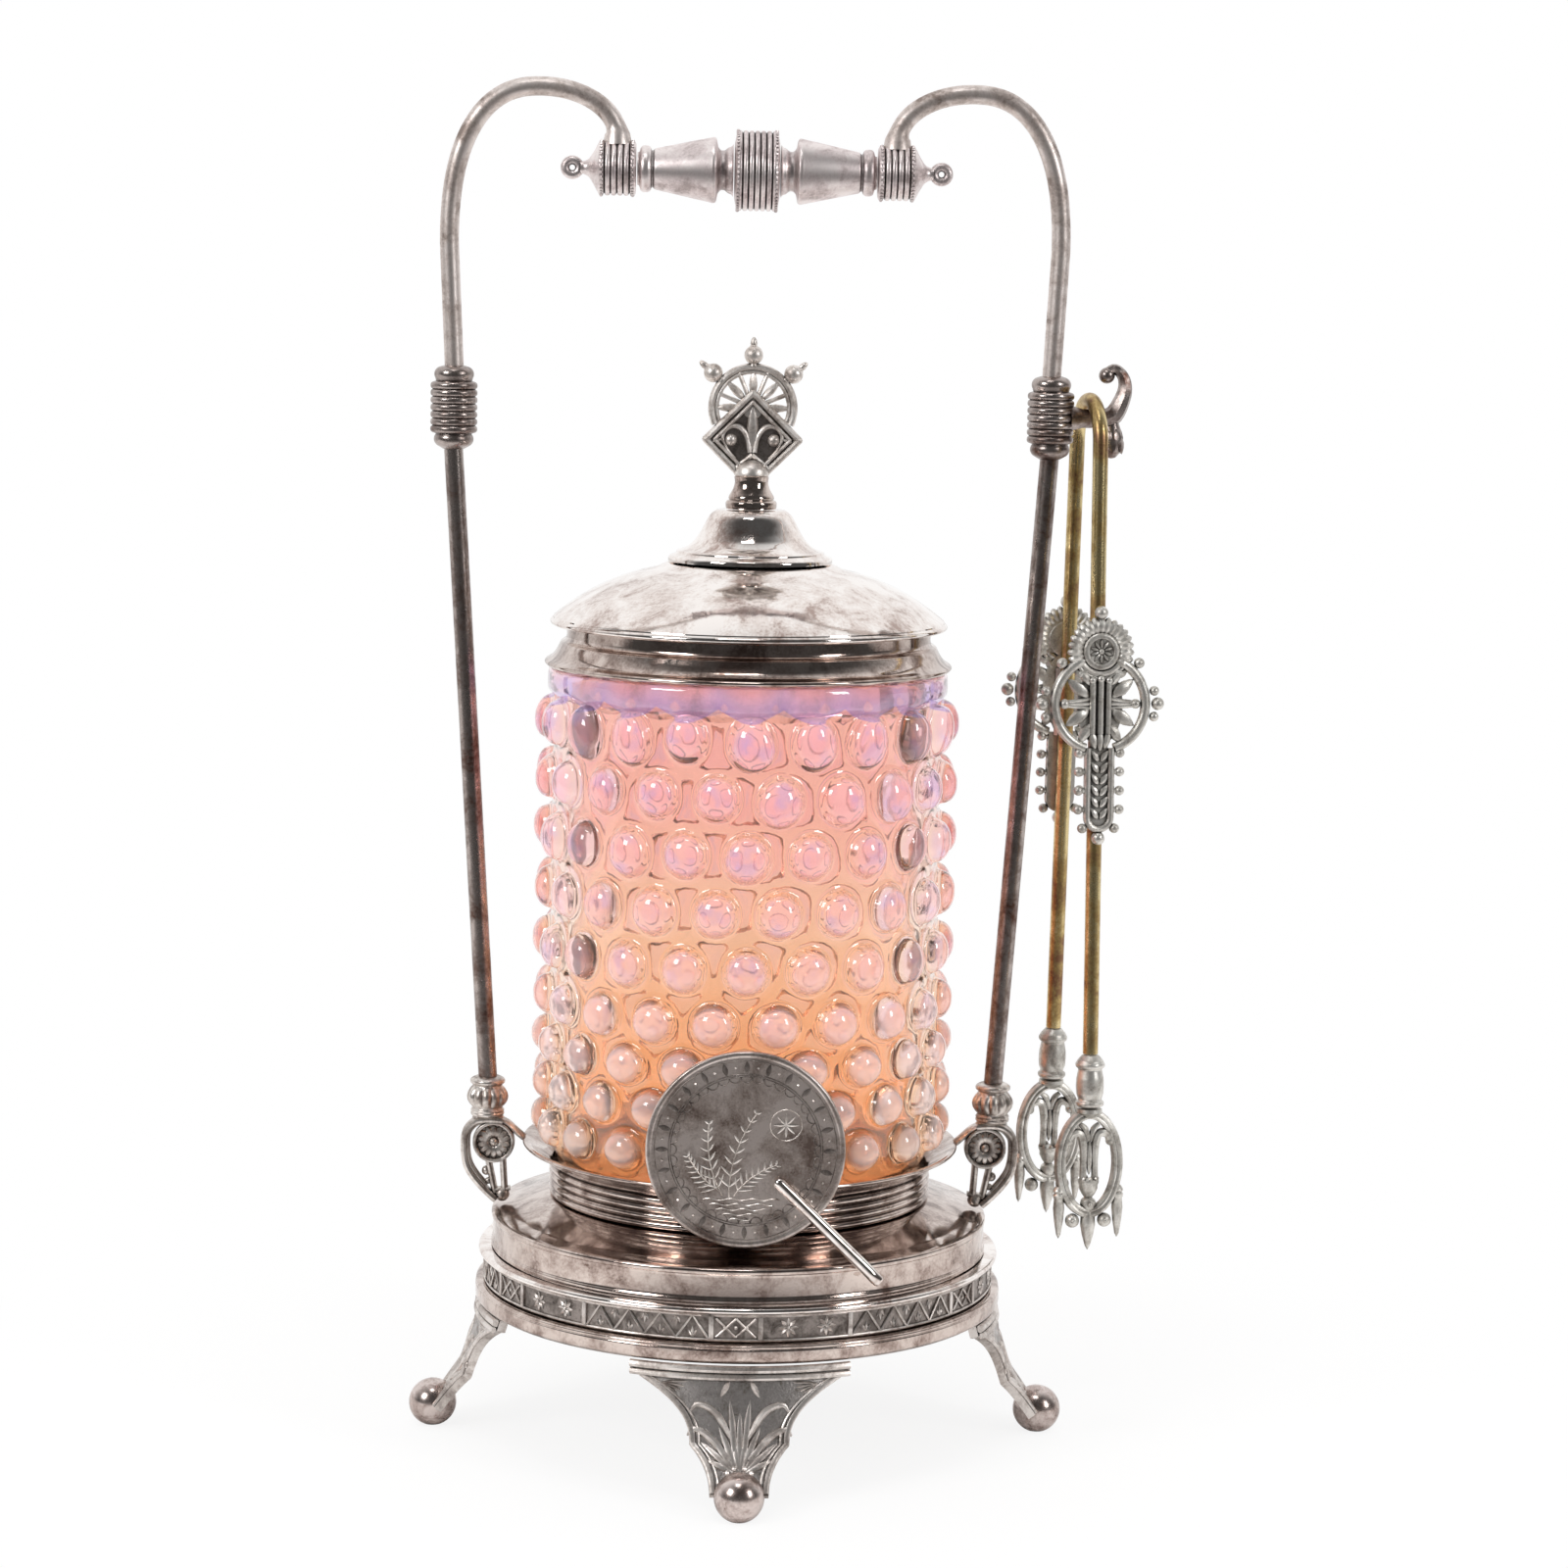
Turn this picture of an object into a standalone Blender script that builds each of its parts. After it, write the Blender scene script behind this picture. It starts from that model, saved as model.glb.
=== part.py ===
"""Footed pickle castor: stand, hobnail jar, domed lid and hanging spring tongs.

Everything is in metres, with +Z up. The stand's feet rest on Z = 0, the right side of the
handle is at +X and the fan ornament faces -Y.
"""

import math

import bmesh
import bpy
from mathutils import Matrix, Vector

# Clearances and mesh settings
GAP = 0.0003
WELD_DISTANCE = 0.000001
SHARP_ANGLE = math.radians(38)
LARGE_STEPS = 28
SHELL_STEPS = 24
MIDDLE_STEPS = 16
SMALL_STEPS = 12
WIRE_SIDES = 8

# Feet and legs
FOOT_BALL_RADIUS = 0.0054
FOOT_FLAT_RADIUS = 0.0022
FOOT_CIRCLE_RADIUS = 0.0692
FOOT_BALL_RINGS = 5
FOOT_BALL_STEPS = 10
LEG_HEIGHT = 0.0306
LEG_TOP_INSET = 0.0010
LEG_TOP_WIDTH = 0.0472
LEG_SHOULDER_WIDTH = 0.0440
LEG_CUSP_WIDTH = 0.0214
LEG_END_WIDTH = 0.0126
LEG_BAR_HEIGHT = 0.0026
LEG_BAR_RELIEF = 0.0008
LEG_CUSP_HEIGHT = 0.0146
LEG_CUSP_RADIUS = 0.0632
LEG_END_HEIGHT = 0.0042
LEG_END_OVERHANG = 0.0012
LEG_THICKNESS = 0.0026
LEG_BORDER = 0.0014
LEG_RECESS = 0.0006
LEG_UPPER_CURVE = 2.3
LEG_LOWER_CURVE = 2.8
LEG_UPPER_STATION_SHARES = (0.0, 0.14, 0.34, 0.6, 1.0)
LEG_LOWER_STATION_SHARES = (0.25, 0.55, 1.0)

# Base
LOWER_RIM_OVERHANG = 0.0006
LOWER_RIM_HEIGHT = 0.0045
LOWER_RIM_WIDTH = 0.0056
LOWER_RIM_SHARES = ((0.0, 0.0), (0.7, 0.0), (1.0, 0.3), (1.0, 0.7), (0.7, 1.0), (0.0, 1.0))
BAND_INSET = 0.0011
BAND_HEIGHT = 0.0059
BAND_THICKNESS = 0.0017
BAND_RELIEF = 0.0005
BAND_REPEATS = 6
BAND_DIVIDER_SHARES = (0.0, 0.175, 0.508)
BAND_DIVIDER_SHARE = 0.02
UPPER_RIM_OVERHANG = 0.0029
UPPER_RIM_HEIGHT = 0.0012
UPPER_RIM_SHARES = ((0.0, 0.0), (0.92, 0.0), (1.0, 0.3), (1.0, 0.7), (0.92, 1.0), (0.0, 1.0))
DRUM_RADIUS = 0.0561
DRUM_WALL_HEIGHT = 0.0078
DRUM_CONE_RISE = 0.0038
DRUM_SHEET = 0.0012
DRUM_CORNER = 0.0007

# Jar holder
HOLDER_WALL_RADIUS = 0.0432
HOLDER_SHEET = 0.0011
HOLDER_WALL_HEIGHT = 0.0072
HOLDER_RIM_RADIUS = 0.0493
HOLDER_HEIGHT = 0.0115
HOLDER_LIP = 0.0011
HOLDER_RIB_COUNT = 4
HOLDER_RIB_DEPTH = 0.0006

# Jar
JAR_FOOT_RADIUS = 0.0414
JAR_FOOT_HEIGHT = 0.0068
JAR_FOOT_ROUND = 0.0008
JAR_BODY_RADIUS = 0.0434
JAR_BAND_RADIUS = 0.0449
JAR_BAND_HEIGHT = 0.0062
JAR_HEIGHT = 0.1182
JAR_WALL = 0.0042
JAR_FLOOR = 0.0050
HOB_HEIGHT = 0.0037
HOB_SHOULDER_HEIGHT = 0.0026
HOB_SHOULDER_WIDTH = 0.0022
HOB_COLUMNS = 20
HOB_LOWEST = 0.0156
HOB_LOWER_PITCH = 0.0095
HOB_UPPER_PITCH = 0.0125
HOB_LOWER_ROWS = 3
HOB_UPPER_ROWS = 5
HOB_ZIGZAG_SHARE = 0.17

# Lid
SKIRT_RADIUS = 0.0455
SKIRT_HEIGHT = 0.0085
SKIRT_EDGE_HEIGHT = 0.0013
SKIRT_SHEET = 0.0012
NECK_RADIUS = 0.0406
NECK_RIDGE_RADIUS = 0.0419
BEZEL_RADIUS = 0.0386
BEZEL_HEIGHT = 0.0085
DOME_RADIUS = 0.0443
DOME_RISE = 0.0130
DOME_EDGE_HEIGHT = 0.0013
DOME_SHEET = 0.0012
DOME_CURVE = 3.0
DOME_STATION_SHARES = (0.98, 0.9, 0.77, 0.6, 0.4)
PEDESTAL_RADIUS = 0.0183
PEDESTAL_TOP_RADIUS = 0.0076
PEDESTAL_HEIGHT = 0.0114
PEDESTAL_SHARES = ((1.0, 0.0), (1.0, 0.1), (0.9, 0.17), (0.73, 0.31), (0.61, 0.52), (0.53, 0.75),
                   (0.48, 0.94))
STEM_RADIUS = 0.0057
STEM_HEIGHT = 0.0071
STEM_SHARES = ((1.0, 0.0), (1.0, 0.25), (0.82, 0.31), (0.80, 0.40), (0.61, 0.66), (0.66, 0.86),
               (0.71, 1.0))
STUD_RADIUS = 0.0016
STUD_FREE_LENGTH = 0.0042
NUT_RADIUS = 0.0040
NUT_HEIGHT = 0.0026
NUT_SIDES = 6

# Finial
DIAMOND_HALF_DIAGONAL = 0.0116
DIAMOND_THICKNESS = 0.0026
DIAMOND_BORDER = 0.0013
DIAMOND_RECESS = 0.0007
DIAMOND_DROP_SHARE = 0.32
WHEEL_RADIUS = 0.0098
WHEEL_BAND = 0.0016
WHEEL_THICKNESS = 0.0016
WHEEL_HUB_RADIUS = 0.0022
WHEEL_RISE = 0.0070
WHEEL_SPOKES = 16
WHEEL_OPEN_SPOKES = 10
WHEEL_RIM_STEPS = 24
WHEEL_SPOKE_WIDTH = 0.0008
TIP_BALL_RADIUS = 0.0020
TIP_LENGTH = 0.0019
TIP_RADIUS = 0.0007
TIP_FOOT_RADIUS = 0.0016
TIP_ANGLES = (90.0, 40.5, 139.5)

# Handle frame
KNOP_OFFSET = 0.0573
KNOP_HEIGHT = 0.0088
KNOP_RADIUS = 0.0047
KNOP_LOBES = 8
KNOP_FLUTE_SHARE = 0.08
KNOP_SHARES = ((0.80, 0.0), (0.80, 0.14), (0.70, 0.18), (0.92, 0.32), (1.0, 0.48), (0.88, 0.64),
               (0.66, 0.78), (0.80, 0.84), (0.80, 1.0))
KNOP_FLUTED_SHARES = (0.25, 0.70)
BRACKET_DEPTH = 0.0040
BRACKET_RISE = 0.0050
BRACKET_REACH = 0.0633
BRACKET_WHEEL_OFFSET = 0.0558
BRACKET_WHEEL_RADIUS = 0.0045
BRACKET_WHEEL_DROP = 0.0059
BRACKET_BAND = 0.0013
BRACKET_STRUT = 0.0017
BRACKET_FOOT_INSET = 0.0036
BRACKET_TOP_CURVE = 2.0
BRACKET_LOW_CURVE = 1.4
ROD_RADIUS = 0.0021
COLLAR_OFFSET = 0.0662
HANDLE_RISE = 0.1507
COLLAR_LENGTH = 0.0184
COLLAR_RADIUS = 0.0052
COLLAR_RIB_DEPTH = 0.0007
COLLAR_RIBS = 7
COLLAR_CAP_LENGTH = 0.0036
COLLAR_CAP_RADIUS = 0.0043
RIB_STEPS = 8
ARCH_SHOULDER_OFFSET = 0.0675
ARCH_SHOULDER_RISE = 0.0272
ARCH_TOP_OFFSET = 0.0475
ARCH_RISE = 0.0341
ARCH_INNER_DROP = 0.0108
ARCH_OUTER_CURVE = 2.4
ARCH_POINTS = 8
CROSSBAR_DROP = 0.0175
BARREL_RADIUS = 0.0088
BARREL_LENGTH = 0.0099
BARREL_RIBS = 5
BARREL_RIB_DEPTH = 0.0010
CONE_LENGTH = 0.0211
CONE_RADIUS = 0.0072
CONE_SHARES = ((0.75, 0.0), (0.75, 0.17), (1.0, 0.18), (1.0, 0.22), (0.61, 0.82), (0.73, 0.86),
               (0.73, 1.0))
BLOCK_RADIUS = 0.0060
BLOCK_LENGTH = 0.0083
BLOCK_RIBS = 5
BLOCK_RIB_DEPTH = 0.0007
BLOCK_TIP_LENGTH = 0.0039
BLOCK_TIP_RADIUS = 0.0013
EYELET_RADIUS = 0.0024
EYELET_HOLE_RADIUS = 0.0010
EYELET_THICKNESS = 0.0018

# Hook
HOOK_ROOT_RADIUS = 0.0027
HOOK_SHANK_RADIUS = 0.0021
HOOK_TAIL_RADIUS = 0.0014
HOOK_BALL_RADIUS = 0.0018
HOOK_SHANK_LENGTH = 0.0082
HOOK_TAIL_REACH = 0.0027
HOOK_TAIL_RISE = 0.0114
HOOK_CURL_RADIUS = 0.0022
HOOK_BUD_LENGTH = 0.0088
HOOK_BUD_WIDTH = 0.0054

# Fan ornament
FAN_RADIUS = 0.0215
FAN_THICKNESS = 0.0015
FAN_OFFSET = 0.0004
FAN_RISE = 0.0092
STICK_RADIUS = 0.0014
STICK_START_RIGHT = 0.0067
STICK_START_DROP = 0.0061
STICK_END_RIGHT = 0.0293
STICK_END_DROP = 0.0282

# Tongs
TONGS_TURN = math.radians(10)
TONGS_SEAT_OFFSET = 0.0032
TONGS_WIRE_RADIUS = 0.0017
BOW_RADIUS = 0.0095
BOW_POINTS = 12
ARM_LEAN = math.radians(2.6)
ARM_LENGTH = 0.1350
PLATE_THICKNESS = 0.0022
PLATE_RING_DROP = 0.0569
PLATE_RING_RADIUS = 0.0114
PLATE_RING_BAND = 0.0021
PLATE_FAN_RISE = 0.0116
PLATE_FAN_RADIUS = 0.0077
PLATE_FAN_PETALS = 9
PLATE_PETAL_DEPTH = 0.0006
PLATE_TONGUE_WIDTH = 0.0066
PLATE_TONGUE_DROP = 0.0298
PLATE_STEM_WIDTH = 0.0042
PLATE_SIDE_LEAF_WIDTH = 0.0022
PLATE_BEAD_RADIUS = 0.0011
PLATE_END_BEAD_RADIUS = 0.0014
PLATE_TONGUE_BEADS = 5
SOCKET_RADIUS = 0.0033
SOCKET_LENGTH = 0.0118
SOCKET_SHARES = ((0.97, 0.0), (0.97, 0.10), (0.82, 0.13), (0.94, 0.35), (0.94, 0.58), (0.82, 0.78),
                 (1.0, 0.83), (0.94, 0.94), (0.60, 1.0))
CLAW_WIDTH = 0.0155
CLAW_OVAL_HEIGHT = 0.0246
CLAW_THICKNESS = 0.0028
CLAW_BAND = 0.0021
CLAW_NECK_WIDTH = 0.0058
CLAW_PRONG_LENGTH = 0.0100
CLAW_PRONG_WIDTH = 0.0024
CLAW_MIDDLE_DROP = 0.0074
CLAW_MIDDLE_WIDTH = 0.0030
CLAW_STEM_WIDTH = 0.0044
CLAW_ARM_HEIGHT_SHARE = 0.70
CLAW_ARM_WIDTH = 0.0014

# Radii and heights worked out from the sizes above
UPPER_RIM_RADIUS = DRUM_RADIUS + UPPER_RIM_OVERHANG
BAND_RADIUS = UPPER_RIM_RADIUS - BAND_INSET
LOWER_RIM_RADIUS = UPPER_RIM_RADIUS + LOWER_RIM_OVERHANG
LEG_TOP_RADIUS = LOWER_RIM_RADIUS - LEG_TOP_INSET
FOOT_BALL_HEIGHT = math.sqrt(FOOT_BALL_RADIUS ** 2 - FOOT_FLAT_RADIUS ** 2)
LOWER_RIM_BOTTOM = LEG_HEIGHT + GAP
BAND_BOTTOM = LOWER_RIM_BOTTOM + LOWER_RIM_HEIGHT + GAP
UPPER_RIM_BOTTOM = BAND_BOTTOM + BAND_HEIGHT + GAP
DRUM_BOTTOM = UPPER_RIM_BOTTOM + UPPER_RIM_HEIGHT + GAP
DRUM_SHOULDER = DRUM_BOTTOM + DRUM_WALL_HEIGHT
DRUM_TOP = DRUM_SHOULDER + DRUM_CONE_RISE
HOLDER_BOTTOM = DRUM_TOP + GAP
HOLDER_TOP = HOLDER_BOTTOM + HOLDER_HEIGHT
JAR_BOTTOM = HOLDER_BOTTOM + HOLDER_SHEET + GAP
JAR_TOP = JAR_BOTTOM + JAR_HEIGHT
SKIRT_BOTTOM = JAR_TOP + GAP
DOME_BOTTOM = SKIRT_BOTTOM + SKIRT_HEIGHT + GAP
DOME_CREST = DOME_BOTTOM + DOME_EDGE_HEIGHT + DOME_RISE
PEDESTAL_BOTTOM = DOME_CREST + GAP
STEM_BOTTOM = PEDESTAL_BOTTOM + PEDESTAL_HEIGHT + GAP
STEM_TOP = STEM_BOTTOM + STEM_HEIGHT
BRACKET_TOP = HOLDER_TOP + BRACKET_RISE
KNOP_BOTTOM = BRACKET_TOP + GAP
KNOP_TOP = KNOP_BOTTOM + KNOP_HEIGHT
COLLAR_CENTRE_HEIGHT = KNOP_TOP + HANDLE_RISE
COLLAR_BOTTOM = COLLAR_CENTRE_HEIGHT - COLLAR_LENGTH / 2
COLLAR_TOP = COLLAR_BOTTOM + COLLAR_LENGTH
ARCH_SHOULDER_HEIGHT = COLLAR_TOP + ARCH_SHOULDER_RISE
ARCH_TOP_HEIGHT = ARCH_SHOULDER_HEIGHT + ARCH_RISE
CROSSBAR_HEIGHT = ARCH_TOP_HEIGHT - CROSSBAR_DROP
CONE_START = BARREL_LENGTH / 2 + GAP
BLOCK_START = CONE_START + CONE_LENGTH + GAP
BLOCK_CENTRE = BLOCK_START + BLOCK_LENGTH / 2
HOOK_HEIGHT = COLLAR_CENTRE_HEIGHT
HOOK_START = COLLAR_OFFSET + COLLAR_RADIUS + GAP
BOW_OFFSET = HOOK_START + TONGS_SEAT_OFFSET
BOW_TOP = HOOK_HEIGHT + HOOK_SHANK_RADIUS + GAP + TONGS_WIRE_RADIUS
BOW_END = BOW_TOP - BOW_RADIUS
FAN_CENTRE_HEIGHT = HOLDER_TOP + FAN_RISE
FAN_BACK = HOLDER_RIM_RADIUS + GAP


def clear_scene():
    """Remove whatever the file holds."""
    for item in list(bpy.data.objects):
        bpy.data.objects.remove(item, do_unlink=True)


def make_material(name, colour, roughness, metallic, transmission=0.0):
    """Make one surface material."""
    material = bpy.data.materials.new(name)
    material.use_nodes = True
    shader = material.node_tree.nodes["Principled BSDF"]
    shader.inputs["Base Color"].default_value = (*colour, 1.0)
    shader.inputs["Roughness"].default_value = roughness
    shader.inputs["Metallic"].default_value = metallic
    shader.inputs["Transmission Weight"].default_value = transmission
    return material


def make_materials():
    """Make the castor's materials."""
    return {
        "plate": make_material("tarnished_plate", (0.45, 0.41, 0.40), 0.28, 1.0),
        "casting": make_material("pewter_casting", (0.50, 0.50, 0.52), 0.36, 1.0),
        "glass": make_material("opal_glass", (0.95, 0.55, 0.50), 0.06, 0.0, 0.5),
        "wire": make_material("gilt_wire", (0.62, 0.44, 0.18), 0.30, 1.0),
    }


def make_empty(name, parent, location=(0, 0, 0), turn=(0, 0, 0)):
    """Add an empty that carries pieces or marks a joint."""
    empty = bpy.data.objects.new(name, None)
    bpy.context.collection.objects.link(empty)
    empty.parent = parent
    empty.location = location
    empty.rotation_euler = turn
    return empty


def add_piece(name, shape, material, parent, location=(0, 0, 0), turn=(0, 0, 0)):
    """Close a bmesh into a smooth shaded object at its place."""
    bmesh.ops.remove_doubles(shape, verts=shape.verts, dist=WELD_DISTANCE)
    bmesh.ops.recalc_face_normals(shape, faces=shape.faces)
    mesh = bpy.data.meshes.new(name)
    shape.to_mesh(mesh)
    shape.free()
    mesh.shade_smooth()
    mesh.set_sharp_from_angle(angle=SHARP_ANGLE)
    mesh.materials.append(material)
    piece = bpy.data.objects.new(name, mesh)
    bpy.context.collection.objects.link(piece)
    piece.parent = parent
    piece.location = location
    piece.rotation_euler = turn
    return piece


def add_guide(name, shape, parent, location=(0, 0, 0), turn=(0, 0, 0)):
    """Add a hidden solid that only shapes another piece."""
    bmesh.ops.remove_doubles(shape, verts=shape.verts, dist=WELD_DISTANCE)
    bmesh.ops.recalc_face_normals(shape, faces=shape.faces)
    mesh = bpy.data.meshes.new(name)
    shape.to_mesh(mesh)
    shape.free()
    guide = bpy.data.objects.new(name, mesh)
    bpy.context.collection.objects.link(guide)
    guide.parent = parent
    guide.location = location
    guide.rotation_euler = turn
    guide.hide_render = True
    guide.display_type = "WIRE"
    return guide


def combine(piece, guide, operation):
    """Join a guide to a piece, or cut it out, with a live modifier."""
    modifier = piece.modifiers.new(guide.name, "BOOLEAN")
    modifier.operation = operation
    modifier.object = guide
    modifier.solver = "EXACT"


def turned(outline, steps, ring=False):
    """Spin an outline of (radius, height) points about Z into a closed solid."""
    shape = bmesh.new()
    verts = [shape.verts.new((radius, 0, height)) for radius, height in outline]
    edges = [shape.edges.new(pair) for pair in zip(verts, verts[1:])]
    if ring:
        edges.append(shape.edges.new((verts[-1], verts[0])))
    bmesh.ops.spin(shape, geom=verts + edges, cent=(0, 0, 0), axis=(0, 0, 1), angle=math.tau,
                   steps=steps, use_merge=True)
    bmesh.ops.remove_doubles(shape, verts=shape.verts, dist=WELD_DISTANCE)
    return shape


def solid_turned(shares, radius, height, steps):
    """Spin a solid of revolution whose outline is given in shares of its radius and height."""
    outline = [(radius * across, height * up) for across, up in shares]
    return turned([(0, 0)] + outline + [(0, height)], steps)


def bored_turned(outline, bore, steps):
    """Spin a solid with an axial hole."""
    low, high = outline[0][1], outline[-1][1]
    return turned([(bore, low)] + outline + [(bore, high)], steps, ring=True)


def ribbed_outline(radius, depth, start, length, count):
    """Give the outline points of rounded ribs along a turned piece."""
    points = []
    pitch = length / count
    for index in range(count):
        low = start + pitch * index
        points.append((radius - depth, low))
        points.append((radius, low + pitch / 2))
    points.append((radius - depth, start + length))
    return points


def arc(centre, radius, start, end, steps):
    """Give points along an arc, with its angles in degrees."""
    points = []
    for index in range(steps + 1):
        angle = math.radians(start + (end - start) * index / steps)
        points.append((centre[0] + radius * math.cos(angle), centre[1] + radius * math.sin(angle)))
    return points


def curve_quarter(centre, across, up, power, start, end, steps):
    """Give points along a quarter of a rounded oval, with its angles in degrees."""
    points = []
    for index in range(steps + 1):
        angle = math.radians(start + (end - start) * index / steps)
        cosine, sine = math.cos(angle), math.sin(angle)
        reach = (abs(cosine) ** power + abs(sine) ** power) ** (-1 / power)
        points.append((centre[0] + across * reach * cosine, centre[1] + up * reach * sine))
    return points


def openwork(loops, thickness):
    """Make a flat plate in X and Z, as thick as given along +Y, from an outline and its holes."""
    shape = bmesh.new()
    for loop in loops:
        verts = [shape.verts.new((across, 0, up)) for across, up in loop]
        for first, second in zip(verts, verts[1:] + verts[:1]):
            shape.edges.new((first, second))
    bmesh.ops.triangle_fill(shape, use_beauty=True, edges=shape.edges[:])
    grown = bmesh.ops.extrude_face_region(shape, geom=shape.faces[:])
    moved = [item for item in grown["geom"] if isinstance(item, bmesh.types.BMVert)]
    bmesh.ops.translate(shape, verts=moved, vec=(0, thickness, 0))
    return shape


def tube(path, radii, sides):
    """Sweep a round section along a path of points, with its own radius at each."""
    shape = bmesh.new()
    points = [Vector(point) for point in path]
    last = len(points) - 1
    rings = []
    side = None
    for index, point in enumerate(points):
        ahead = points[min(index + 1, last)] - points[max(index - 1, 0)]
        ahead.normalize()
        if side is None:
            side = ahead.orthogonal().normalized()
        side = (side - ahead * side.dot(ahead)).normalized()
        other = ahead.cross(side)
        ring = []
        for step in range(sides):
            angle = math.tau * step / sides
            offset = side * math.cos(angle) + other * math.sin(angle)
            ring.append(shape.verts.new(point + offset * radii[index]))
        rings.append(ring)
    for lower, upper in zip(rings, rings[1:]):
        for step in range(sides):
            after = (step + 1) % sides
            shape.faces.new((lower[step], lower[after], upper[after], upper[step]))
    shape.faces.new(list(reversed(rings[0])))
    shape.faces.new(rings[-1])
    return shape


def ball_outline(radius, rings):
    """Give the outline of a half circle from bottom to top."""
    return [(radius * math.cos(angle), radius * math.sin(angle))
            for angle in [math.pi * (index / rings - 0.5) for index in range(1, rings)]]


def make_ball(radius, steps, rings):
    """Make a plain ball about the origin."""
    return turned([(0, -radius)] + ball_outline(radius, rings) + [(0, radius)], steps)


def make_feet(parent, materials):
    """Make the four balls, each with a small flat to stand on."""
    low = -math.asin(FOOT_BALL_HEIGHT / FOOT_BALL_RADIUS)
    outline = [(0, -FOOT_BALL_HEIGHT)]
    for index in range(FOOT_BALL_RINGS):
        angle = low + (math.pi / 2 - low) * index / FOOT_BALL_RINGS
        outline.append((FOOT_BALL_RADIUS * math.cos(angle), FOOT_BALL_RADIUS * math.sin(angle)))
    outline.append((0, FOOT_BALL_RADIUS))
    for name, angle in (("front", -90), ("right", 0), ("back", 90), ("left", 180)):
        turn = math.radians(angle)
        place = (FOOT_CIRCLE_RADIUS * math.cos(turn), FOOT_CIRCLE_RADIUS * math.sin(turn),
                 FOOT_BALL_HEIGHT)
        ball = turned(outline, FOOT_BALL_STEPS)
        add_piece(f"{name}_foot_ball", ball, materials["plate"], parent, place)


def leg_stations():
    """Give the leg's stations as (radius, height, half width, front relief, recess depth)."""
    stations = []
    fall = LEG_HEIGHT - LEG_CUSP_HEIGHT
    splay = LEG_CUSP_RADIUS - LEG_TOP_RADIUS
    bar_share = LEG_BAR_HEIGHT / fall
    for share in (0.0, bar_share):
        stations.append((LEG_TOP_RADIUS + splay * share, LEG_HEIGHT - fall * share, LEG_TOP_WIDTH / 2,
                         LEG_BAR_RELIEF, 0.0))
    for share in LEG_UPPER_STATION_SHARES:
        down = bar_share + (1 - bar_share) * share + (GAP / fall if share == 0 else 0)
        spread = LEG_CUSP_WIDTH + (LEG_SHOULDER_WIDTH - LEG_CUSP_WIDTH) * (1 - share) ** LEG_UPPER_CURVE
        stations.append((LEG_TOP_RADIUS + splay * down, LEG_HEIGHT - fall * down, spread / 2, 0.0,
                         LEG_RECESS))
    end_radius = FOOT_CIRCLE_RADIUS + LEG_END_OVERHANG
    for share in LEG_LOWER_STATION_SHARES:
        spread = LEG_END_WIDTH + (LEG_CUSP_WIDTH - LEG_END_WIDTH) * (1 - share) ** LEG_LOWER_CURVE
        stations.append((LEG_CUSP_RADIUS + (end_radius - LEG_CUSP_RADIUS) * share,
                         LEG_CUSP_HEIGHT - (LEG_CUSP_HEIGHT - LEG_END_HEIGHT) * share, spread / 2, 0.0,
                         LEG_RECESS))
    return stations


def leg_shape():
    """Loft one leg along -Y from its stations."""
    shape = bmesh.new()
    stations = leg_stations()
    upper = Vector((LEG_CUSP_RADIUS - LEG_TOP_RADIUS, LEG_CUSP_HEIGHT - LEG_HEIGHT)).normalized()
    lower = Vector((FOOT_CIRCLE_RADIUS + LEG_END_OVERHANG - LEG_CUSP_RADIUS,
                    LEG_END_HEIGHT - LEG_CUSP_HEIGHT)).normalized()
    rings = []
    for index, (radius, height, half, relief, recess) in enumerate(stations):
        cusp = len(stations) - len(LEG_LOWER_STATION_SHARES) - 1
        ahead = upper if index < cusp else lower
        if index == cusp:
            ahead = (upper + lower).normalized()
        outward = Vector((0, 1)) if index == 0 else Vector((-ahead[1], ahead[0]))
        if index == 0:
            outward = Vector((1, 0))
        inset = half - LEG_BORDER
        section = ((-half, -LEG_THICKNESS), (half, -LEG_THICKNESS), (half, relief), (inset, relief),
                   (inset - LEG_RECESS, relief - recess), (LEG_RECESS - inset, relief - recess),
                   (-inset, relief), (-half, relief))
        ring = []
        for across, depth in section:
            sagitta = LEG_TOP_RADIUS - math.sqrt(LEG_TOP_RADIUS ** 2 - across ** 2)
            reach = radius - sagitta + outward[0] * depth
            ring.append(shape.verts.new((across, -reach, height + outward[1] * depth)))
        rings.append(ring)
    for first, second in zip(rings, rings[1:]):
        for step in range(len(first)):
            after = (step + 1) % len(first)
            shape.faces.new((first[step], first[after], second[after], second[step]))
    shape.faces.new(rings[0])
    shape.faces.new(list(reversed(rings[-1])))
    return shape


def make_legs(parent, materials):
    """Make the four legs, each clasping its ball."""
    for name, angle in (("front", 0), ("right", 90), ("back", 180), ("left", 270)):
        turn = (0, 0, math.radians(angle))
        leg = add_piece(f"{name}_leg", leg_shape(), materials["plate"], parent, turn=turn)
        hollow = make_ball(FOOT_BALL_RADIUS + GAP * 2, SMALL_STEPS, FOOT_BALL_RINGS + 1)
        place = Vector((0, -FOOT_CIRCLE_RADIUS, FOOT_BALL_HEIGHT))
        seat = add_guide(f"{name}_ball_seat", hollow, parent, Matrix.Rotation(turn[2], 3, "Z") @ place)
        combine(leg, seat, "DIFFERENCE")


def ring_from_shares(shares, outer, width, bottom, height):
    """Spin a ring whose section is given in shares of its width and height."""
    outline = [(outer - width + width * across, bottom + height * up) for across, up in shares]
    return turned(outline, LARGE_STEPS, ring=True)


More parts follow.
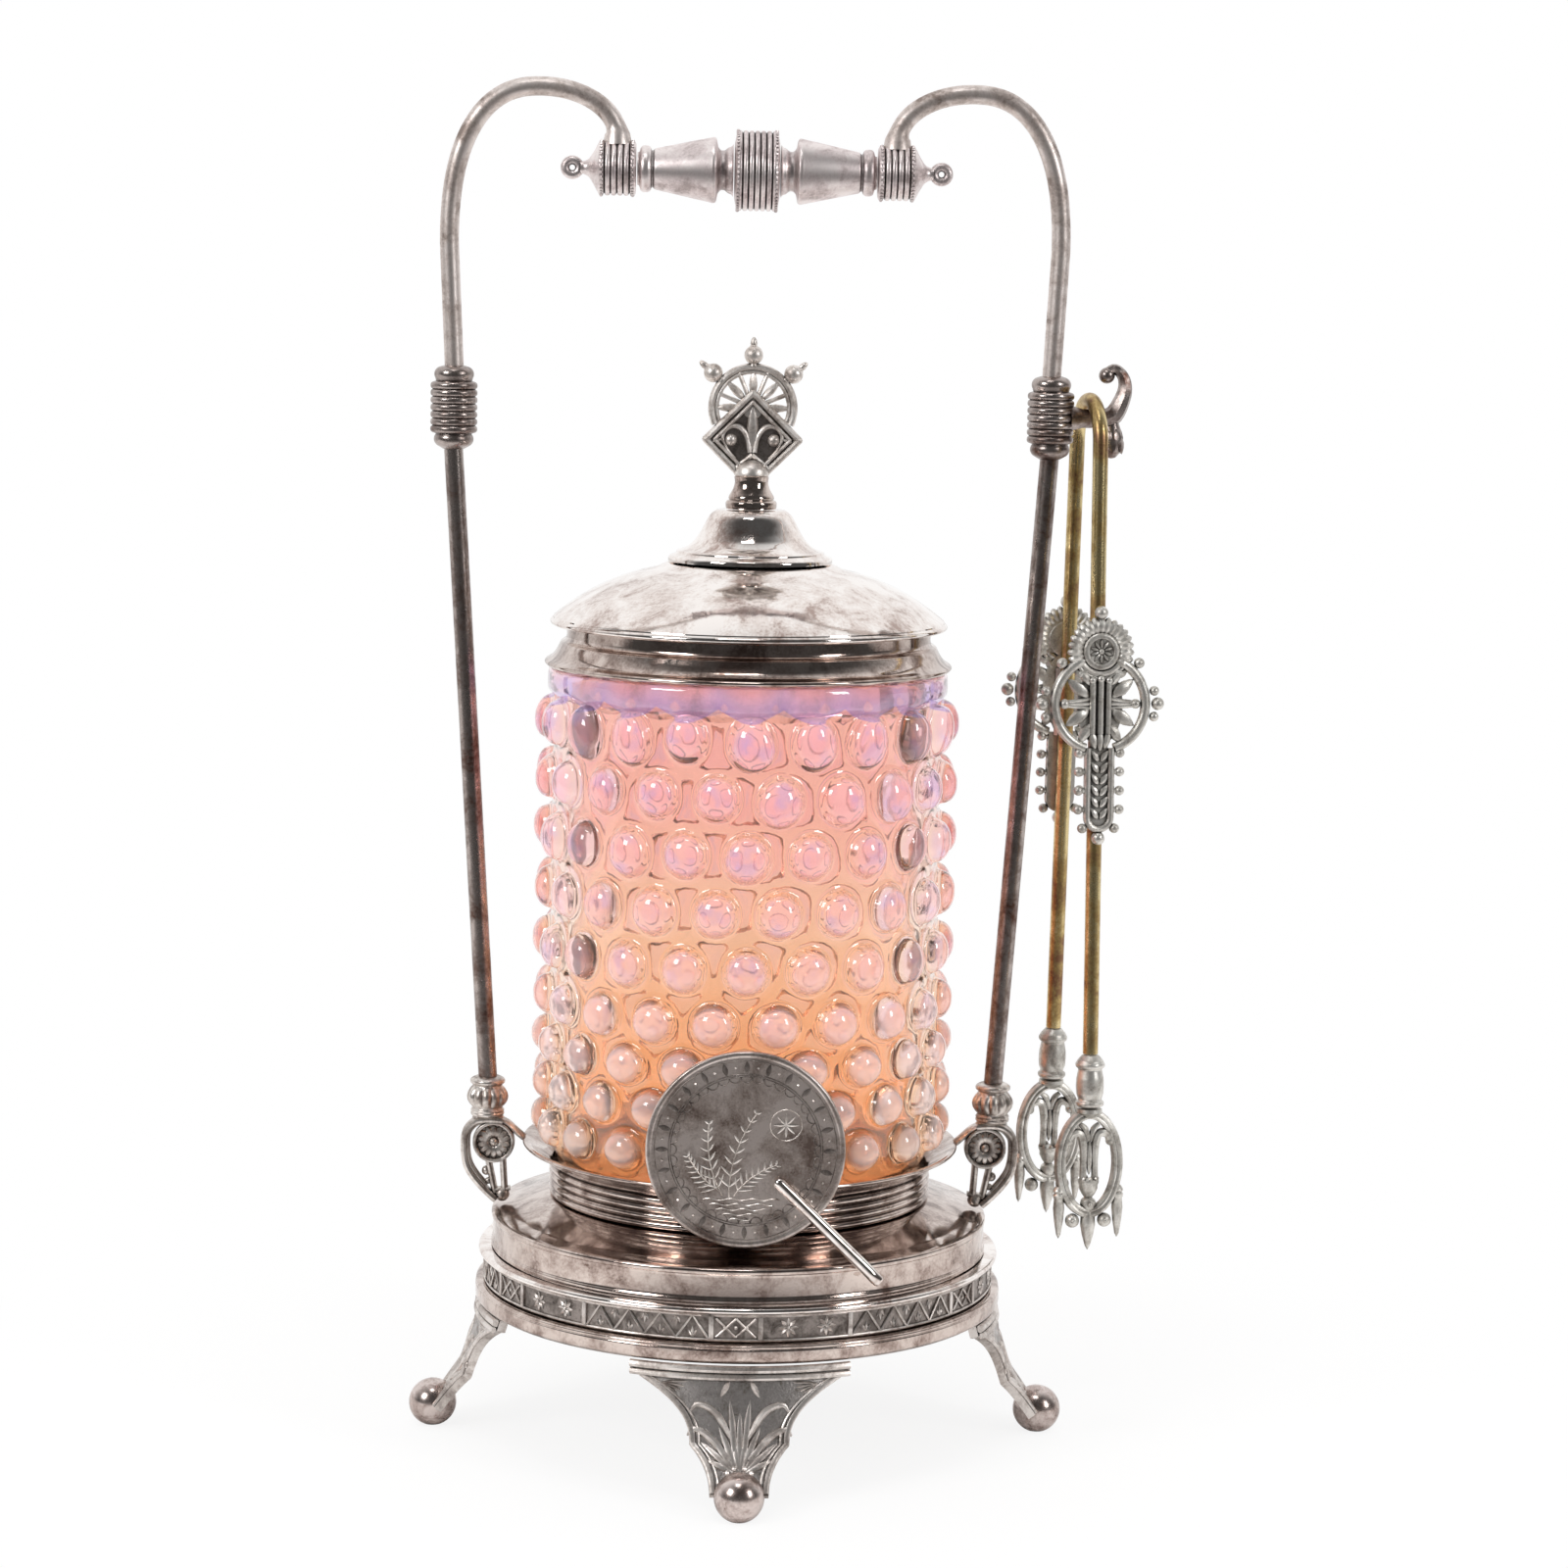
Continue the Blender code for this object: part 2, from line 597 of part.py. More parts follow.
def band_shape():
    """Make the frieze: a ring with raised upright dividers between its panels."""
    inner = BAND_RADIUS - BAND_THICKNESS
    field = BAND_RADIUS - BAND_RELIEF
    top = BAND_BOTTOM + BAND_HEIGHT
    angles = []
    turn = math.tau / BAND_REPEATS
    for repeat in range(BAND_REPEATS):
        for start, end in zip(BAND_DIVIDER_SHARES, BAND_DIVIDER_SHARES[1:] + (1.0,)):
            angles.append((turn * (repeat + start), True))
            angles.append((turn * (repeat + start + BAND_DIVIDER_SHARE), False))
            if end - start > BAND_DIVIDER_SHARES[1] * 2 - BAND_DIVIDER_SHARE:
                angles.append((turn * (repeat + (start + BAND_DIVIDER_SHARE + end) / 2), None))
    shape = bmesh.new()
    columns = []
    raised = False
    for angle, lift in angles:
        sides = [raised, lift] if lift is not None else [raised]
        for side in sides:
            face = BAND_RADIUS if side else field
            column = [(inner, BAND_BOTTOM), (face, BAND_BOTTOM), (face, top), (inner, top)]
            across, ahead = math.sin(angle), -math.cos(angle)
            columns.append([shape.verts.new((radius * across, radius * ahead, height))
                            for radius, height in column])
        if lift is not None:
            raised = lift
    for first, second in zip(columns, columns[1:] + columns[:1]):
        for step in range(len(first)):
            after = (step + 1) % len(first)
            corners = (first[step], first[after], second[after], second[step])
            if len({tuple(round(value, 7) for value in corner.co) for corner in corners}) > 2:
                shape.faces.new(corners)
    return shape


def make_base(parent, materials):
    """Make the stacked rings of the base and the drum that covers them."""
    width = LOWER_RIM_WIDTH
    add_piece("lower_rim", ring_from_shares(LOWER_RIM_SHARES, LOWER_RIM_RADIUS, width, LOWER_RIM_BOTTOM,
                                            LOWER_RIM_HEIGHT), materials["plate"], parent)
    add_piece("patterned_band", band_shape(), materials["plate"], parent)
    ledge = UPPER_RIM_RADIUS - DRUM_RADIUS + DRUM_SHEET
    add_piece("upper_rim", ring_from_shares(UPPER_RIM_SHARES, UPPER_RIM_RADIUS, ledge, UPPER_RIM_BOTTOM,
                                            UPPER_RIM_HEIGHT), materials["plate"], parent)
    inside = DRUM_RADIUS - DRUM_SHEET
    outline = [(DRUM_RADIUS, DRUM_BOTTOM), (DRUM_RADIUS, DRUM_SHOULDER - DRUM_CORNER),
               (DRUM_RADIUS - DRUM_CORNER, DRUM_SHOULDER), (HOLDER_WALL_RADIUS, DRUM_TOP), (0, DRUM_TOP),
               (0, DRUM_TOP - DRUM_SHEET), (HOLDER_WALL_RADIUS, DRUM_TOP - DRUM_SHEET),
               (inside, DRUM_SHOULDER - DRUM_SHEET), (inside, DRUM_BOTTOM)]
    add_piece("base_drum", turned(outline, LARGE_STEPS, ring=True), materials["plate"], parent)


def holder_shape():
    """Spin the ribbed cup with its flared rim."""
    wall_top = HOLDER_BOTTOM + HOLDER_WALL_HEIGHT
    inner = HOLDER_WALL_RADIUS - HOLDER_SHEET
    floor = HOLDER_BOTTOM + HOLDER_SHEET
    flare = HOLDER_RIM_RADIUS - HOLDER_WALL_RADIUS
    rise = HOLDER_TOP - wall_top
    ribs = ribbed_outline(HOLDER_WALL_RADIUS, HOLDER_RIB_DEPTH, HOLDER_BOTTOM, HOLDER_WALL_HEIGHT,
                          HOLDER_RIB_COUNT)
    outline = [(0, HOLDER_BOTTOM)] + ribs
    outline += [(HOLDER_WALL_RADIUS + flare / 3, wall_top + rise / 3),
                (HOLDER_RIM_RADIUS - HOLDER_LIP / 3, HOLDER_TOP - HOLDER_LIP / 3),
                (HOLDER_RIM_RADIUS, HOLDER_TOP + HOLDER_LIP / 3),
                (HOLDER_RIM_RADIUS - HOLDER_LIP, HOLDER_TOP + HOLDER_LIP / 3),
                (inner + flare / 3, wall_top + rise / 2), (inner, wall_top + HOLDER_SHEET / 2),
                (inner, floor), (0, floor)]
    return turned(outline, SHELL_STEPS, ring=True)


def hob_row_heights():
    """Give the heights of the rows of hobs above the jar's bottom, from the lowest."""
    heights = [HOB_LOWEST]
    for index in range(HOB_LOWER_ROWS + HOB_UPPER_ROWS):
        heights.append(heights[-1] + (HOB_LOWER_PITCH if index < HOB_LOWER_ROWS else HOB_UPPER_PITCH))
    return heights


def jar_shape():
    """Make the glass jar: zigzag rings part its wall into cells, and each cell swells to a hob."""
    rows = hob_row_heights()
    edges = [rows[0] - HOB_LOWER_PITCH / 2]
    edges += [(low + high) / 2 for low, high in zip(rows, rows[1:])]
    edges += [rows[-1] + HOB_UPPER_PITCH / 2]
    count = HOB_COLUMNS * 2
    shape = bmesh.new()
    inner = JAR_BODY_RADIUS - JAR_WALL

    def ring(radius, height, swing=0.0, phase=0):
        """Add one ring of vertices, which may swing up and down in turn."""
        verts = []
        for step in range(count):
            angle = math.tau * step / count
            lift = swing if (step + phase) % 2 == 0 else -swing
            place = (radius * math.cos(angle), radius * math.sin(angle), height + lift)
            verts.append(shape.verts.new(place))
        return verts

    def join(lower, upper):
        """Fill the strip between two rings with quads."""
        for step in range(count):
            after = (step + 1) % count
            shape.faces.new((lower[step], lower[after], upper[after], upper[step]))

    zigzags = []
    for index, height in enumerate(edges):
        pitch = HOB_LOWER_PITCH if index <= HOB_LOWER_ROWS else HOB_UPPER_PITCH
        zigzags.append(ring(JAR_BODY_RADIUS, height, pitch * HOB_ZIGZAG_SHARE, index + 1))
    cells = []
    for row, (lower, upper) in enumerate(zip(zigzags, zigzags[1:])):
        for column in range(HOB_COLUMNS):
            centre = column * 2 + row % 2
            before, after = (centre - 1) % count, (centre + 1) % count
            middle = centre % count
            cells.append(shape.faces.new((lower[before], lower[middle], lower[after],
                                          upper[after], upper[middle], upper[before])))
    foot_low = ring(JAR_FOOT_RADIUS - JAR_FOOT_ROUND, 0)
    foot_top = ring(JAR_FOOT_RADIUS, JAR_FOOT_HEIGHT)
    band_low = ring(JAR_BAND_RADIUS, JAR_HEIGHT - JAR_BAND_HEIGHT)
    lip = ring(JAR_BAND_RADIUS, JAR_HEIGHT)
    mouth = ring(inner, JAR_HEIGHT)
    floor = ring(inner, JAR_FLOOR)
    for lower, upper in ((foot_low, foot_top), (foot_top, zigzags[0]), (zigzags[-1], band_low),
                         (band_low, lip), (lip, mouth), (mouth, floor)):
        join(lower, upper)
    shape.faces.new(list(reversed(foot_low)))
    shape.faces.new(floor)
    bmesh.ops.recalc_face_normals(shape, faces=shape.faces)
    bmesh.ops.inset_individual(shape, faces=cells, thickness=HOB_SHOULDER_WIDTH, depth=HOB_SHOULDER_HEIGHT,
                               use_even_offset=True)
    crowns = bmesh.ops.poke(shape, faces=cells)["verts"]
    for crown in crowns:
        outward = Vector((crown.co.x, crown.co.y, 0)).normalized()
        crown.co = outward * (JAR_BODY_RADIUS + HOB_HEIGHT) + Vector((0, 0, crown.co.z))
    return shape


def make_lid(parent, materials):
    """Make the lid's spun shells and the turned parts that carry the finial."""
    edge_top = SKIRT_BOTTOM + SKIRT_EDGE_HEIGHT
    skirt_top = SKIRT_BOTTOM + SKIRT_HEIGHT
    inside = BEZEL_RADIUS + GAP
    slope = (skirt_top - edge_top) / 3
    skirt = [(inside, SKIRT_BOTTOM), (SKIRT_RADIUS, SKIRT_BOTTOM), (SKIRT_RADIUS - GAP, edge_top),
             (NECK_RIDGE_RADIUS + SKIRT_SHEET, edge_top + slope / 2),
             (NECK_RADIUS + GAP, edge_top + slope), (NECK_RIDGE_RADIUS, edge_top + slope * 4 / 3),
             (NECK_RIDGE_RADIUS, edge_top + slope * 5 / 3), (NECK_RADIUS, edge_top + slope * 2),
             (NECK_RADIUS, skirt_top), (NECK_RADIUS - SKIRT_SHEET, skirt_top), (inside, edge_top + slope)]
    add_piece("lid_skirt", turned(skirt, SHELL_STEPS, ring=True), materials["plate"], parent)
    bezel_low = SKIRT_BOTTOM - BEZEL_HEIGHT
    bezel = [(BEZEL_RADIUS - SKIRT_SHEET, bezel_low), (BEZEL_RADIUS, bezel_low), (BEZEL_RADIUS, edge_top),
             (BEZEL_RADIUS - SKIRT_SHEET, edge_top)]
    add_piece("lid_bezel", turned(bezel, SHELL_STEPS, ring=True), materials["plate"], parent)
    add_piece("lid_dome", dome_shape(), materials["plate"], parent)
    pedestal = [(PEDESTAL_RADIUS * across, PEDESTAL_BOTTOM + PEDESTAL_HEIGHT * up)
                for across, up in PEDESTAL_SHARES]
    pedestal.append((PEDESTAL_TOP_RADIUS, PEDESTAL_BOTTOM + PEDESTAL_HEIGHT))
    bore = STUD_RADIUS + GAP
    add_piece("lid_pedestal", bored_turned(pedestal, bore, MIDDLE_STEPS), materials["plate"], parent)
    stem = solid_turned(STEM_SHARES, STEM_RADIUS, STEM_HEIGHT, SMALL_STEPS)
    add_piece("finial_stem", stem, materials["plate"], parent, (0, 0, STEM_BOTTOM))
    underside = DOME_CREST - DOME_SHEET
    nut_low = underside - GAP - NUT_HEIGHT
    nut = [(NUT_RADIUS, nut_low), (NUT_RADIUS, nut_low + NUT_HEIGHT)]
    add_piece("finial_nut", bored_turned(nut, bore, NUT_SIDES), materials["wire"], parent)
    stud_low = nut_low - STUD_FREE_LENGTH / 2
    stud_top = STEM_BOTTOM - GAP
    stud = [(0, stud_low), (STUD_RADIUS, stud_low), (STUD_RADIUS, stud_top), (0, stud_top)]
    add_piece("finial_stud", turned(stud, WIRE_SIDES), materials["wire"], parent)


def dome_shape():
    """Spin the domed shell with its rolled edge and the hole for the stud."""
    hole = STUD_RADIUS + GAP
    edge = DOME_BOTTOM + DOME_EDGE_HEIGHT

    def crown(share, drop):
        """Give the dome's height at a share of its radius, less a drop."""
        return edge + DOME_RISE * (1 - share ** DOME_CURVE) - drop

    outer = [(DOME_RADIUS * share, crown(share, 0)) for share in DOME_STATION_SHARES]
    seat = (PEDESTAL_RADIUS * 2 / 3, DOME_CREST)
    inner_reach = DOME_RADIUS - DOME_SHEET * 2
    inner = [(inner_reach * share, crown(share, DOME_SHEET))
             for share in reversed(DOME_STATION_SHARES[1::2])]
    outline = [(NECK_RADIUS - SKIRT_SHEET, DOME_BOTTOM),
               (DOME_RADIUS - DOME_EDGE_HEIGHT / 2, DOME_BOTTOM),
               (DOME_RADIUS, DOME_BOTTOM + DOME_EDGE_HEIGHT / 2)]
    outline += outer[:-1]
    outline += [(seat[0], seat[1]), (hole, DOME_CREST), (hole, DOME_CREST - DOME_SHEET),
                (PEDESTAL_RADIUS * 2 / 3, DOME_CREST - DOME_SHEET)]
    outline += inner
    return turned(outline, SHELL_STEPS, ring=True)


def finial_diamond():
    """Make the square plate on its corner, bordered, with its lowest corner cut for the stem."""
    reach = DIAMOND_HALF_DIAGONAL
    low = -reach + reach * DIAMOND_DROP_SHARE
    flat = reach * DIAMOND_DROP_SHARE
    outline = [(-flat, low), (flat, low), (reach, 0), (0, reach), (-reach, 0)]
    shape = openwork([outline], DIAMOND_THICKNESS)
    bmesh.ops.recalc_face_normals(shape, faces=shape.faces)
    bmesh.ops.dissolve_limit(shape, angle_limit=SHARP_ANGLE / 10, verts=shape.verts, edges=shape.edges)
    front = [face for face in shape.faces if face.normal.y < -0.9]
    bmesh.ops.inset_region(shape, faces=front, thickness=DIAMOND_BORDER, use_even_offset=True)
    bmesh.ops.inset_region(shape, faces=front, thickness=DIAMOND_RECESS / 2, depth=-DIAMOND_RECESS,
                           use_even_offset=True)
    return shape


def finial_wheel():
    """Make the spoked wheel that stands behind the diamond."""
    rim = arc((0, 0), WHEEL_RADIUS, 0, 360, WHEEL_RIM_STEPS)[:-1]
    inner = WHEEL_RADIUS - WHEEL_BAND
    loops = [rim]
    pitch = 360 / WHEEL_SPOKES
    first = 90 - pitch * WHEEL_OPEN_SPOKES / 2
    for spoke in range(WHEEL_OPEN_SPOKES):
        start, end = first + pitch * spoke, first + pitch * (spoke + 1)
        outer_half = math.degrees(WHEEL_SPOKE_WIDTH / 2 / inner)
        hub_half = math.degrees(WHEEL_SPOKE_WIDTH / 2 / WHEEL_HUB_RADIUS) * 3 / 4
        window = arc((0, 0), inner, start + outer_half, end - outer_half, 1)
        window.append(arc((0, 0), WHEEL_HUB_RADIUS, (start + end) / 2, end - hub_half, 1)[0])
        loops.append(window)
    return openwork(loops, WHEEL_THICKNESS)


def make_finial(parent, materials):
    """Make the cast finial: diamond, wheel and three tipped balls in one piece."""
    centre = STEM_TOP + GAP + DIAMOND_HALF_DIAGONAL * (1 - DIAMOND_DROP_SHARE)
    origin = (0, -DIAMOND_THICKNESS / 2, centre)
    finial = add_piece("finial", finial_diamond(), materials["casting"], parent, origin)
    wheel_place = (0, DIAMOND_THICKNESS / 2 - WHEEL_THICKNESS / 2, centre + WHEEL_RISE)
    combine(finial, add_guide("finial_wheel_shape", finial_wheel(), parent, wheel_place), "UNION")
    reach = WHEEL_RADIUS + TIP_BALL_RADIUS
    foot = -TIP_BALL_RADIUS - WHEEL_BAND / 3
    profile = ([(0, foot), (TIP_FOOT_RADIUS, foot)] + ball_outline(TIP_BALL_RADIUS, 5)
               + [(TIP_RADIUS, TIP_BALL_RADIUS), (TIP_RADIUS, TIP_BALL_RADIUS + TIP_LENGTH / 2),
                  (0, TIP_BALL_RADIUS + TIP_LENGTH)])
    for index, degrees in enumerate(TIP_ANGLES):
        angle = math.radians(degrees)
        place = (reach * math.cos(angle), wheel_place[1] + WHEEL_THICKNESS / 2,
                 wheel_place[2] + reach * math.sin(angle))
        ball = add_guide(f"finial_ball_shape_{index}", turned(profile, WIRE_SIDES), parent, place,
                         (0, math.pi / 2 - angle, 0))
        combine(finial, ball, "UNION")


def knop_shape():
    """Spin the melon knop and flute its swelling."""
    shape = solid_turned(KNOP_SHARES, KNOP_RADIUS, KNOP_HEIGHT, KNOP_LOBES * 2)
    low, high = (KNOP_HEIGHT * share for share in KNOP_FLUTED_SHARES)
    for vert in shape.verts:
        if low < vert.co.z < high:
            angle = math.atan2(vert.co.y, vert.co.x)
            pinch = KNOP_FLUTE_SHARE * (1 - math.cos(KNOP_LOBES * angle))
            vert.co.x *= 1 - pinch
            vert.co.y *= 1 - pinch
    return shape


def bracket_loops():
    """Give the outline and the two windows of the right bracket, in X from the castor's axis and Z."""
    wheel = (BRACKET_WHEEL_OFFSET, BRACKET_TOP - BRACKET_WHEEL_DROP)
    wheel_radius = BRACKET_WHEEL_RADIUS
    reach = BRACKET_REACH - wheel[0]
    band = BRACKET_BAND
    slope = DRUM_CONE_RISE / (DRUM_RADIUS - HOLDER_WALL_RADIUS)

    def seat(across):
        """Give the height that clears the conical top at a distance from the axis."""
        return DRUM_SHOULDER + (DRUM_RADIUS - across) * slope + GAP

    foot_in = wheel[0] - BRACKET_FOOT_INSET
    foot_out = wheel[0]
    drop = wheel[1] - seat(foot_out)
    low_curve = curve_quarter(wheel, reach, drop, BRACKET_LOW_CURVE, -84, 0, 6)
    top_curve = curve_quarter(wheel, reach, BRACKET_WHEEL_DROP, BRACKET_TOP_CURVE, 15, 78, 4)
    rim_side = HOLDER_RIM_RADIUS + GAP
    outline = [(foot_in, seat(foot_in)), (foot_out, seat(foot_out))] + low_curve + top_curve
    outline += [(wheel[0] - wheel_radius / 2, BRACKET_TOP), (rim_side, HOLDER_TOP + HOLDER_LIP),
                (rim_side, HOLDER_TOP - band)]
    outline += arc(wheel, wheel_radius, 188, 215, 2)
    outline.append((foot_in, wheel[1] - wheel_radius * 2 / 3 - band))
    inner_reach, inner_drop = reach - band, drop - band
    crescent = curve_quarter(wheel, inner_reach, inner_drop, BRACKET_LOW_CURVE, -44, 0, 4)
    inner_rise = BRACKET_WHEEL_DROP - band / 2
    crescent += curve_quarter(wheel, inner_reach, inner_rise, BRACKET_TOP_CURVE, 15, 30, 1)
    crescent += list(reversed(arc(wheel, wheel_radius, -62, 22, 4)))
    strut_edge = foot_in + BRACKET_STRUT
    low_edge = seat(strut_edge) + band
    window = [(strut_edge, low_edge), (foot_out - band, low_edge)]
    window += curve_quarter(wheel, inner_reach, inner_drop, BRACKET_LOW_CURVE, -72, -60, 1)
    window += list(reversed(arc(wheel, wheel_radius, 225, 276, 3)))
    return [outline, crescent, window]


def make_side(side, parent, materials):
    """Make one side of the handle frame, with side -1 for left and +1 for right."""
    name = "right" if side > 0 else "left"
    plate = materials["plate"]
    loops = [[(side * across, up) for across, up in loop] for loop in bracket_loops()]
    add_piece(f"{name}_bracket", openwork(loops, BRACKET_DEPTH), materials["casting"], parent,
              (0, -BRACKET_DEPTH / 2, 0))
    add_piece(f"{name}_knop", knop_shape(), plate, parent, (side * KNOP_OFFSET, 0, KNOP_BOTTOM))
    rod = [(side * KNOP_OFFSET, 0, KNOP_TOP + GAP), (side * COLLAR_OFFSET, 0, COLLAR_BOTTOM - GAP)]
    add_piece(f"{name}_lower_rod", tube(rod, [ROD_RADIUS] * 2, WIRE_SIDES), plate, parent)
    cap = COLLAR_CAP_LENGTH
    ribs = ribbed_outline(COLLAR_RADIUS, COLLAR_RIB_DEPTH, cap, COLLAR_LENGTH - cap * 2, COLLAR_RIBS)
    wide = COLLAR_CAP_RADIUS
    collar = [(0, 0), (wide * 2 / 3, 0), (wide, cap / 3), (wide, cap * 5 / 6)]
    collar += ribs
    collar += [(wide, COLLAR_LENGTH - cap * 5 / 6), (wide, COLLAR_LENGTH - cap / 4),
               (wide * 5 / 6, COLLAR_LENGTH), (0, COLLAR_LENGTH)]
    add_piece(f"{name}_mid_collar", turned(collar, RIB_STEPS), plate, parent,
              (side * COLLAR_OFFSET, 0, COLLAR_BOTTOM))
    path = [(side * across, 0, up) for across, up in arch_path()]
    add_piece(f"{name}_arch_rod", tube(path, [ROD_RADIUS] * len(path), WIRE_SIDES), plate, parent)
    quarter = (0, side * math.pi / 2, 0)
    cone = solid_turned(CONE_SHARES, CONE_RADIUS, CONE_LENGTH, SMALL_STEPS)
    add_piece(f"{name}_grip_cone", cone, plate, parent, (side * CONE_START, 0, CROSSBAR_HEIGHT), quarter)
    block = add_piece(f"{name}_end_block", block_shape(), plate, parent,
                      (side * BLOCK_START, 0, CROSSBAR_HEIGHT), quarter)
    eye = BLOCK_START + BLOCK_LENGTH + BLOCK_TIP_LENGTH + EYELET_RADIUS - EYELET_HOLE_RADIUS / 2
    loops = [arc((0, 0), EYELET_RADIUS, 0, 360, WIRE_SIDES)[:-1],
             arc((0, 0), EYELET_HOLE_RADIUS, 0, 360, NUT_SIDES)[:-1]]
    ring = add_guide(f"{name}_eyelet_shape", openwork(loops, EYELET_THICKNESS), parent,
                     (side * eye, -EYELET_THICKNESS / 2, CROSSBAR_HEIGHT))
    combine(block, ring, "UNION")


def arch_path():
    """Give the right arch's centre line in X and Z, from the collar up and over to the end block."""
    start = (COLLAR_OFFSET, COLLAR_TOP + GAP)
    centre = (ARCH_TOP_OFFSET, ARCH_SHOULDER_HEIGHT)
    path = [start]
    across = ARCH_SHOULDER_OFFSET - ARCH_TOP_OFFSET
    path += curve_quarter(centre, across, ARCH_TOP_HEIGHT - ARCH_SHOULDER_HEIGHT, ARCH_OUTER_CURVE,
                          0, 90, ARCH_POINTS)
    landing = CROSSBAR_HEIGHT + BLOCK_RADIUS + GAP
    inner = (ARCH_TOP_OFFSET, ARCH_TOP_HEIGHT - ARCH_INNER_DROP)
    path += arc_oval(inner, ARCH_TOP_OFFSET - BLOCK_CENTRE, ARCH_INNER_DROP, 90, 180, ARCH_POINTS - 2)[1:]
    path[-1] = (BLOCK_CENTRE, landing)
    return path


def block_shape():
    """Spin the ribbed end block with its small tip."""
    ribs = ribbed_outline(BLOCK_RADIUS, BLOCK_RIB_DEPTH, 0, BLOCK_LENGTH, BLOCK_RIBS)
    tip = [(BLOCK_RADIUS * 2 / 3, BLOCK_LENGTH + BLOCK_TIP_LENGTH / 4),
           (BLOCK_TIP_RADIUS, BLOCK_LENGTH + BLOCK_TIP_LENGTH * 2 / 3),
           (BLOCK_TIP_RADIUS, BLOCK_LENGTH + BLOCK_TIP_LENGTH), (0, BLOCK_LENGTH + BLOCK_TIP_LENGTH)]
    return turned([(0, 0)] + ribs + tip, RIB_STEPS)


def make_barrel(parent, materials):
    """Make the ribbed middle of the crossbar."""
    ribs = ribbed_outline(BARREL_RADIUS, BARREL_RIB_DEPTH, 0, BARREL_LENGTH, BARREL_RIBS)
    barrel = turned([(0, 0)] + ribs + [(0, BARREL_LENGTH)], MIDDLE_STEPS)
    add_piece("grip_barrel", barrel, materials["plate"], parent, (-BARREL_LENGTH / 2, 0, CROSSBAR_HEIGHT),
              (0, math.pi / 2, 0))


def make_hook(parent, materials):
    """Make the tong hook: a shank, a tail that curls back and a hanging bud."""
    bend = HOOK_START + HOOK_SHANK_LENGTH
    tail = [(HOOK_START, HOOK_HEIGHT), (HOOK_START + TONGS_SEAT_OFFSET / 2, HOOK_HEIGHT),
            (bend - HOOK_TAIL_REACH / 2, HOOK_HEIGHT),
            (bend + HOOK_TAIL_REACH / 3, HOOK_HEIGHT + HOOK_TAIL_RISE / 6),
            (bend + HOOK_TAIL_REACH * 5 / 6, HOOK_HEIGHT + HOOK_TAIL_RISE * 2 / 5),
            (bend + HOOK_TAIL_REACH, HOOK_HEIGHT + HOOK_TAIL_RISE * 3 / 5)]
    curl = (bend + HOOK_TAIL_REACH - HOOK_CURL_RADIUS, HOOK_HEIGHT + HOOK_TAIL_RISE * 3 / 4)
    tail += arc(curl, HOOK_CURL_RADIUS, 20, 150, 3)
    radii = [HOOK_ROOT_RADIUS, HOOK_SHANK_RADIUS, HOOK_SHANK_RADIUS, HOOK_SHANK_RADIUS, HOOK_TAIL_RADIUS,
             HOOK_TAIL_RADIUS, HOOK_TAIL_RADIUS, HOOK_TAIL_RADIUS, HOOK_TAIL_RADIUS, HOOK_TAIL_RADIUS]
    path = [(across, 0, up) for across, up in tail]
    hook = add_piece("tong_hook", tube(path, radii, WIRE_SIDES), materials["casting"], parent)
    end = tail[-1]
    ball = make_ball(HOOK_BALL_RADIUS, WIRE_SIDES, FOOT_BALL_RINGS)
    ball = add_guide("hook_ball_shape", ball, parent, (end[0], 0, end[1]))
    combine(hook, ball, "UNION")
    bud_outline = [(0, -HOOK_BUD_LENGTH), (HOOK_BUD_WIDTH / 3, -HOOK_BUD_LENGTH * 9 / 10),
                   (HOOK_BUD_WIDTH / 2, -HOOK_BUD_LENGTH / 2), (HOOK_BUD_WIDTH / 3, -HOOK_BUD_LENGTH / 8),
                   (0, 0)]
    bud = add_guide("hook_bud_shape", turned(bud_outline, WIRE_SIDES), parent, (bend, 0, HOOK_HEIGHT))
    combine(hook, bud, "UNION")


def make_fan(parent, materials):
    """Make the round plate on the front of the cup and its stick."""
    disc = arc((0, 0), FAN_RADIUS, 0, 360, SHELL_STEPS)[:-1]
    add_piece("fan_disc", openwork([disc], FAN_THICKNESS), materials["plate"], parent,
              (FAN_OFFSET, -FAN_BACK - FAN_THICKNESS, FAN_CENTRE_HEIGHT))
    depth = -FAN_BACK - FAN_THICKNESS - GAP - STICK_RADIUS
    path = [(FAN_OFFSET + STICK_START_RIGHT, depth, FAN_CENTRE_HEIGHT - STICK_START_DROP),
            (FAN_OFFSET + STICK_END_RIGHT, depth, FAN_CENTRE_HEIGHT - STICK_END_DROP)]
    add_piece("fan_stick", tube(path, [STICK_RADIUS] * 2, WIRE_SIDES), materials["plate"], parent)


def bump(centre, radius, facing, wrap=95):
    """Give the points of a round bead that stands out of an outline."""
    return arc(centre, radius, facing - wrap, facing + wrap, 2)


def mirrored(points):
    """Complete an outline that runs up its right side with its left side."""
    return points + [(-across, up) for across, up in reversed(points) if across > WELD_DISTANCE]


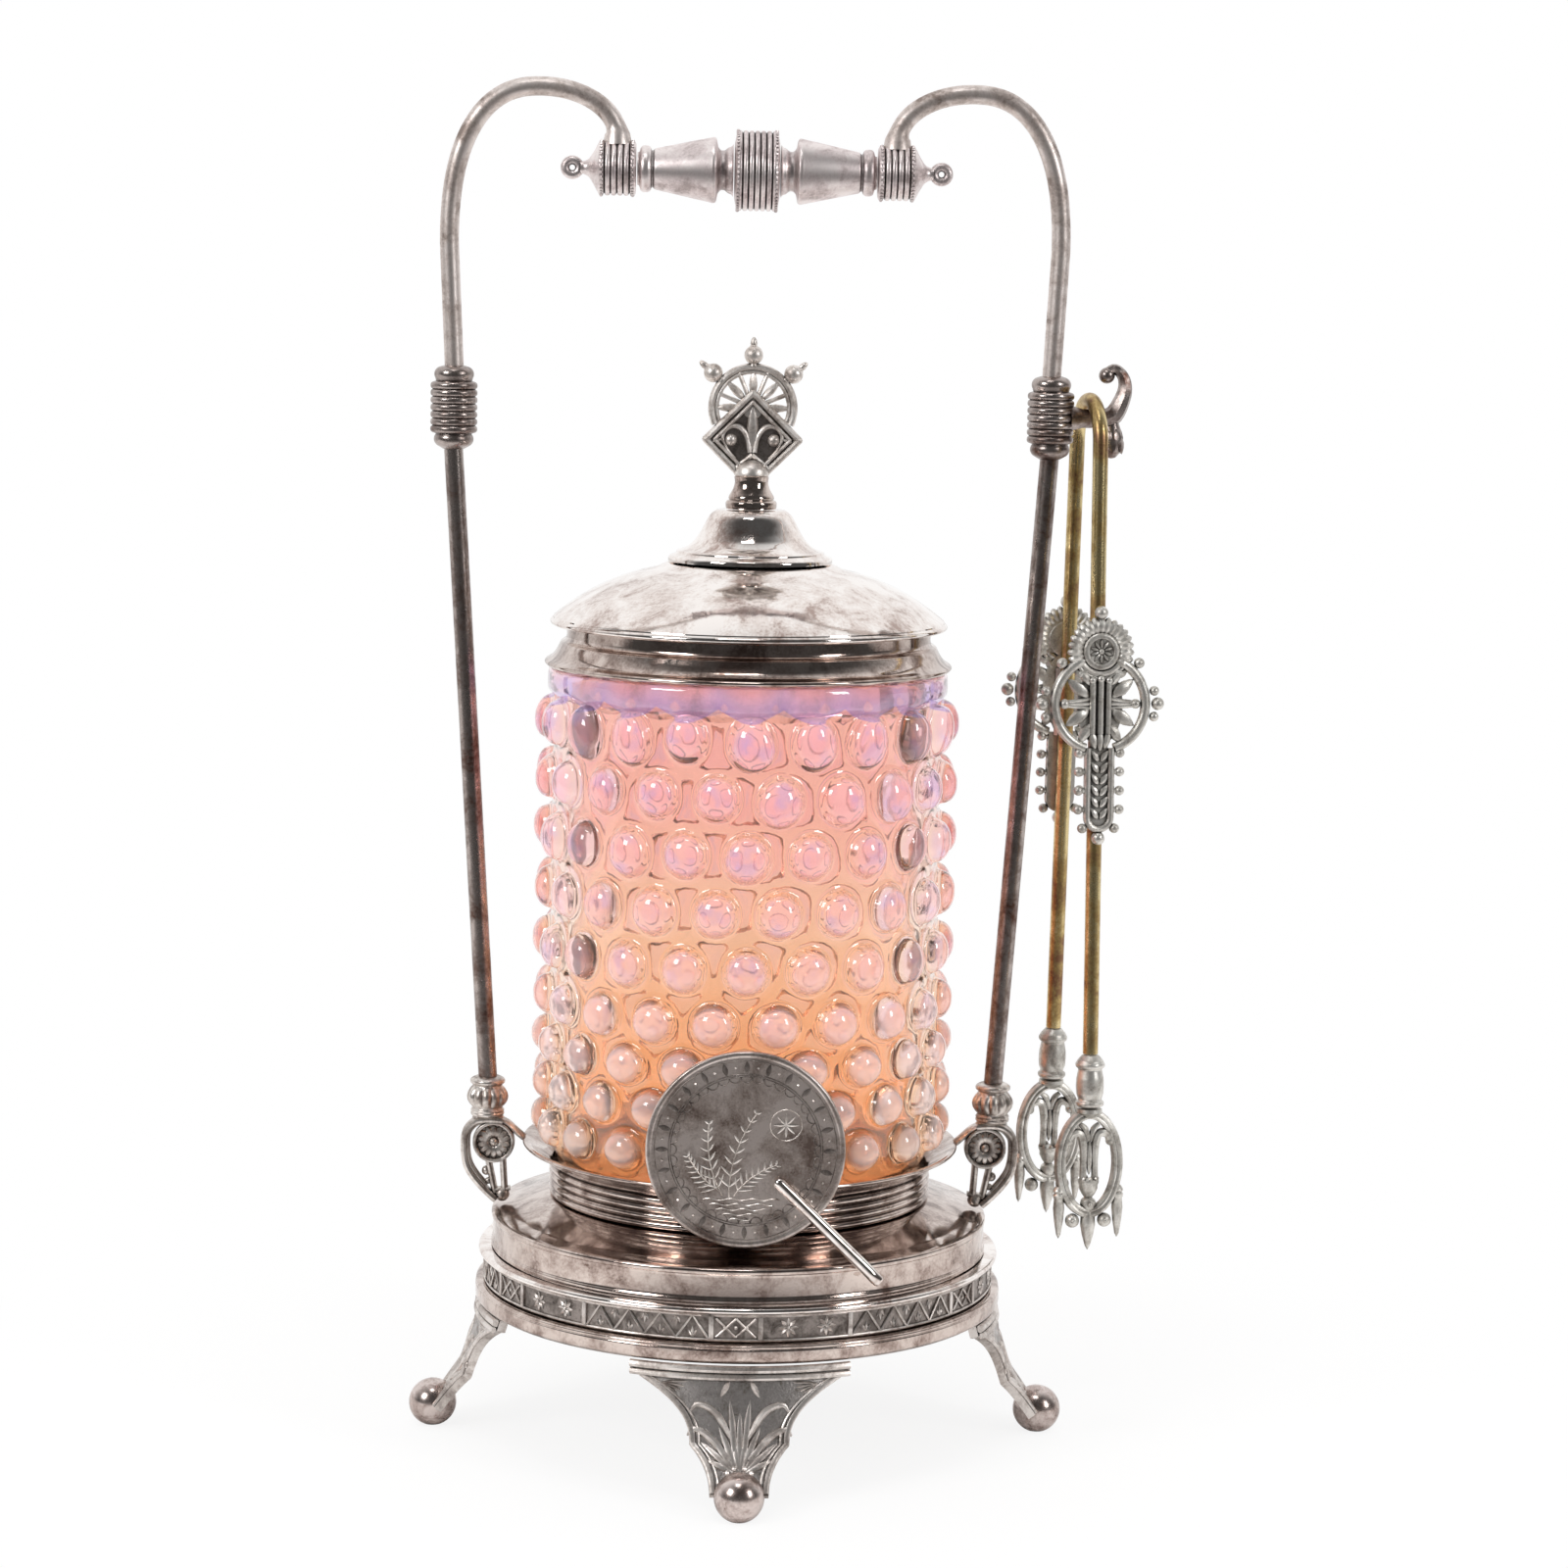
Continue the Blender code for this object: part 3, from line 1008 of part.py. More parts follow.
def plate_loops():
    """Give the outline and windows of a finger plate, about the middle of its ring."""
    bead = PLATE_BEAD_RADIUS
    half = PLATE_TONGUE_WIDTH / 2
    ring = PLATE_RING_RADIUS
    points = arc((0, -PLATE_TONGUE_DROP), PLATE_END_BEAD_RADIUS, -90, -10, 2)
    top_bead = bead / 2 - ring
    pitch = (PLATE_TONGUE_DROP - ring - bead * 3 / 2) / (PLATE_TONGUE_BEADS - 1)
    for index in reversed(range(PLATE_TONGUE_BEADS)):
        points += bump((half + bead * 2 / 3, top_bead - pitch * index), bead, 0, 130)
    points += arc((0, 0), ring, -62, -22, 3)
    for angle in (-13, 0, 13):
        turn = math.radians(angle)
        reach = ring + bead * (2 if angle == 0 else 4 / 3)
        points += bump((reach * math.cos(turn), reach * math.sin(turn)), bead, angle, 60 if angle else 75)
    points += arc((0, 0), ring, 22, 32, 1)
    end = math.radians(44)
    points += bump((ring * math.cos(end), (ring + bead) * math.sin(end)), PLATE_END_BEAD_RADIUS, 44, 80)
    fan = (0, PLATE_FAN_RISE)
    start, finish = 0, 84
    petals = PLATE_FAN_PETALS
    for index in range(petals + 1):
        angle = start + (finish - start) * index / petals
        radius = PLATE_FAN_RADIUS - (PLATE_PETAL_DEPTH if index % 2 else 0)
        points += arc(fan, radius, angle, angle, 1)[:1]
    points += arc((0, PLATE_FAN_RISE + PLATE_FAN_RADIUS + bead / 2), PLATE_END_BEAD_RADIUS, 10, 90, 2)
    inner = ring - PLATE_RING_BAND
    stem = PLATE_STEM_WIDTH / 2
    leaf = PLATE_SIDE_LEAF_WIDTH / 2
    upper = [(stem, leaf * 2), (stem + leaf, leaf)] + arc((0, 0), inner, 10, 45, 3)
    upper += [(stem, inner * 2 / 5)]
    lower = [(stem + leaf, -leaf), (stem, -leaf * 2), (stem, -inner * 3 / 5)]
    lower += arc((0, 0), inner, -58, -10, 3)
    windows = [upper, lower]
    windows += [[(-across, up) for across, up in reversed(loop)] for loop in (upper, lower)]
    return [mirrored(points)] + windows


def claw_loops():
    """Give the outline and windows of a claw, from the middle of its top edge down."""
    half = CLAW_WIDTH / 2
    height = CLAW_OVAL_HEIGHT
    middle = (0, -height / 2)
    prong = CLAW_PRONG_WIDTH
    tip_low = -height - CLAW_MIDDLE_DROP
    side_low = -height * 4 / 5 - CLAW_PRONG_LENGTH
    points = [(0, tip_low), (CLAW_MIDDLE_WIDTH / 6, tip_low), (CLAW_MIDDLE_WIDTH / 2, -height - prong),
              (CLAW_MIDDLE_WIDTH / 2, -height), (half - prong * 2, -height * 9 / 10),
              (half - prong, -height * 9 / 10), (half - prong, side_low + prong * 2),
              (half - prong / 2, side_low), (half, side_low + prong * 2), (half, -height * 3 / 4)]
    points += arc_oval(middle, half, height / 2, -20, 66, 5)
    points += [(CLAW_NECK_WIDTH / 2, 0)]
    stem = CLAW_STEM_WIDTH / 2
    inside, rise = half - CLAW_BAND, height / 2 - CLAW_BAND
    arm = -height * (1 - CLAW_ARM_HEIGHT_SHARE)
    lower = [(stem / 2, middle[1] - rise * 4 / 5), (half / 3, middle[1] - rise * 3 / 4)]
    lower += arc_oval(middle, inside, rise, -38, 18, 3)
    lower += [(inside * 4 / 5, arm - CLAW_ARM_WIDTH / 2), (stem, arm - CLAW_ARM_WIDTH / 2),
              (stem, middle[1] - rise / 2)]
    upper = [(stem, arm + CLAW_ARM_WIDTH / 2), (inside * 3 / 4, arm + CLAW_ARM_WIDTH)]
    upper += arc_oval(middle, inside, rise, 46, 68, 1) + [(stem / 2, middle[1] + rise * 4 / 5)]
    windows = [lower, upper]
    windows += [[(-across, up) for across, up in reversed(loop)] for loop in (lower, upper)]
    return [mirrored(points)] + windows


def arc_oval(centre, across, up, start, end, steps):
    """Give points along an oval, with its angles in degrees."""
    return curve_quarter(centre, across, up, 2.0, start, end, steps)


def make_jaw(name, side, parent, materials):
    """Make one arm of the tongs under its own pivot, with side -1 in front and +1 behind."""
    pivot = make_empty(f"{name}_jaw_pivot", parent, (0, side * BOW_RADIUS, BOW_END - HOOK_HEIGHT),
                       (side * ARM_LEAN, 0, 0))
    arm = [(0, 0, -GAP), (0, 0, -GAP - ARM_LENGTH)]
    add_piece(f"{name}_arm", tube(arm, [TONGS_WIRE_RADIUS] * 2, WIRE_SIDES), materials["wire"], pivot)
    outer_face = TONGS_WIRE_RADIUS + GAP
    back = outer_face if side > 0 else -outer_face - PLATE_THICKNESS
    add_piece(f"{name}_grip_plate", openwork(plate_loops(), PLATE_THICKNESS), materials["casting"], pivot,
              (0, back, -PLATE_RING_DROP))
    socket_top = -GAP - ARM_LENGTH - GAP
    socket = solid_turned(SOCKET_SHARES, SOCKET_RADIUS, SOCKET_LENGTH, RIB_STEPS)
    add_piece(f"{name}_claw_socket", socket, materials["casting"], pivot,
              (0, 0, socket_top - SOCKET_LENGTH))
    claw_top = socket_top - SOCKET_LENGTH - GAP
    add_piece(f"{name}_claw", openwork(claw_loops(), CLAW_THICKNESS), materials["casting"], pivot,
              (0, -CLAW_THICKNESS / 2, claw_top))


def make_tongs(parent, materials):
    """Make the tongs, hung on the hook and turned a little about the upright."""
    pivot = make_empty("tongs_pivot", parent, (BOW_OFFSET, 0, HOOK_HEIGHT), (0, 0, TONGS_TURN))
    path = [(0, -across, up) for across, up in
            arc((0, BOW_END - HOOK_HEIGHT), BOW_RADIUS, 0, 180, BOW_POINTS)]
    wire = tube(path, [TONGS_WIRE_RADIUS] * len(path), WIRE_SIDES)
    add_piece("tongs_bow", wire, materials["wire"], pivot)
    make_jaw("front", -1, pivot, materials)
    make_jaw("back", 1, pivot, materials)


def centre_on_footprint(root):
    """Slide the whole castor along X so that its overall box is centred on the origin."""
    bpy.context.view_layer.update()
    reaches = []
    for item in bpy.data.objects:
        if item.type == "MESH" and not item.hide_render:
            reaches += [(item.matrix_world @ vert.co).x for vert in item.data.vertices]
    root.location.x = -(min(reaches) + max(reaches)) / 2


def main():
    """Build the castor."""
    clear_scene()
    materials = make_materials()
    root = make_empty("castor_axis", None)
    make_feet(root, materials)
    make_legs(root, materials)
    make_base(root, materials)
    add_piece("jar_holder", holder_shape(), materials["plate"], root)
    for side in (-1, 1):
        make_side(side, root, materials)
    make_barrel(root, materials)
    make_hook(root, materials)
    make_fan(root, materials)
    jar_lift = make_empty("jar_lift", root, (0, 0, JAR_BOTTOM))
    add_piece("jar", jar_shape(), materials["glass"], jar_lift)
    lid_lift = make_empty("lid_lift", root)
    make_lid(lid_lift, materials)
    make_finial(lid_lift, materials)
    make_tongs(root, materials)
    centre_on_footprint(root)


if __name__ == "__main__":
    main()
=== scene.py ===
"""Looks of a Victorian pickle castor: plated stand, hobnail jar, domed lid and spring tongs."""
import logging
import math
import random
from collections.abc import Callable, Iterable, Sequence
from dataclasses import dataclass
from enum import Enum
from functools import partial

import bmesh
import bpy
from bmesh import ops
from bmesh.types import BMEdge, BMesh, BMFace, BMVert
from bpy.types import ID, Material, Node, NodeSocket, NodeTree, Object
from mathutils import Matrix, Vector


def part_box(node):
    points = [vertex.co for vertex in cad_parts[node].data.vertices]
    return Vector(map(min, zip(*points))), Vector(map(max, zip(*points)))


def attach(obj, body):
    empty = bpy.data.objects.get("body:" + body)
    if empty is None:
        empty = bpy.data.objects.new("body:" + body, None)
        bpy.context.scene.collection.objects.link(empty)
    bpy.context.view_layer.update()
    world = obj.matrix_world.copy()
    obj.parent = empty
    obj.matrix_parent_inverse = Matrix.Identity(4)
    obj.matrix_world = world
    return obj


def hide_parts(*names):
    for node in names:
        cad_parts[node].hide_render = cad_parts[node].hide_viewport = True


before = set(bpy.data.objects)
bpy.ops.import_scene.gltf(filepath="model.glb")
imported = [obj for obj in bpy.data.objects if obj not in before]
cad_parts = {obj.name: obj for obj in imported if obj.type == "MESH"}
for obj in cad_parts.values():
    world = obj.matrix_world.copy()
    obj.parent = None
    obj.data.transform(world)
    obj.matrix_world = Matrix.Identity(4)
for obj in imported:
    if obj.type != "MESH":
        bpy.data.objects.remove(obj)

LOG = logging.getLogger("pickle_castor")
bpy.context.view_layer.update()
RIM_LOW, RIM_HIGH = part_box("lower_rim")
# Shapes are drawn in millimetres about the castor's axis; dress() turns them into metres.
MM = 0.001
CASTOR = Matrix.Translation((RIM_LOW + RIM_HIGH).to_2d().to_3d() / 2 / MM)
MIRROR_X = Matrix.Scale(-1, 4, (1, 0, 0))
MIRROR_Y = Matrix.Scale(-1, 4, (0, 1, 0))
WELD = 0.001
# Facets round the widest turned pieces.
FINE = 128
Point = tuple[float, float]
Spot = tuple[float, float, float]


class Slot(Enum):
    """The material slots of the record."""

    PLATE = "plate"
    CASTING = "casting"
    GLASS = "glass"
    WIRE = "wire"


class Side(Enum):
    """The two sides of the handle frame, with the sign of their X."""

    LEFT = -1
    RIGHT = 1


# ---------------------------------------------------------------- places and outlines

def move(across: float, deep: float, up: float) -> Matrix:
    """Give a shift along X, Y and Z."""
    return Matrix.Translation((across, deep, up))


def rotate(degrees: float, axis: str) -> Matrix:
    """Give a turn about an axis."""
    return Matrix.Rotation(math.radians(degrees), 4, axis)


def at(across: float, up: float, out: float = 0.0, turn: float = 0.0,
       reach: float = 0.0) -> Matrix:
    """Give a place in the plane of a flat casting.

    Args:
        across: its X.
        up: its Z.
        out: how far it stands out, towards -Y.
        turn: turn about Y in degrees, towards +X.
        reach: how far along the turned direction it lies from there.

    Returns:
        The matrix of that place.
    """
    return move(across, -out, up) @ rotate(turn, "Y") @ move(0, 0, reach)


def scaled(shares: Iterable[Point], across: float, up: float, low: float = 0.0) -> list[Point]:
    """Size an outline given in shares, from a height upwards."""
    return [(across * wide, low + up * high) for wide, high in shares]


def shifted(points: Iterable[Point], across: float, up: float) -> list[Point]:
    """Shift the points of an outline."""
    return [(across + wide, up + high) for wide, high in points]


def oval(centre: Point, across: float, up: float, power: float, start: float, end: float,
         steps: int) -> list[Point]:
    """Give points along a rounded oval.

    Args:
        centre: middle of the oval.
        across: half its width.
        up: half its height.
        power: 2 for an ellipse, more for squarer shoulders.
        start: first angle in degrees.
        end: last angle in degrees.
        steps: number of pieces.

    Returns:
        The points, both ends among them.
    """
    points = []
    for index in range(steps + 1):
        angle = math.radians(start + (end - start) * index / steps)
        cosine, sine = math.cos(angle), math.sin(angle)
        reach = (abs(cosine) ** power + abs(sine) ** power) ** (-1 / power)
        points.append((centre[0] + across * reach * cosine, centre[1] + up * reach * sine))
    return points


def arc(centre: Point, radius: float, start: float, end: float, steps: int) -> list[Point]:
    """Give points along an arc, both ends among them."""
    return oval(centre, radius, radius, 2.0, start, end, steps)


def rounded(points: Sequence[Point], radius: float, steps: int = 3) -> list[Point]:
    """Round the inner corners of an open outline.

    Args:
        points: the outline.
        radius: how far from a corner the rounding starts.
        steps: pieces of each rounding.

    Returns:
        The outline with rounded corners.
    """
    made = [points[0]]
    for before, corner, after in zip(points, points[1:], points[2:]):
        here = Vector(corner)
        back, ahead = Vector(before) - here, Vector(after) - here
        start = here + back.normalized() * min(radius, back.length * 0.45)
        end = here + ahead.normalized() * min(radius, ahead.length * 0.45)
        for index in range(steps + 1):
            share = index / steps
            spot = start * (1 - share) ** 2 + here * 2 * share * (1 - share) + end * share ** 2
            made.append((spot.x, spot.y))
    made.append(points[-1])
    return made


def smooth_path(points: Sequence[Point | Spot], steps: int) -> list[Point | Spot]:
    """Run a smooth curve through a few points.

    Args:
        points: the points to pass.
        steps: pieces between two of them.

    Returns:
        The points of the curve.
    """
    knots = [Vector(point) for point in points]
    knots = [knots[0] * 2 - knots[1]] + knots + [knots[-1] * 2 - knots[-2]]
    made = []
    for first, start, end, last in zip(knots, knots[1:], knots[2:], knots[3:]):
        for index in range(steps):
            share = index / steps
            spot = (start * 2 + (end - first) * share
                    + (first * 2 - start * 5 + end * 4 - last) * share ** 2
                    + (start * 3 - first - end * 3 + last) * share ** 3) / 2
            made.append(tuple(spot))
    made.append(tuple(knots[-2]))
    return made


def ribbed(radius: float, depth: float, start: float, length: float, count: int) -> list[Point]:
    """Give the outline of round ribs along a turned piece.

    Args:
        radius: reach of the ribs.
        depth: depth of the grooves.
        start: height where the ribs start.
        length: length of them all.
        count: number of ribs.

    Returns:
        The outline points.
    """
    steps, low = 6, radius - depth
    points = [(low, start)]
    for index in range(count):
        for step in range(1, steps + 1):
            swell = math.sin(math.pi * step / steps) ** 0.45 if step < steps else 0.0
            height = start + length / count * (index + step / steps)
            points.append((low + depth * swell, height))
    return points


# ---------------------------------------------------------------- shapes from operators

def turned(outline: Sequence[Point], steps: int, closed: bool = False) -> BMesh:
    """Spin an outline of (radius, height) points about Z.

    Args:
        outline: the section.
        steps: facets round the axis.
        closed: whether the section closes on itself.

    Returns:
        The closed shape.
    """
    shape = bmesh.new()
    verts = [shape.verts.new((radius, 0, height)) for radius, height in outline]
    edges = [shape.edges.new(pair) for pair in zip(verts, verts[1:])]
    if closed:
        edges.append(shape.edges.new((verts[-1], verts[0])))
    ops.spin(shape, geom=verts + edges, cent=(0, 0, 0), axis=(0, 0, 1), dvec=(0, 0, 0),
                   angle=math.tau, steps=steps, use_merge=True)
    ops.remove_doubles(shape, verts=shape.verts, dist=WELD)
    return shape


def solid(outline: Sequence[Point], radius: float, steps: int, hole: float = 0.0) -> BMesh:
    """Spin an outline with rounded corners and close it at both ends.

    Args:
        outline: the section.
        radius: how far from a corner the rounding starts.
        steps: facets round the axis.
        hole: radius of the bore, 0 for none.

    Returns:
        The closed shape.
    """
    ends = (hole, outline[0][1]), (hole, outline[-1][1])
    return turned([ends[0]] + rounded(outline, radius) + [ends[1]], steps, closed=hole > 0)


def ball(radius: float, steps: int = 16) -> BMesh:
    """Make a ball about the origin.

    Args:
        radius: its radius.
        steps: facets round it.

    Returns:
        The ball.
    """
    shape = bmesh.new()
    ops.create_uvsphere(shape, u_segments=steps, v_segments=steps * 5 // 8, radius=radius)
    return shape


def swept(path: Sequence[Spot], radii: Sequence[float], sides: int = 10, flat: float = 1.0,
          across: Spot = (0, 1, 0)) -> BMesh:
    """Sweep a round or flattened section along a path by growing a circle's edges.

    Args:
        path: points of the centre line.
        radii: radius at each point, or one for all.
        sides: facets round the section.
        flat: depth of the section as a share of its width.
        across: direction in which the section is flattened.

    Returns:
        The closed rod.
    """
    points = [Vector(point) for point in path]
    sizes = list(radii) if len(radii) == len(points) else [radii[0]] * len(points)
    frames = []
    deep = Vector(across)
    for index, (point, size) in enumerate(zip(points, sizes)):
        ahead = (points[min(index + 1, len(points) - 1)] - points[max(index - 1, 0)]).normalized()
        deep = (deep - ahead * deep.dot(ahead)).normalized()
        wide = deep.cross(ahead)
        turn = Matrix((wide * size, deep * size * flat, ahead * size)).transposed().to_4x4()
        frames.append(Matrix.Translation(point) @ turn)
    shape = bmesh.new()
    verts = ops.create_circle(shape, cap_ends=True, segments=sides, radius=1)["verts"]
    ops.transform(shape, matrix=frames[0], verts=verts)
    edges = shape.edges[:]
    for before, after in zip(frames, frames[1:]):
        grown = ops.extrude_edge_only(shape, edges=edges)["geom"]
        verts = {item for item in grown if isinstance(item, BMVert)}
        edges = [edge for edge in grown if isinstance(edge, BMEdge)
                 and set(edge.verts) <= verts]
        ops.transform(shape, matrix=after @ before.inverted(), verts=list(verts))
    ops.edgeloop_fill(shape, edges=edges)
    return shape


def thicken(shape: BMesh, shift: Spot) -> None:
    """Make a closed plate of a sheet.

    Args:
        shape: the sheet.
        shift: from its face to the other one.
    """
    grown = ops.extrude_face_region(shape, geom=shape.faces[:])["geom"]
    moved = [item for item in grown if isinstance(item, BMVert)]
    ops.translate(shape, verts=moved, vec=shift)


def slab(outline: Sequence[Point], front: float, back: float, edge: float = 0.0) -> BMesh:
    """Make a flat casting in X and Z from its outline.

    Args:
        outline: the outline.
        front: Y of the face towards -Y.
        back: Y of the other face.
        edge: how far its rims are rounded.

    Returns:
        The closed plate.
    """
    shape = bmesh.new()
    verts = [shape.verts.new((across, front, up)) for across, up in outline]
    edges = [shape.edges.new(pair) for pair in zip(verts, verts[1:] + verts[:1])]
    ops.triangle_fill(shape, use_beauty=True, edges=edges)
    thicken(shape, (0, back - front, 0))
    ops.recalc_face_normals(shape, faces=shape.faces)
    if edge:
        rims = [side for side in shape.edges if side.calc_face_angle(0) > 1.2
                and abs(side.verts[0].co.y - side.verts[1].co.y) < WELD]
        ops.bevel(shape, geom=rims, offset=edge, segments=2, profile=0.5, affect="EDGES",
                        material=-1)
    return shape


class Form:
    """A mesh in the making, put together from shapes that the operators made."""

    def __init__(self) -> None:
        """Start with nothing."""
        self.mesh = bmesh.new()

    def add(self, shape: BMesh, place: Matrix = Matrix()) -> "Form":
        """Add a shape at its place.

        Args:
            shape: the shape, which is used up.
            place: where it goes.

        Returns:
            This form.
        """
        ops.transform(shape, matrix=place, verts=shape.verts)
        if place.determinant() < 0:
            ops.reverse_faces(shape, faces=shape.faces)
        keep = bpy.data.meshes.new("shape")
        shape.to_mesh(keep)
        shape.free()
        self.mesh.from_mesh(keep)
        bpy.data.meshes.remove(keep)
        return self

    def bead(self, across: float, up: float, radius: float, out: float = 0.0,
             steps: int = 12) -> None:
        """Add a round bead."""
        self.add(ball(radius, steps), at(across, up, out))

    def line(self, points: Sequence[Point], radius: float, out: float = 0.0, sides: int = 6,
             flat: float = 1.0) -> None:
        """Add a raised line along points in X and Z."""
        self.add(swept([(across, -out, up) for across, up in points], [radius], sides, flat))

    def scroll(self, points: Sequence[Point], radii: Sequence[float], out: float = 0.0,
               flat: float = 1.0) -> None:
        """Add a curling stem whose thickness changes along it.

        Args:
            points: a few points that it passes.
            radii: its radius at places spread evenly along it.
            out: how far it stands out.
            flat: its depth as a share of its width.
        """
        path = smooth_path([(across, -out, up) for across, up in points], 4)
        sizes = []
        for index in range(len(path)):
            spot = index / (len(path) - 1) * (len(radii) - 1)
            low = min(int(spot), len(radii) - 2)
            sizes.append(radii[low] + (radii[low + 1] - radii[low]) * (spot - low))
        self.add(swept(path, sizes, 8, flat))

    def leaf(self, place: Matrix, length: float, width: float, depth: float,
             sides: int = 8) -> None:
        """Add a pointed leaf with a ridge.

        Args:
            place: where it starts; it points along Z.
            length: its length.
            width: its greatest width along X.
            depth: its thickness along Y.
            sides: facets round it; 4 gives a sharp ridge.
        """
        shares = ((0, 0), (0.45, 0.08), (0.8, 0.25), (1, 0.45), (0.8, 0.68), (0.4, 0.88), (0, 1))
        shape = turned(scaled(shares, width / 2, length), sides)
        ops.scale(shape, vec=(1, depth / width, 1), verts=shape.verts)
        self.add(shape, place)

    def rays(self, turns: Iterable[float], middle: Spot, reach: float, size: Spot,
             sides: int = 8) -> None:
        """Set leaves round a middle.

        Args:
            turns: their directions in degrees.
            middle: its X, its Z and how far it stands out.
            reach: how far from it they start.
            size: length, width and depth of each.
            sides: facets of each.
        """
        for turn in turns:
            self.leaf(at(*middle, turn, reach), *size, sides)

    def milling(self, count: int, radius: float, height: float) -> None:
        """Set a row of tiny beads round a turned piece.

        Args:
            count: number of beads.
            radius: radius of the row.
            height: its height.
        """
        for index in range(count):
            angle = math.tau * index / count
            spot = move(radius * math.cos(angle), radius * math.sin(angle), height)
            self.add(ball(0.42, 6), spot)

    def copies(self, places: Iterable[Matrix]) -> "Form":
        """Add copies of all that is there.

        Args:
            places: where each copy goes.

        Returns:
            This form.
        """
        base = self.mesh.copy()
        for place in places:
            self.add(base.copy(), place)
        base.free()
        return self

    def bend(self, rule: Callable[[Vector], Vector]) -> "Form":
        """Lay the flat form on a curved surface.

        Args:
            rule: gives each point its new place.

        Returns:
            This form.
        """
        for vert in self.mesh.verts:
            vert.co = rule(vert.co)
        return self


def linked(name: str, data: ID) -> Object:
    """Put a mesh, lamp or camera in the scene.

    Args:
        name: name of its object.
        data: what the object holds.

    Returns:
        The object.
    """
    thing = bpy.data.objects.new(name, data)
    bpy.context.scene.collection.objects.link(thing)
    return thing


def placed(name: str, shape: BMesh, material: Material) -> Object:
    """Turn a shape into an object.

    Args:
        name: its name.
        shape: the shape, in metres, which is used up.
        material: its finish.

    Returns:
        The object.
    """
    mesh = bpy.data.meshes.new(name)
    shape.to_mesh(mesh)
    shape.free()
    mesh.materials.append(material)
    return linked(name, mesh)


def dress(name: str, form: Form | BMesh, material: Material, node: str = "",
          place: Matrix = CASTOR, body: str = "frame", slot: Slot = Slot.PLATE, levels: int = 0,
          sharp: float = 35.0) -> None:
    """Turn a form into a finished piece that rides on a body of the frame.

    Args:
        name: name of the piece.
        form: its shape, in millimetres.
        material: its finish.
        node: node of the CAD model that it stands for, if any.
        place: where the form's own origin lies.
        body: the body it rides on.
        slot: not used.
        levels: levels of subdivision.
        sharp: edges sharper than this many degrees stay crisp.
    """
    shape = form.mesh if isinstance(form, Form) else form
    ops.transform(shape, matrix=place, verts=shape.verts)
    ops.remove_doubles(shape, verts=shape.verts, dist=WELD)
    ops.recalc_face_normals(shape, faces=shape.faces)
    ops.scale(shape, vec=(MM, MM, MM), verts=shape.verts)
    piece = placed(name, shape, material)
    piece.data.shade_smooth()
    piece.data.set_sharp_from_angle(angle=math.radians(sharp))
    if levels:
        modifier = piece.modifiers.new("smooth", "SUBSURF")
        modifier.levels = modifier.render_levels = levels
    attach(piece, body)
    if node:
        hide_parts(node)
    LOG.info("%s: %d faces on %s", name, len(piece.data.polygons), body)


# ---------------------------------------------------------------- finishes

def linear(code: str) -> tuple[float, float, float, float]:
    """Turn an sRGB hex colour into linear values.

    Args:
        code: colour such as "#C8C0BC".

    Returns:
        Red, green, blue and 1.
    """
    parts = [int(code[index:index + 2], 16) / 255 for index in (1, 3, 5)]
    red, green, blue = ((part / 12.92 if part <= 0.04045 else ((part + 0.055) / 1.055) ** 2.4)
                        for part in parts)
    return red, green, blue, 1.0


def plug(node: Node, inputs: dict[str | int, object]) -> None:
    """Set the inputs of a node.

    Args:
        node: the node.
        inputs: for each input, by name or by number among those in use, a value, an output or a
            node whose first output in use it takes.
    """
    used = [socket for socket in node.inputs if socket.enabled]
    for key, value in inputs.items():
        socket = node.inputs[key] if isinstance(key, str) else used[key]
        if isinstance(value, Node):
            value = next(output for output in value.outputs if output.enabled)
        if isinstance(value, NodeSocket):
            node.id_data.links.new(value, socket)
        else:
            socket.default_value = value


def add_node(tree: NodeTree, kind: str, inputs: dict[str | int, object] | None = None,
             stops: Sequence[tuple[float, str]] = (), **settings: object) -> Node:
    """Add a shader node with its settings, values and links.

    Args:
        tree: tree that gets the node.
        kind: its type, without the words ShaderNode.
        inputs: what each input takes.
        stops: places and colours of a colour ramp, its two ends first.
        settings: the node's own settings.

    Returns:
        The node.
    """
    node = tree.nodes.new(f"ShaderNode{kind}")
    for key, value in settings.items():
        setattr(node, key, value)
    plug(node, inputs or {})
    for index, (spot, code) in enumerate(stops):
        ramp = node.color_ramp.elements
        element = ramp[index] if index < 2 else ramp.new(spot)
        element.position, element.color = spot, linear(code)
    return node


def new_look(name: str) -> tuple[Material, Callable, NodeSocket]:
    """Start a material.

    Args:
        name: its name.

    Returns:
        The material, the call that adds a node to it and the object's own coordinates.
    """
    material = bpy.data.materials.new(name)
    material.use_nodes = True
    add = partial(add_node, material.node_tree)
    return material, add, add("TexCoord").outputs["Object"]


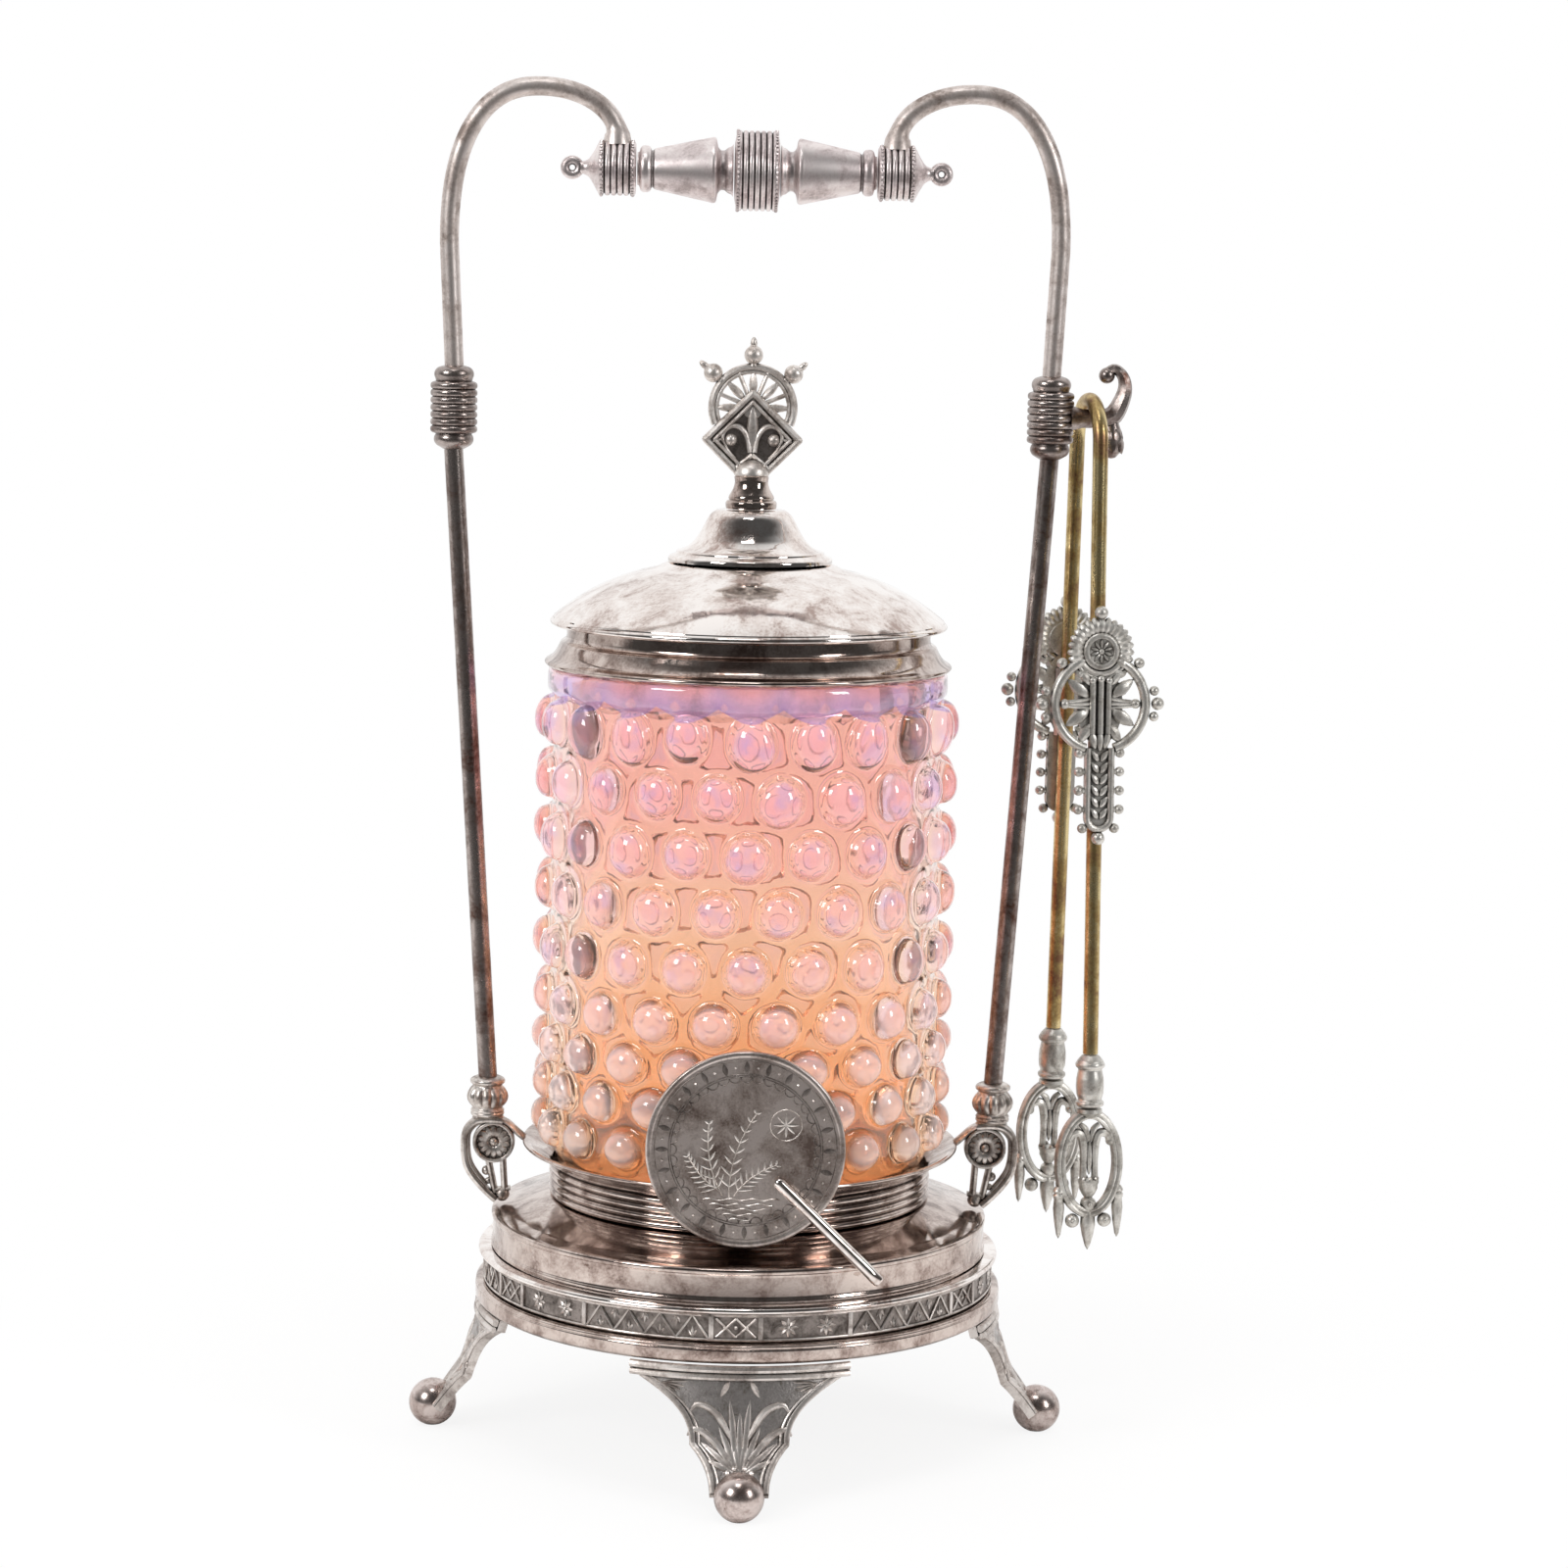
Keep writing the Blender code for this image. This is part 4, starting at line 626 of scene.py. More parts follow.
@dataclass(frozen=True)
class OldMetal:
    """A plated, cast or drawn metal with its tarnish: four colours, then sizes in millimetres."""

    name: str
    pale: str
    middle: str
    dark: str
    groove: str
    patch: float
    grain: float
    groove_reach: float
    smooth: float
    rough: float
    relief: float
    stain: float = 0.5
    reach: Point = (0.25, 0.80)

    def material(self) -> Material:
        """Build the metal.

        Returns:
            The material.
        """
        material, add, place = new_look(self.name)
        # Tarnish comes in clouds some millimetres wide, broken up by specks under a millimetre.
        cloud = add("TexNoise", {
            "Vector": place, "Scale": 1 / MM / self.patch, "Detail": 7, "Roughness": 0.66,
            "Distortion": 0.5})
        speck = add("TexNoise", {
            "Vector": place, "Scale": 1 / MM / self.grain, "Detail": 3, "Roughness": 0.6})
        mixed = add("Math", {0: speck, 1: 0.25, 2: cloud}, operation="MULTIPLY_ADD")
        tint = add("ValToRGB", {"Fac": mixed}, stops=(
            (0.45, self.dark), (0.71, self.pale), (0.58, self.middle)))
        # Stains with a clear edge, about two thirds of a cloud wide, stand where sulphur bit in.
        bite = add("TexNoise", {
            "Vector": place, "Scale": 1.5 / MM / self.patch, "Detail": 9, "Roughness": 0.7})
        stain = add("MapRange", {
            "Value": bite, "From Min": 0.54, "From Max": 0.74, "To Max": self.stain})
        stained = add("Mix", {0: stain, 1: tint, 2: linear(self.dark)}, data_type="RGBA")
        # Grooves keep the black that polishing does not reach.
        shade = add("AmbientOcclusion", {"Distance": self.groove_reach * MM}, samples=8,
                    only_local=True)
        clean = add("MapRange", {
            "Value": shade.outputs["AO"], "From Min": self.reach[0], "From Max": self.reach[1]})
        colour = add("Mix", {0: clean, 1: linear(self.groove), 2: stained}, data_type="RGBA")
        gloss = add("MapRange", {
            "Value": mixed, "From Min": 0.45, "From Max": 0.72, "To Min": self.rough,
            "To Max": self.smooth})
        bump = add("Bump", {"Height": speck, "Distance": self.relief * MM, "Strength": 0.6})
        plug(material.node_tree.nodes["Principled BSDF"], {
            "Base Color": colour, "Roughness": gloss, "Normal": bump, "Metallic": 1.0})
        return material


@dataclass(frozen=True)
class OpalGlass:
    """Mould-blown glass, clear amber to rose, whose hobs and rim struck milky in the fire."""

    bottom: float = 56.7
    height: float = 118.2
    wall: float = 43.4
    crown: float = 47.1
    columns: int = 20
    lobe: float = 3.0

    def material(self) -> Material:
        """Build the glass: colour runs up the wall, milk gathers where the glass is thick.

        Returns:
            The material.
        """
        material, add, place = new_look("struck_opal_glass")
        foot, lip = self.bottom + 3, self.bottom + self.height
        centre = CASTOR.translation * MM
        level = add("Mapping", {"Vector": place, "Location": (-centre.x, -centre.y, 0)})
        flat = add("VectorMath", {0: level, 1: (1, 1, 0)}, operation="MULTIPLY")
        reach = add("VectorMath", {0: flat}, operation="LENGTH")
        # Clouds of about 9 mm make the colour change at slightly different heights round the jar.
        cloud = add("TexNoise", {"Vector": place, "Scale": 1000 / 9, "Detail": 2, "Roughness": 0.5})
        parts = add("SeparateXYZ", {0: place})
        waver = add("Math", {0: cloud, 1: 6 * MM, 2: parts.outputs["Z"]}, operation="MULTIPLY_ADD")
        rise = add("MapRange", {
            "Value": waver, "From Min": foot * MM, "From Max": (foot + self.height) * MM})
        wall = add("ValToRGB", {"Fac": rise}, stops=(
            (0.0, "#FFCC9E"), (1.0, "#FFDAD0"), (0.22, "#FFCFA8"), (0.38, "#FFDABE"),
            (0.52, "#FFE2CE"), (0.72, "#FFD8CC")))
        milk = add("ValToRGB", {"Fac": rise}, stops=(
            (0.0, "#EED2C4"), (1.0, "#FFC8DA"), (0.20, "#F0DAD6"), (0.37, "#FAD8DA"),
            (0.60, "#FFC8D2"), (0.82, "#FFC0CE")))
        # Violet clouds of about 5 mm drift through the milky glass of the upper rows.
        drift = add("TexNoise", {"Vector": place, "Scale": 1000 / 5, "Detail": 2, "Roughness": 0.5})
        patch = add("MapRange", {"Value": drift, "From Min": 0.50, "From Max": 0.66, "To Max": 0.7})
        aloft = add("MapRange", {"Value": rise, "From Min": 0.32, "From Max": 0.56})
        violet = add("Math", {0: patch, 1: aloft}, operation="MULTIPLY")
        milky = add("Mix", {0: violet, 1: milk, 2: linear("#C0AEFA")}, data_type="RGBA")
        # The lower hobs are milky down to their feet, the upper ones only in their crowns.
        deep = add("Math", {0: aloft, 1: -0.6 * MM, 2: reach}, operation="MULTIPLY_ADD")
        mask = add("MapRange", {
            "Value": deep, "From Min": (self.wall + 0.3) * MM, "From Max": (self.crown - 0.8) * MM},
            interpolation_type="SMOOTHSTEP")
        most = add("MapRange", {"Value": aloft, "To Min": 0.95, "To Max": 0.75})
        thick = add("Math", {0: mask, 1: most}, operation="MULTIPLY")
        body = add("Mix", {0: thick, 1: wall, 2: milky}, data_type="RGBA")
        # The rim struck mauve down to a scalloped edge with a lobe over each hob.
        spot = add("SeparateXYZ", {0: level})
        angle = add("Math", {0: spot.outputs["Y"], 1: spot.outputs["X"]}, operation="ARCTAN2")
        turns = add("Math", {0: angle, 1: self.columns / 2}, operation="MULTIPLY")
        lobe = add("Math", {0: add("Math", {0: turns}, operation="COSINE")}, operation="ABSOLUTE")
        above = add("Math", {0: lobe, 1: self.lobe * MM, 2: parts.outputs["Z"]},
                    operation="MULTIPLY_ADD")
        hem = add("MapRange", {
            "Value": above, "From Min": (lip - 4.8) * MM, "From Max": (lip + 2) * MM})
        mauve = add("ValToRGB", {"Fac": hem}, stops=(
            (0.0, "#B09AE0"), (1.0, "#F8BCC2"), (0.16, "#C8B2E6"), (0.55, "#DCBEE2"),
            (0.80, "#ECBCD0")))
        high = add("MapRange", {
            "Value": above, "From Min": (lip - 4.9) * MM, "From Max": (lip - 4.6) * MM})
        proud = add("MapRange", {
            "Value": reach, "From Min": (self.wall - 1.6) * MM, "From Max": (self.wall - 0.8) * MM,
            "To Max": 0.95})
        banded = add("Math", {0: high, 1: proud}, operation="MULTIPLY")
        colour = add("Mix", {0: banded, 1: body, 2: mauve}, data_type="RGBA")
        # Milky glass passes over half the light and scatters the rest, most of all at the foot.
        low = add("Math", {0: aloft, 1: -0.22, 2: 1.0}, operation="MULTIPLY_ADD")
        milkiest = add("Math", {0: thick, 1: low}, operation="MULTIPLY")
        dense = add("Math", {0: banded, 1: 0.6}, operation="MULTIPLY")
        cloudy = add("Math", {0: milkiest, 1: dense}, operation="MAXIMUM")
        clear = add("MapRange", {"Value": cloudy, "To Min": 0.92, "To Max": 0.56})
        # Milk scatters light that falls on it; light that runs inside the glass passes on.
        inside = add("NewGeometry").outputs["Backfacing"]
        through = add("Math", {0: clear, 1: inside}, operation="MAXIMUM")
        scatter = add("MapRange", {"Value": milkiest, "To Min": 0.015, "To Max": 0.14})
        # The mould leaves faint waves about 4 mm long in the skin of the glass.
        wave = add("TexNoise", {"Vector": place, "Scale": 1000 / 4, "Detail": 1, "Roughness": 0.4})
        bump = add("Bump", {"Height": wave, "Distance": 0.2 * MM, "Strength": 0.5})
        # The fire-polished skin mirrors the lamps from outside, as hard glass does.
        skin = add("Math", {0: 1.0, 1: inside}, operation="SUBTRACT")
        plug(material.node_tree.nodes["Principled BSDF"], {
            "Base Color": colour, "Transmission Weight": through, "Normal": bump,
            "Roughness": scatter, "IOR": 1.23, "Coat Weight": skin, "Coat Roughness": 0.01,
            "Coat IOR": 1.6})
        return material


class Finishes:
    """All finishes of the castor."""

    def __init__(self) -> None:
        """Build each finish once."""
        # Electroplated silver, spun and polished: a mirror with clouds of pinkish grey tarnish.
        self.plate = OldMetal("tarnished_silver_plate", "#F8F2EE", "#E6DBD5", "#B09C94", "#2E2826",
                              9, 0.7, 1.2, 0.04, 0.15, 0.01, 0.4).material()
        # Plate of the drum, lower rim, cup, skirt and stem: a mirror gone brown in blotches; on the
        # cup and skirt its darker colour is also a painted dark reflection of the dim room.
        self.drum = OldMetal("blotched_drum_plate", "#D3C5BD", "#B4A39B", "#75625A", "#2A2422",
                             8, 0.6, 1.2, 0.06, 0.20, 0.01, 0.85).material()
        # Plate of the crossbar, rubbed satin by hands, pinkish.
        self.satin = OldMetal("hand_rubbed_plate", "#F0E7E5", "#DDD1D0", "#B5A8A6", "#1E1A18",
                              6, 0.6, 2.4, 0.38, 0.50, 0.01, 0.2, (0.40, 0.84)).material()
        # The same plate on the arches: paler, with a brown cast.
        self.arch = OldMetal("polished_arch_plate", "#E4DAD5", "#CABEB8", "#998B84", "#2A2422",
                             6, 0.7, 1.0, 0.42, 0.56, 0.01, 0.4).material()
        # Plate worn thin on the uprights and the hook: dark, with reddish copper showing.
        self.rod = OldMetal("worn_plate_on_rods", "#B0A5A0", "#8B7F7A", "#63493F", "#241C1A",
                            8, 0.8, 1.0, 0.26, 0.42, 0.02, 0.75).material()
        # Cast britannia metal of the tongs: soft pewter grey, black in the recesses.
        self.casting = OldMetal("plated_britannia_casting", "#DEDBD5", "#C6C2BB", "#9C968F",
                                "#2A2624", 4, 0.5, 0.9, 0.40, 0.56, 0.03, 0.3,
                                (0.30, 0.85)).material()
        # Castings of the brackets and knops: browner and darker, bright only on the edges.
        self.bronze = OldMetal("darkened_stand_casting", "#E2DBD5", "#BFB5AE", "#857A73", "#2A2522",
                               4, 0.5, 0.6, 0.32, 0.48, 0.03, 0.45, (0.26, 0.84)).material()
        # The finial's casting, wiped clean on its edges and balls.
        self.wiped = OldMetal("wiped_finial_casting", "#F0EAE5", "#D6CDC6", "#9E938C", "#2A2522",
                              4, 0.5, 0.6, 0.40, 0.54, 0.03, 0.35, (0.26, 0.84)).material()
        # Balls under the legs: plate scuffed dull by table tops.
        self.ball = OldMetal("scuffed_ball_plate", "#D6C9C4", "#B4A49E", "#806F69", "#2A2422",
                             5, 0.6, 1.2, 0.20, 0.32, 0.01, 0.6).material()
        # Cast ornament on the frieze and legs, rubbed bright on the high places.
        self.relief = OldMetal("rubbed_relief_plate", "#E2DBD6", "#C4BBB5", "#958B86", "#38322F",
                               6, 0.6, 0.6, 0.36, 0.50, 0.03, 0.4).material()
        # Stippled ground between the ornaments: grey and rough.
        self.ground = OldMetal("stippled_dark_ground", "#BEB8B5", "#A09A97", "#767069", "#38322F",
                               3, 0.45, 0.6, 0.34, 0.50, 0.16, 0.5).material()
        # Cast ground in the finial and the openwork, nearly black.
        self.recess = OldMetal("blackened_recess", "#9A918C", "#7A726D", "#564F4B", "#24201E",
                               3, 0.5, 0.5, 0.38, 0.5, 0.05, 0.5).material()
        # The fan: plate gone dark, with a brown and blue bloom.
        self.fan = OldMetal("darkened_fan_plate", "#DACFC9", "#B0A39C", "#70615A", "#2A2422",
                            10, 0.5, 0.6, 0.30, 0.44, 0.01, 0.7).material()
        # Bright-cut engraving: its pale colour is a painted highlight where the cut faces catch the
        # light.
        self.cut = OldMetal("bright_cut_engraving", "#F2EBE5", "#DAD1CA", "#A69C95", "#5A524E",
                            3, 0.5, 0.5, 0.30, 0.42, 0.01, 0.3).material()
        # Drawn brass wire under worn gilding: old gold with brown patches.
        self.wire = OldMetal("worn_gilt_wire", "#DCC896", "#B69C68", "#8A6850", "#3A2A20",
                             9, 0.6, 0.8, 0.26, 0.40, 0.01, 0.5).material()
        # Struck opalescent glass.
        self.glass = OpalGlass().material()


# ---------------------------------------------------------------- base

@dataclass
class Part:
    """A sub-assembly with its finishes; its sizes are in millimetres."""

    finishes: Finishes


@dataclass
class Base(Part):
    """The base: rims, frieze and the spun drum."""

    rim_radius: float = 59.6
    rim_bottom: float = 30.9
    rim_height: float = 4.5
    rim_width: float = 5.6
    band_radius: float = 57.9
    band_bottom: float = 35.7
    band_height: float = 5.9
    band_wall: float = 1.7
    band_relief: float = 0.5
    band_repeats: int = 6
    band_turn: float = -6.9
    dividers: tuple[float, ...] = (0.0, 0.175, 0.508)
    divider_width: float = 1.1
    ledge_radius: float = 59.0
    ledge_bottom: float = 41.9
    ledge_height: float = 1.2
    drum_radius: float = 56.1
    drum_bottom: float = 43.4
    drum_wall: float = 7.8
    drum_top: float = 55.0
    cone_foot: float = 43.2
    sheet: float = 1.2

    def build(self) -> None:
        """Build and dress the rings, the frieze and the drum."""
        looks = self.finishes
        dress("rolled_lower_rim", self.lower_rim(), looks.drum, "lower_rim")
        dress("ledge_ring", self.ledge(), looks.plate, "upper_rim")
        dress("spun_drum", self.drum(), looks.drum, "base_drum")
        dress("frieze_ground", self.band(), looks.recess, "patterned_band")
        dress("frieze_ornament", self.frieze(), looks.relief)

    def lower_rim(self) -> BMesh:
        """Spin the heavy rim with a turned line near its top.

        Returns:
            The rim.
        """
        outer, low, high = self.rim_radius, self.rim_bottom, self.rim_bottom + self.rim_height
        inner, step = outer - self.rim_width, self.rim_height / 6
        outline = [(inner, low), (outer - step * 1.6, low), (outer, low + step * 1.2),
                   (outer, high - step * 1.5), (outer - step / 3, high - step * 1.3),
                   (outer - step / 6, high - step), (outer - step / 6, high - step / 2),
                   (outer - step, high), (inner, high)]
        return turned(rounded(outline, step / 2), FINE, closed=True)

    def ledge(self) -> BMesh:
        """Spin the thin ledge round the drum.

        Returns:
            The ledge.
        """
        outer, inner = self.ledge_radius, self.drum_radius - self.sheet
        low, high = self.ledge_bottom, self.ledge_bottom + self.ledge_height
        outline = [(inner, low), (outer - 0.2, low), (outer, (low + high) / 2), (outer - 0.4, high),
                   (inner, high)]
        return turned(rounded(outline, 0.3), FINE, closed=True)

    def drum(self) -> BMesh:
        """Spin the drum: upright wall, soft shoulder and shallow cone, open below.

        Returns:
            The drum.
        """
        outer, low, top, foot = self.drum_radius, self.drum_bottom, self.drum_top, self.cone_foot
        shoulder, inner = low + self.drum_wall, outer - self.sheet
        wall = [(outer, low), (outer, low + 0.9), (outer - 0.3, low + 1.2),
                (outer - 0.3, shoulder - 1.6), (outer, shoulder - 1.3), (outer, shoulder - 0.3),
                (outer - 0.9, shoulder), (outer * 0.93, shoulder + 0.6), (foot, top), (10, top)]
        under = [(0, top), (0, top - self.sheet), (foot, top - self.sheet),
                 (inner, shoulder - self.sheet), (inner, low)]
        return turned(rounded(wall, 0.5) + under, FINE, closed=True)

    def band(self) -> BMesh:
        """Spin the ground of the frieze.

        Returns:
            The ring.
        """
        outer, inner = self.band_radius - self.band_relief, self.band_radius - self.band_wall
        low, high = self.band_bottom, self.band_bottom + self.band_height
        return turned([(inner, low), (outer, low), (outer, high), (inner, high)], FINE, closed=True)

    def frieze(self) -> Form:
        """Lay out one repeat of the frieze flat, wrap it round and repeat it.

        Returns:
            The ornament.
        """
        length = math.tau * self.band_radius / self.band_repeats
        low, high = self.band_bottom + 0.4, self.band_bottom + self.band_height - 0.4
        wide, ground = self.divider_width, self.band_relief
        form = Form()
        for height in (low - 0.1, high + 0.1):
            form.line([(length * step / 24, height) for step in range(25)], 0.3, 0.2 - ground)
        spots = [length * share for share in self.dividers] + [length]
        for spot in spots[:-1]:
            post = [(spot, low), (spot + wide, low), (spot + wide, high), (spot, high)]
            form.add(slab(post, 0, ground + 0.1, 0.15))
        self.crosses(form, spots[0] + wide, spots[1], low, high)
        span = spots[2] - spots[1] - wide
        for share in (0.29, 0.74):
            self.rosette(form, spots[1] + wide + span * share, (low + high) / 2)
        self.zigzag(form, spots[2] + wide, spots[3], low, high)

        def wrap(spot: Vector) -> Vector:
            """Wrap a point of the flat drawing round the band."""
            angle, reach = spot.x / self.band_radius, self.band_radius - spot.y
            return Vector((math.sin(angle) * reach, -math.cos(angle) * reach, spot.z))

        form.bend(wrap)
        step = 360 / self.band_repeats
        form.copies(rotate(step * index, "Z") for index in range(1, self.band_repeats))
        ops.transform(form.mesh, matrix=rotate(self.band_turn, "Z"), verts=form.mesh.verts)
        return form

    def crosses(self, form: Form, start: float, end: float, low: float, high: float) -> None:
        """Fill a panel with two crosses and a row of beads.

        Args:
            form: the frieze.
            start: left edge of the panel.
            end: its right edge.
            low: its lower edge.
            high: its upper edge.
        """
        half, inset, out = (start + end) / 2, 0.5, -self.band_relief
        for left, right in ((start + inset, half), (half, end - inset)):
            for first, last in ((low + inset, high - inset), (high - inset, low + inset)):
                line = [(left + (right - left) * step / 4, first + (last - first) * step / 4)
                        for step in range(5)]
                form.line(line, 0.26, out + 0.2)
        for spot in ((start + half) / 2, half, (half + end) / 2):
            form.bead(spot, (low + high) / 2, 0.45, out + 0.1, 8)

    def rosette(self, form: Form, across: float, up: float) -> None:
        """Add an eight-petalled rosette.

        Args:
            form: the frieze.
            across: its place along the band.
            up: its height.
        """
        form.rays(range(0, 360, 45), (across, up, 0.1 - self.band_relief), 0, (2.2, 0.9, 0.7), 4)
        form.bead(across, up, 0.45, 0.2 - self.band_relief, 8)

    def zigzag(self, form: Form, start: float, end: float, low: float, high: float) -> None:
        """Add a zigzag with a spray of three leaves in each of its triangles.

        Args:
            form: the frieze.
            start: left edge of the panel.
            end: its right edge.
            low: its lower edge.
            high: its upper edge.
        """
        teeth, out = 4, -self.band_relief
        pitch = (end - start) / teeth
        for index in range(teeth):
            left = start + pitch * index
            heights = (low, (low + high) / 2, high, (low + high) / 2, low)
            line = [(left + pitch * step / 4, height) for step, height in enumerate(heights)]
            form.line(line, 0.28, out + 0.2)
            for turn, length in ((-32, 1.8), (0, 2.4), (32, 1.8)):
                size = (length, 0.7, 0.6, 4)
                form.leaf(at(left + pitch / 2, low + 0.3, out + 0.1, turn), *size)
                if index:
                    form.leaf(at(left, high - 0.3, out + 0.1, 180 + turn), *size)


@dataclass
class Legs(Part):
    """The four shaped legs and the balls they clasp."""

    ball_radius: float = 5.4
    ball_flat: float = 2.2
    circle: float = 69.2
    height: float = 30.6
    top_radius: float = 58.6
    top_half: float = 23.6
    shoulder_half: float = 22.0
    cusp_half: float = 10.7
    cusp_height: float = 14.6
    cusp_radius: float = 63.2
    end_half: float = 6.3
    end_height: float = 4.2
    end_radius: float = 70.4
    bar: float = 2.6
    thickness: float = 2.6
    border: float = 1.4
    recess: float = 0.6
    upper_curve: float = 2.3
    lower_curve: float = 2.8

    def build(self) -> None:
        """Build and dress each leg and its ball."""
        looks = self.finishes
        seat = math.sqrt(self.ball_radius ** 2 - self.ball_flat ** 2)
        low = -math.degrees(math.asin(seat / self.ball_radius))
        outline = [(0, -seat)] + arc((0, 0), self.ball_radius, low, 90, 20)
        outline[-1] = (0, self.ball_radius)
        for name, angle in (("front", 0), ("right", 90), ("back", 180), ("left", 270)):
            place = CASTOR @ rotate(angle, "Z")
            dress(f"{name}_leg_casting", self.shell(), looks.relief, f"{name}_leg", place)
            dress(f"{name}_leg_field", self.floor(), looks.ground, place=place)
            dress(f"{name}_leg_spray", self.spray(), looks.relief, place=place)
            dress(f"{name}_polished_ball", turned(outline, 40), looks.ball, f"{name}_foot_ball",
                  place @ move(0, -self.circle, seat))

    def half(self, height: float) -> float:
        """Give half the leg's width at a height.

        Args:
            height: the height.

        Returns:
            Half the width there.
        """
        top, cusp = self.height - self.bar, self.cusp_half
        if height > top:
            return self.top_half
        if height > self.cusp_height:
            share = (top - height) / (top - self.cusp_height)
            return cusp + (self.shoulder_half - cusp) * (1 - share) ** self.upper_curve
        share = (self.cusp_height - height) / (self.cusp_height - self.end_height)
        return self.end_half + (cusp - self.end_half) * (1 - share) ** self.lower_curve

    def lay(self, spot: Vector) -> Vector:
        """Lay a point of the flat drawing on the splayed front of the leg.

        Args:
            spot: the point.

        Returns:
            Its place on the leg.
        """
        top, cusp, end = self.top_radius, self.cusp_radius, self.end_radius
        upper, lower = self.height - self.cusp_height, self.cusp_height - self.end_height
        slopes = (cusp - top) / upper, (end - cusp) / lower
        if spot.z > self.cusp_height:
            radius, slope = top + slopes[0] * (self.height - spot.z), slopes[0]
        else:
            radius, slope = cusp + slopes[1] * (self.cusp_height - spot.z), slopes[1]
        near = max(0, 1 - abs(spot.z - self.cusp_height) / 4)
        slope = slope * (1 - near) + sum(slopes) / 2 * near
        sagitta = top - math.sqrt(top ** 2 - spot.x ** 2)
        out = -spot.y / math.sqrt(1 + slope ** 2)
        return Vector((spot.x, -(radius - sagitta + out), spot.z + out * slope))

    def sheet(self, low: float, inset: float, front: float, back: float) -> BMesh:
        """Make a sheet in the leg's outline and lay it on the leg.

        Args:
            low: height of its lower end.
            inset: how far it stays inside the outline.
            front: how far its front stands out.
            back: how far its back stands out.

        Returns:
            The closed sheet.
        """
        shape = bmesh.new()
        ops.create_grid(shape, x_segments=16, y_segments=44, size=1)
        rise = self.height - inset - low
        for vert in shape.verts:
            height = low + rise * (vert.co.y + 1) / 2
            vert.co = Vector((vert.co.x * (self.half(height) - inset), -front, height))
        thicken(shape, (0, front - back, 0))
        for vert in shape.verts:
            vert.co = self.lay(vert.co)
        return shape

    def shell(self) -> Form:
        """Make the leg's body with its raised border and double top bar.

        Returns:
            The leg.
        """
        form = Form().add(self.sheet(5.6, 0, -self.recess * 1.2, -self.thickness))
        steps, low, top = 48, 5.8, self.height - self.bar
        heights = [low + (top - low) * index / steps for index in range(steps + 1)]
        for side in (-1, 1):
            edge = [(side * (self.half(height) - self.border / 2), height) for height in heights]
            form.add(self.on_leg(edge, self.border / 2, 0.72))
            inner = [(across - side * self.border * 0.95, height) for across, height in edge]
            form.add(self.on_leg(inner, 0.28, 1, -self.recess * 0.7))
        for height, size in ((self.height - 0.8, 0.9), (top + 0.2, 0.7)):
            bar = [(self.top_half * (index / 12 - 1), height) for index in range(25)]
            form.add(self.on_leg(bar, size, 0.85, 0))
        return form

    def on_leg(self, points: Sequence[Point], radius: float, flat: float,
               out: float = -0.5) -> BMesh:
        """Sweep a raised line over the leg's front.

        Args:
            points: points of the flat drawing.
            radius: half the line's width.
            flat: its depth as a share of its width.
            out: how far it stands out.

        Returns:
            The line.
        """
        path = [tuple(self.lay(Vector((across, -out, up)))) for across, up in points]
        return swept(path, [radius], 8, flat)

    def floor(self) -> BMesh:
        """Make the stippled ground inside the border."""
        return self.sheet(6.2, self.border * 0.9, -self.recess, -self.thickness * 0.8)

    def spray(self) -> Form:
        """Draw the spray of leaves flat, then lay it on the leg.

        Returns:
            The spray.
        """
        form = Form()
        out, foot, top = -self.recess, 9.8, self.height - self.bar
        for turn, length, width, shift in (
                (12, 7.4, 1.8, 0), (25, 9.4, 1.8, 0.5), (39, 10.2, 1.7, 0.8),
                (54, 9, 1.6, 1.1), (70, 6.4, 1.4, 1.4), (6, 14.2, 1.8, 0.7)):
            form.leaf(at(shift, foot, out, turn), length, width, 1.2)
        form.scroll(shifted([(2, 2), (6.4, 6.2), (9.8, 7.8), (11.2, 6.4)], 0, foot),
                    [0.7, 0.9, 0.6, 0.2], out, 0.8)
        form.scroll(shifted([(1.6, 6), (5.2, 11.2), (9, 12.8), (10.6, 11.2)], 0, foot),
                    [0.6, 0.8, 0.6, 0.2], out, 0.8)
        for index in range(6):
            form.leaf(at(16.8, top - 1.4, out, 216 + 12 * index), 2.6 + 0.6 * index, 0.9, 1, 4)
        form.leaf(at(2.2, top - 0.4, out, 150), 4, 1.2, 0.9, 4)
        for across, up in ((2.6, 9.6), (3.8, 7.6), (1.2, 10.4)):
            form.bead(across, up, 0.6, out, 8)
        form.copies([MIRROR_X])
        form.leaf(at(0, foot - 0.4, out), 11.8, 2, 1.3)
        return form.bend(self.lay)


@dataclass
class Holder(Part):
    """The ribbed cup that takes the jar."""

    bottom: float = 55.3
    wall_radius: float = 43.2
    wall_height: float = 7.2
    rim_radius: float = 49.3
    height: float = 11.5
    sheet: float = 1.1
    rib_depth: float = 0.6
    rib_count: int = 4

    def build(self) -> None:
        """Spin and dress the cup."""
        low, wall, rim = self.bottom, self.wall_radius, self.rim_radius
        wall_top, top, inner = low + self.wall_height, low + self.height, wall - self.sheet
        floor, flare = low + self.sheet, rim - wall
        ribs = ribbed(wall, self.rib_depth, low, self.wall_height, self.rib_count)
        lip = [ribs[-1], (wall + flare * 0.12, wall_top + 0.8), (wall + flare * 0.75, top - 0.8),
               (rim, top - 0.3), (rim, top + 0.4), (rim - 1.2, top + 0.3),
               (inner + flare * 0.3, wall_top + 2.2), (inner, wall_top + 0.5), (inner, floor),
               (0, floor)]
        outline = [(0, low)] + ribs + rounded(lip, 0.6, 4)[1:]
        # The cup takes the darker drum plate: brown blotches, plus a painted dark reflection.
        dress("ribbed_cup", turned(outline, FINE, closed=True), self.finishes.drum, "jar_holder")


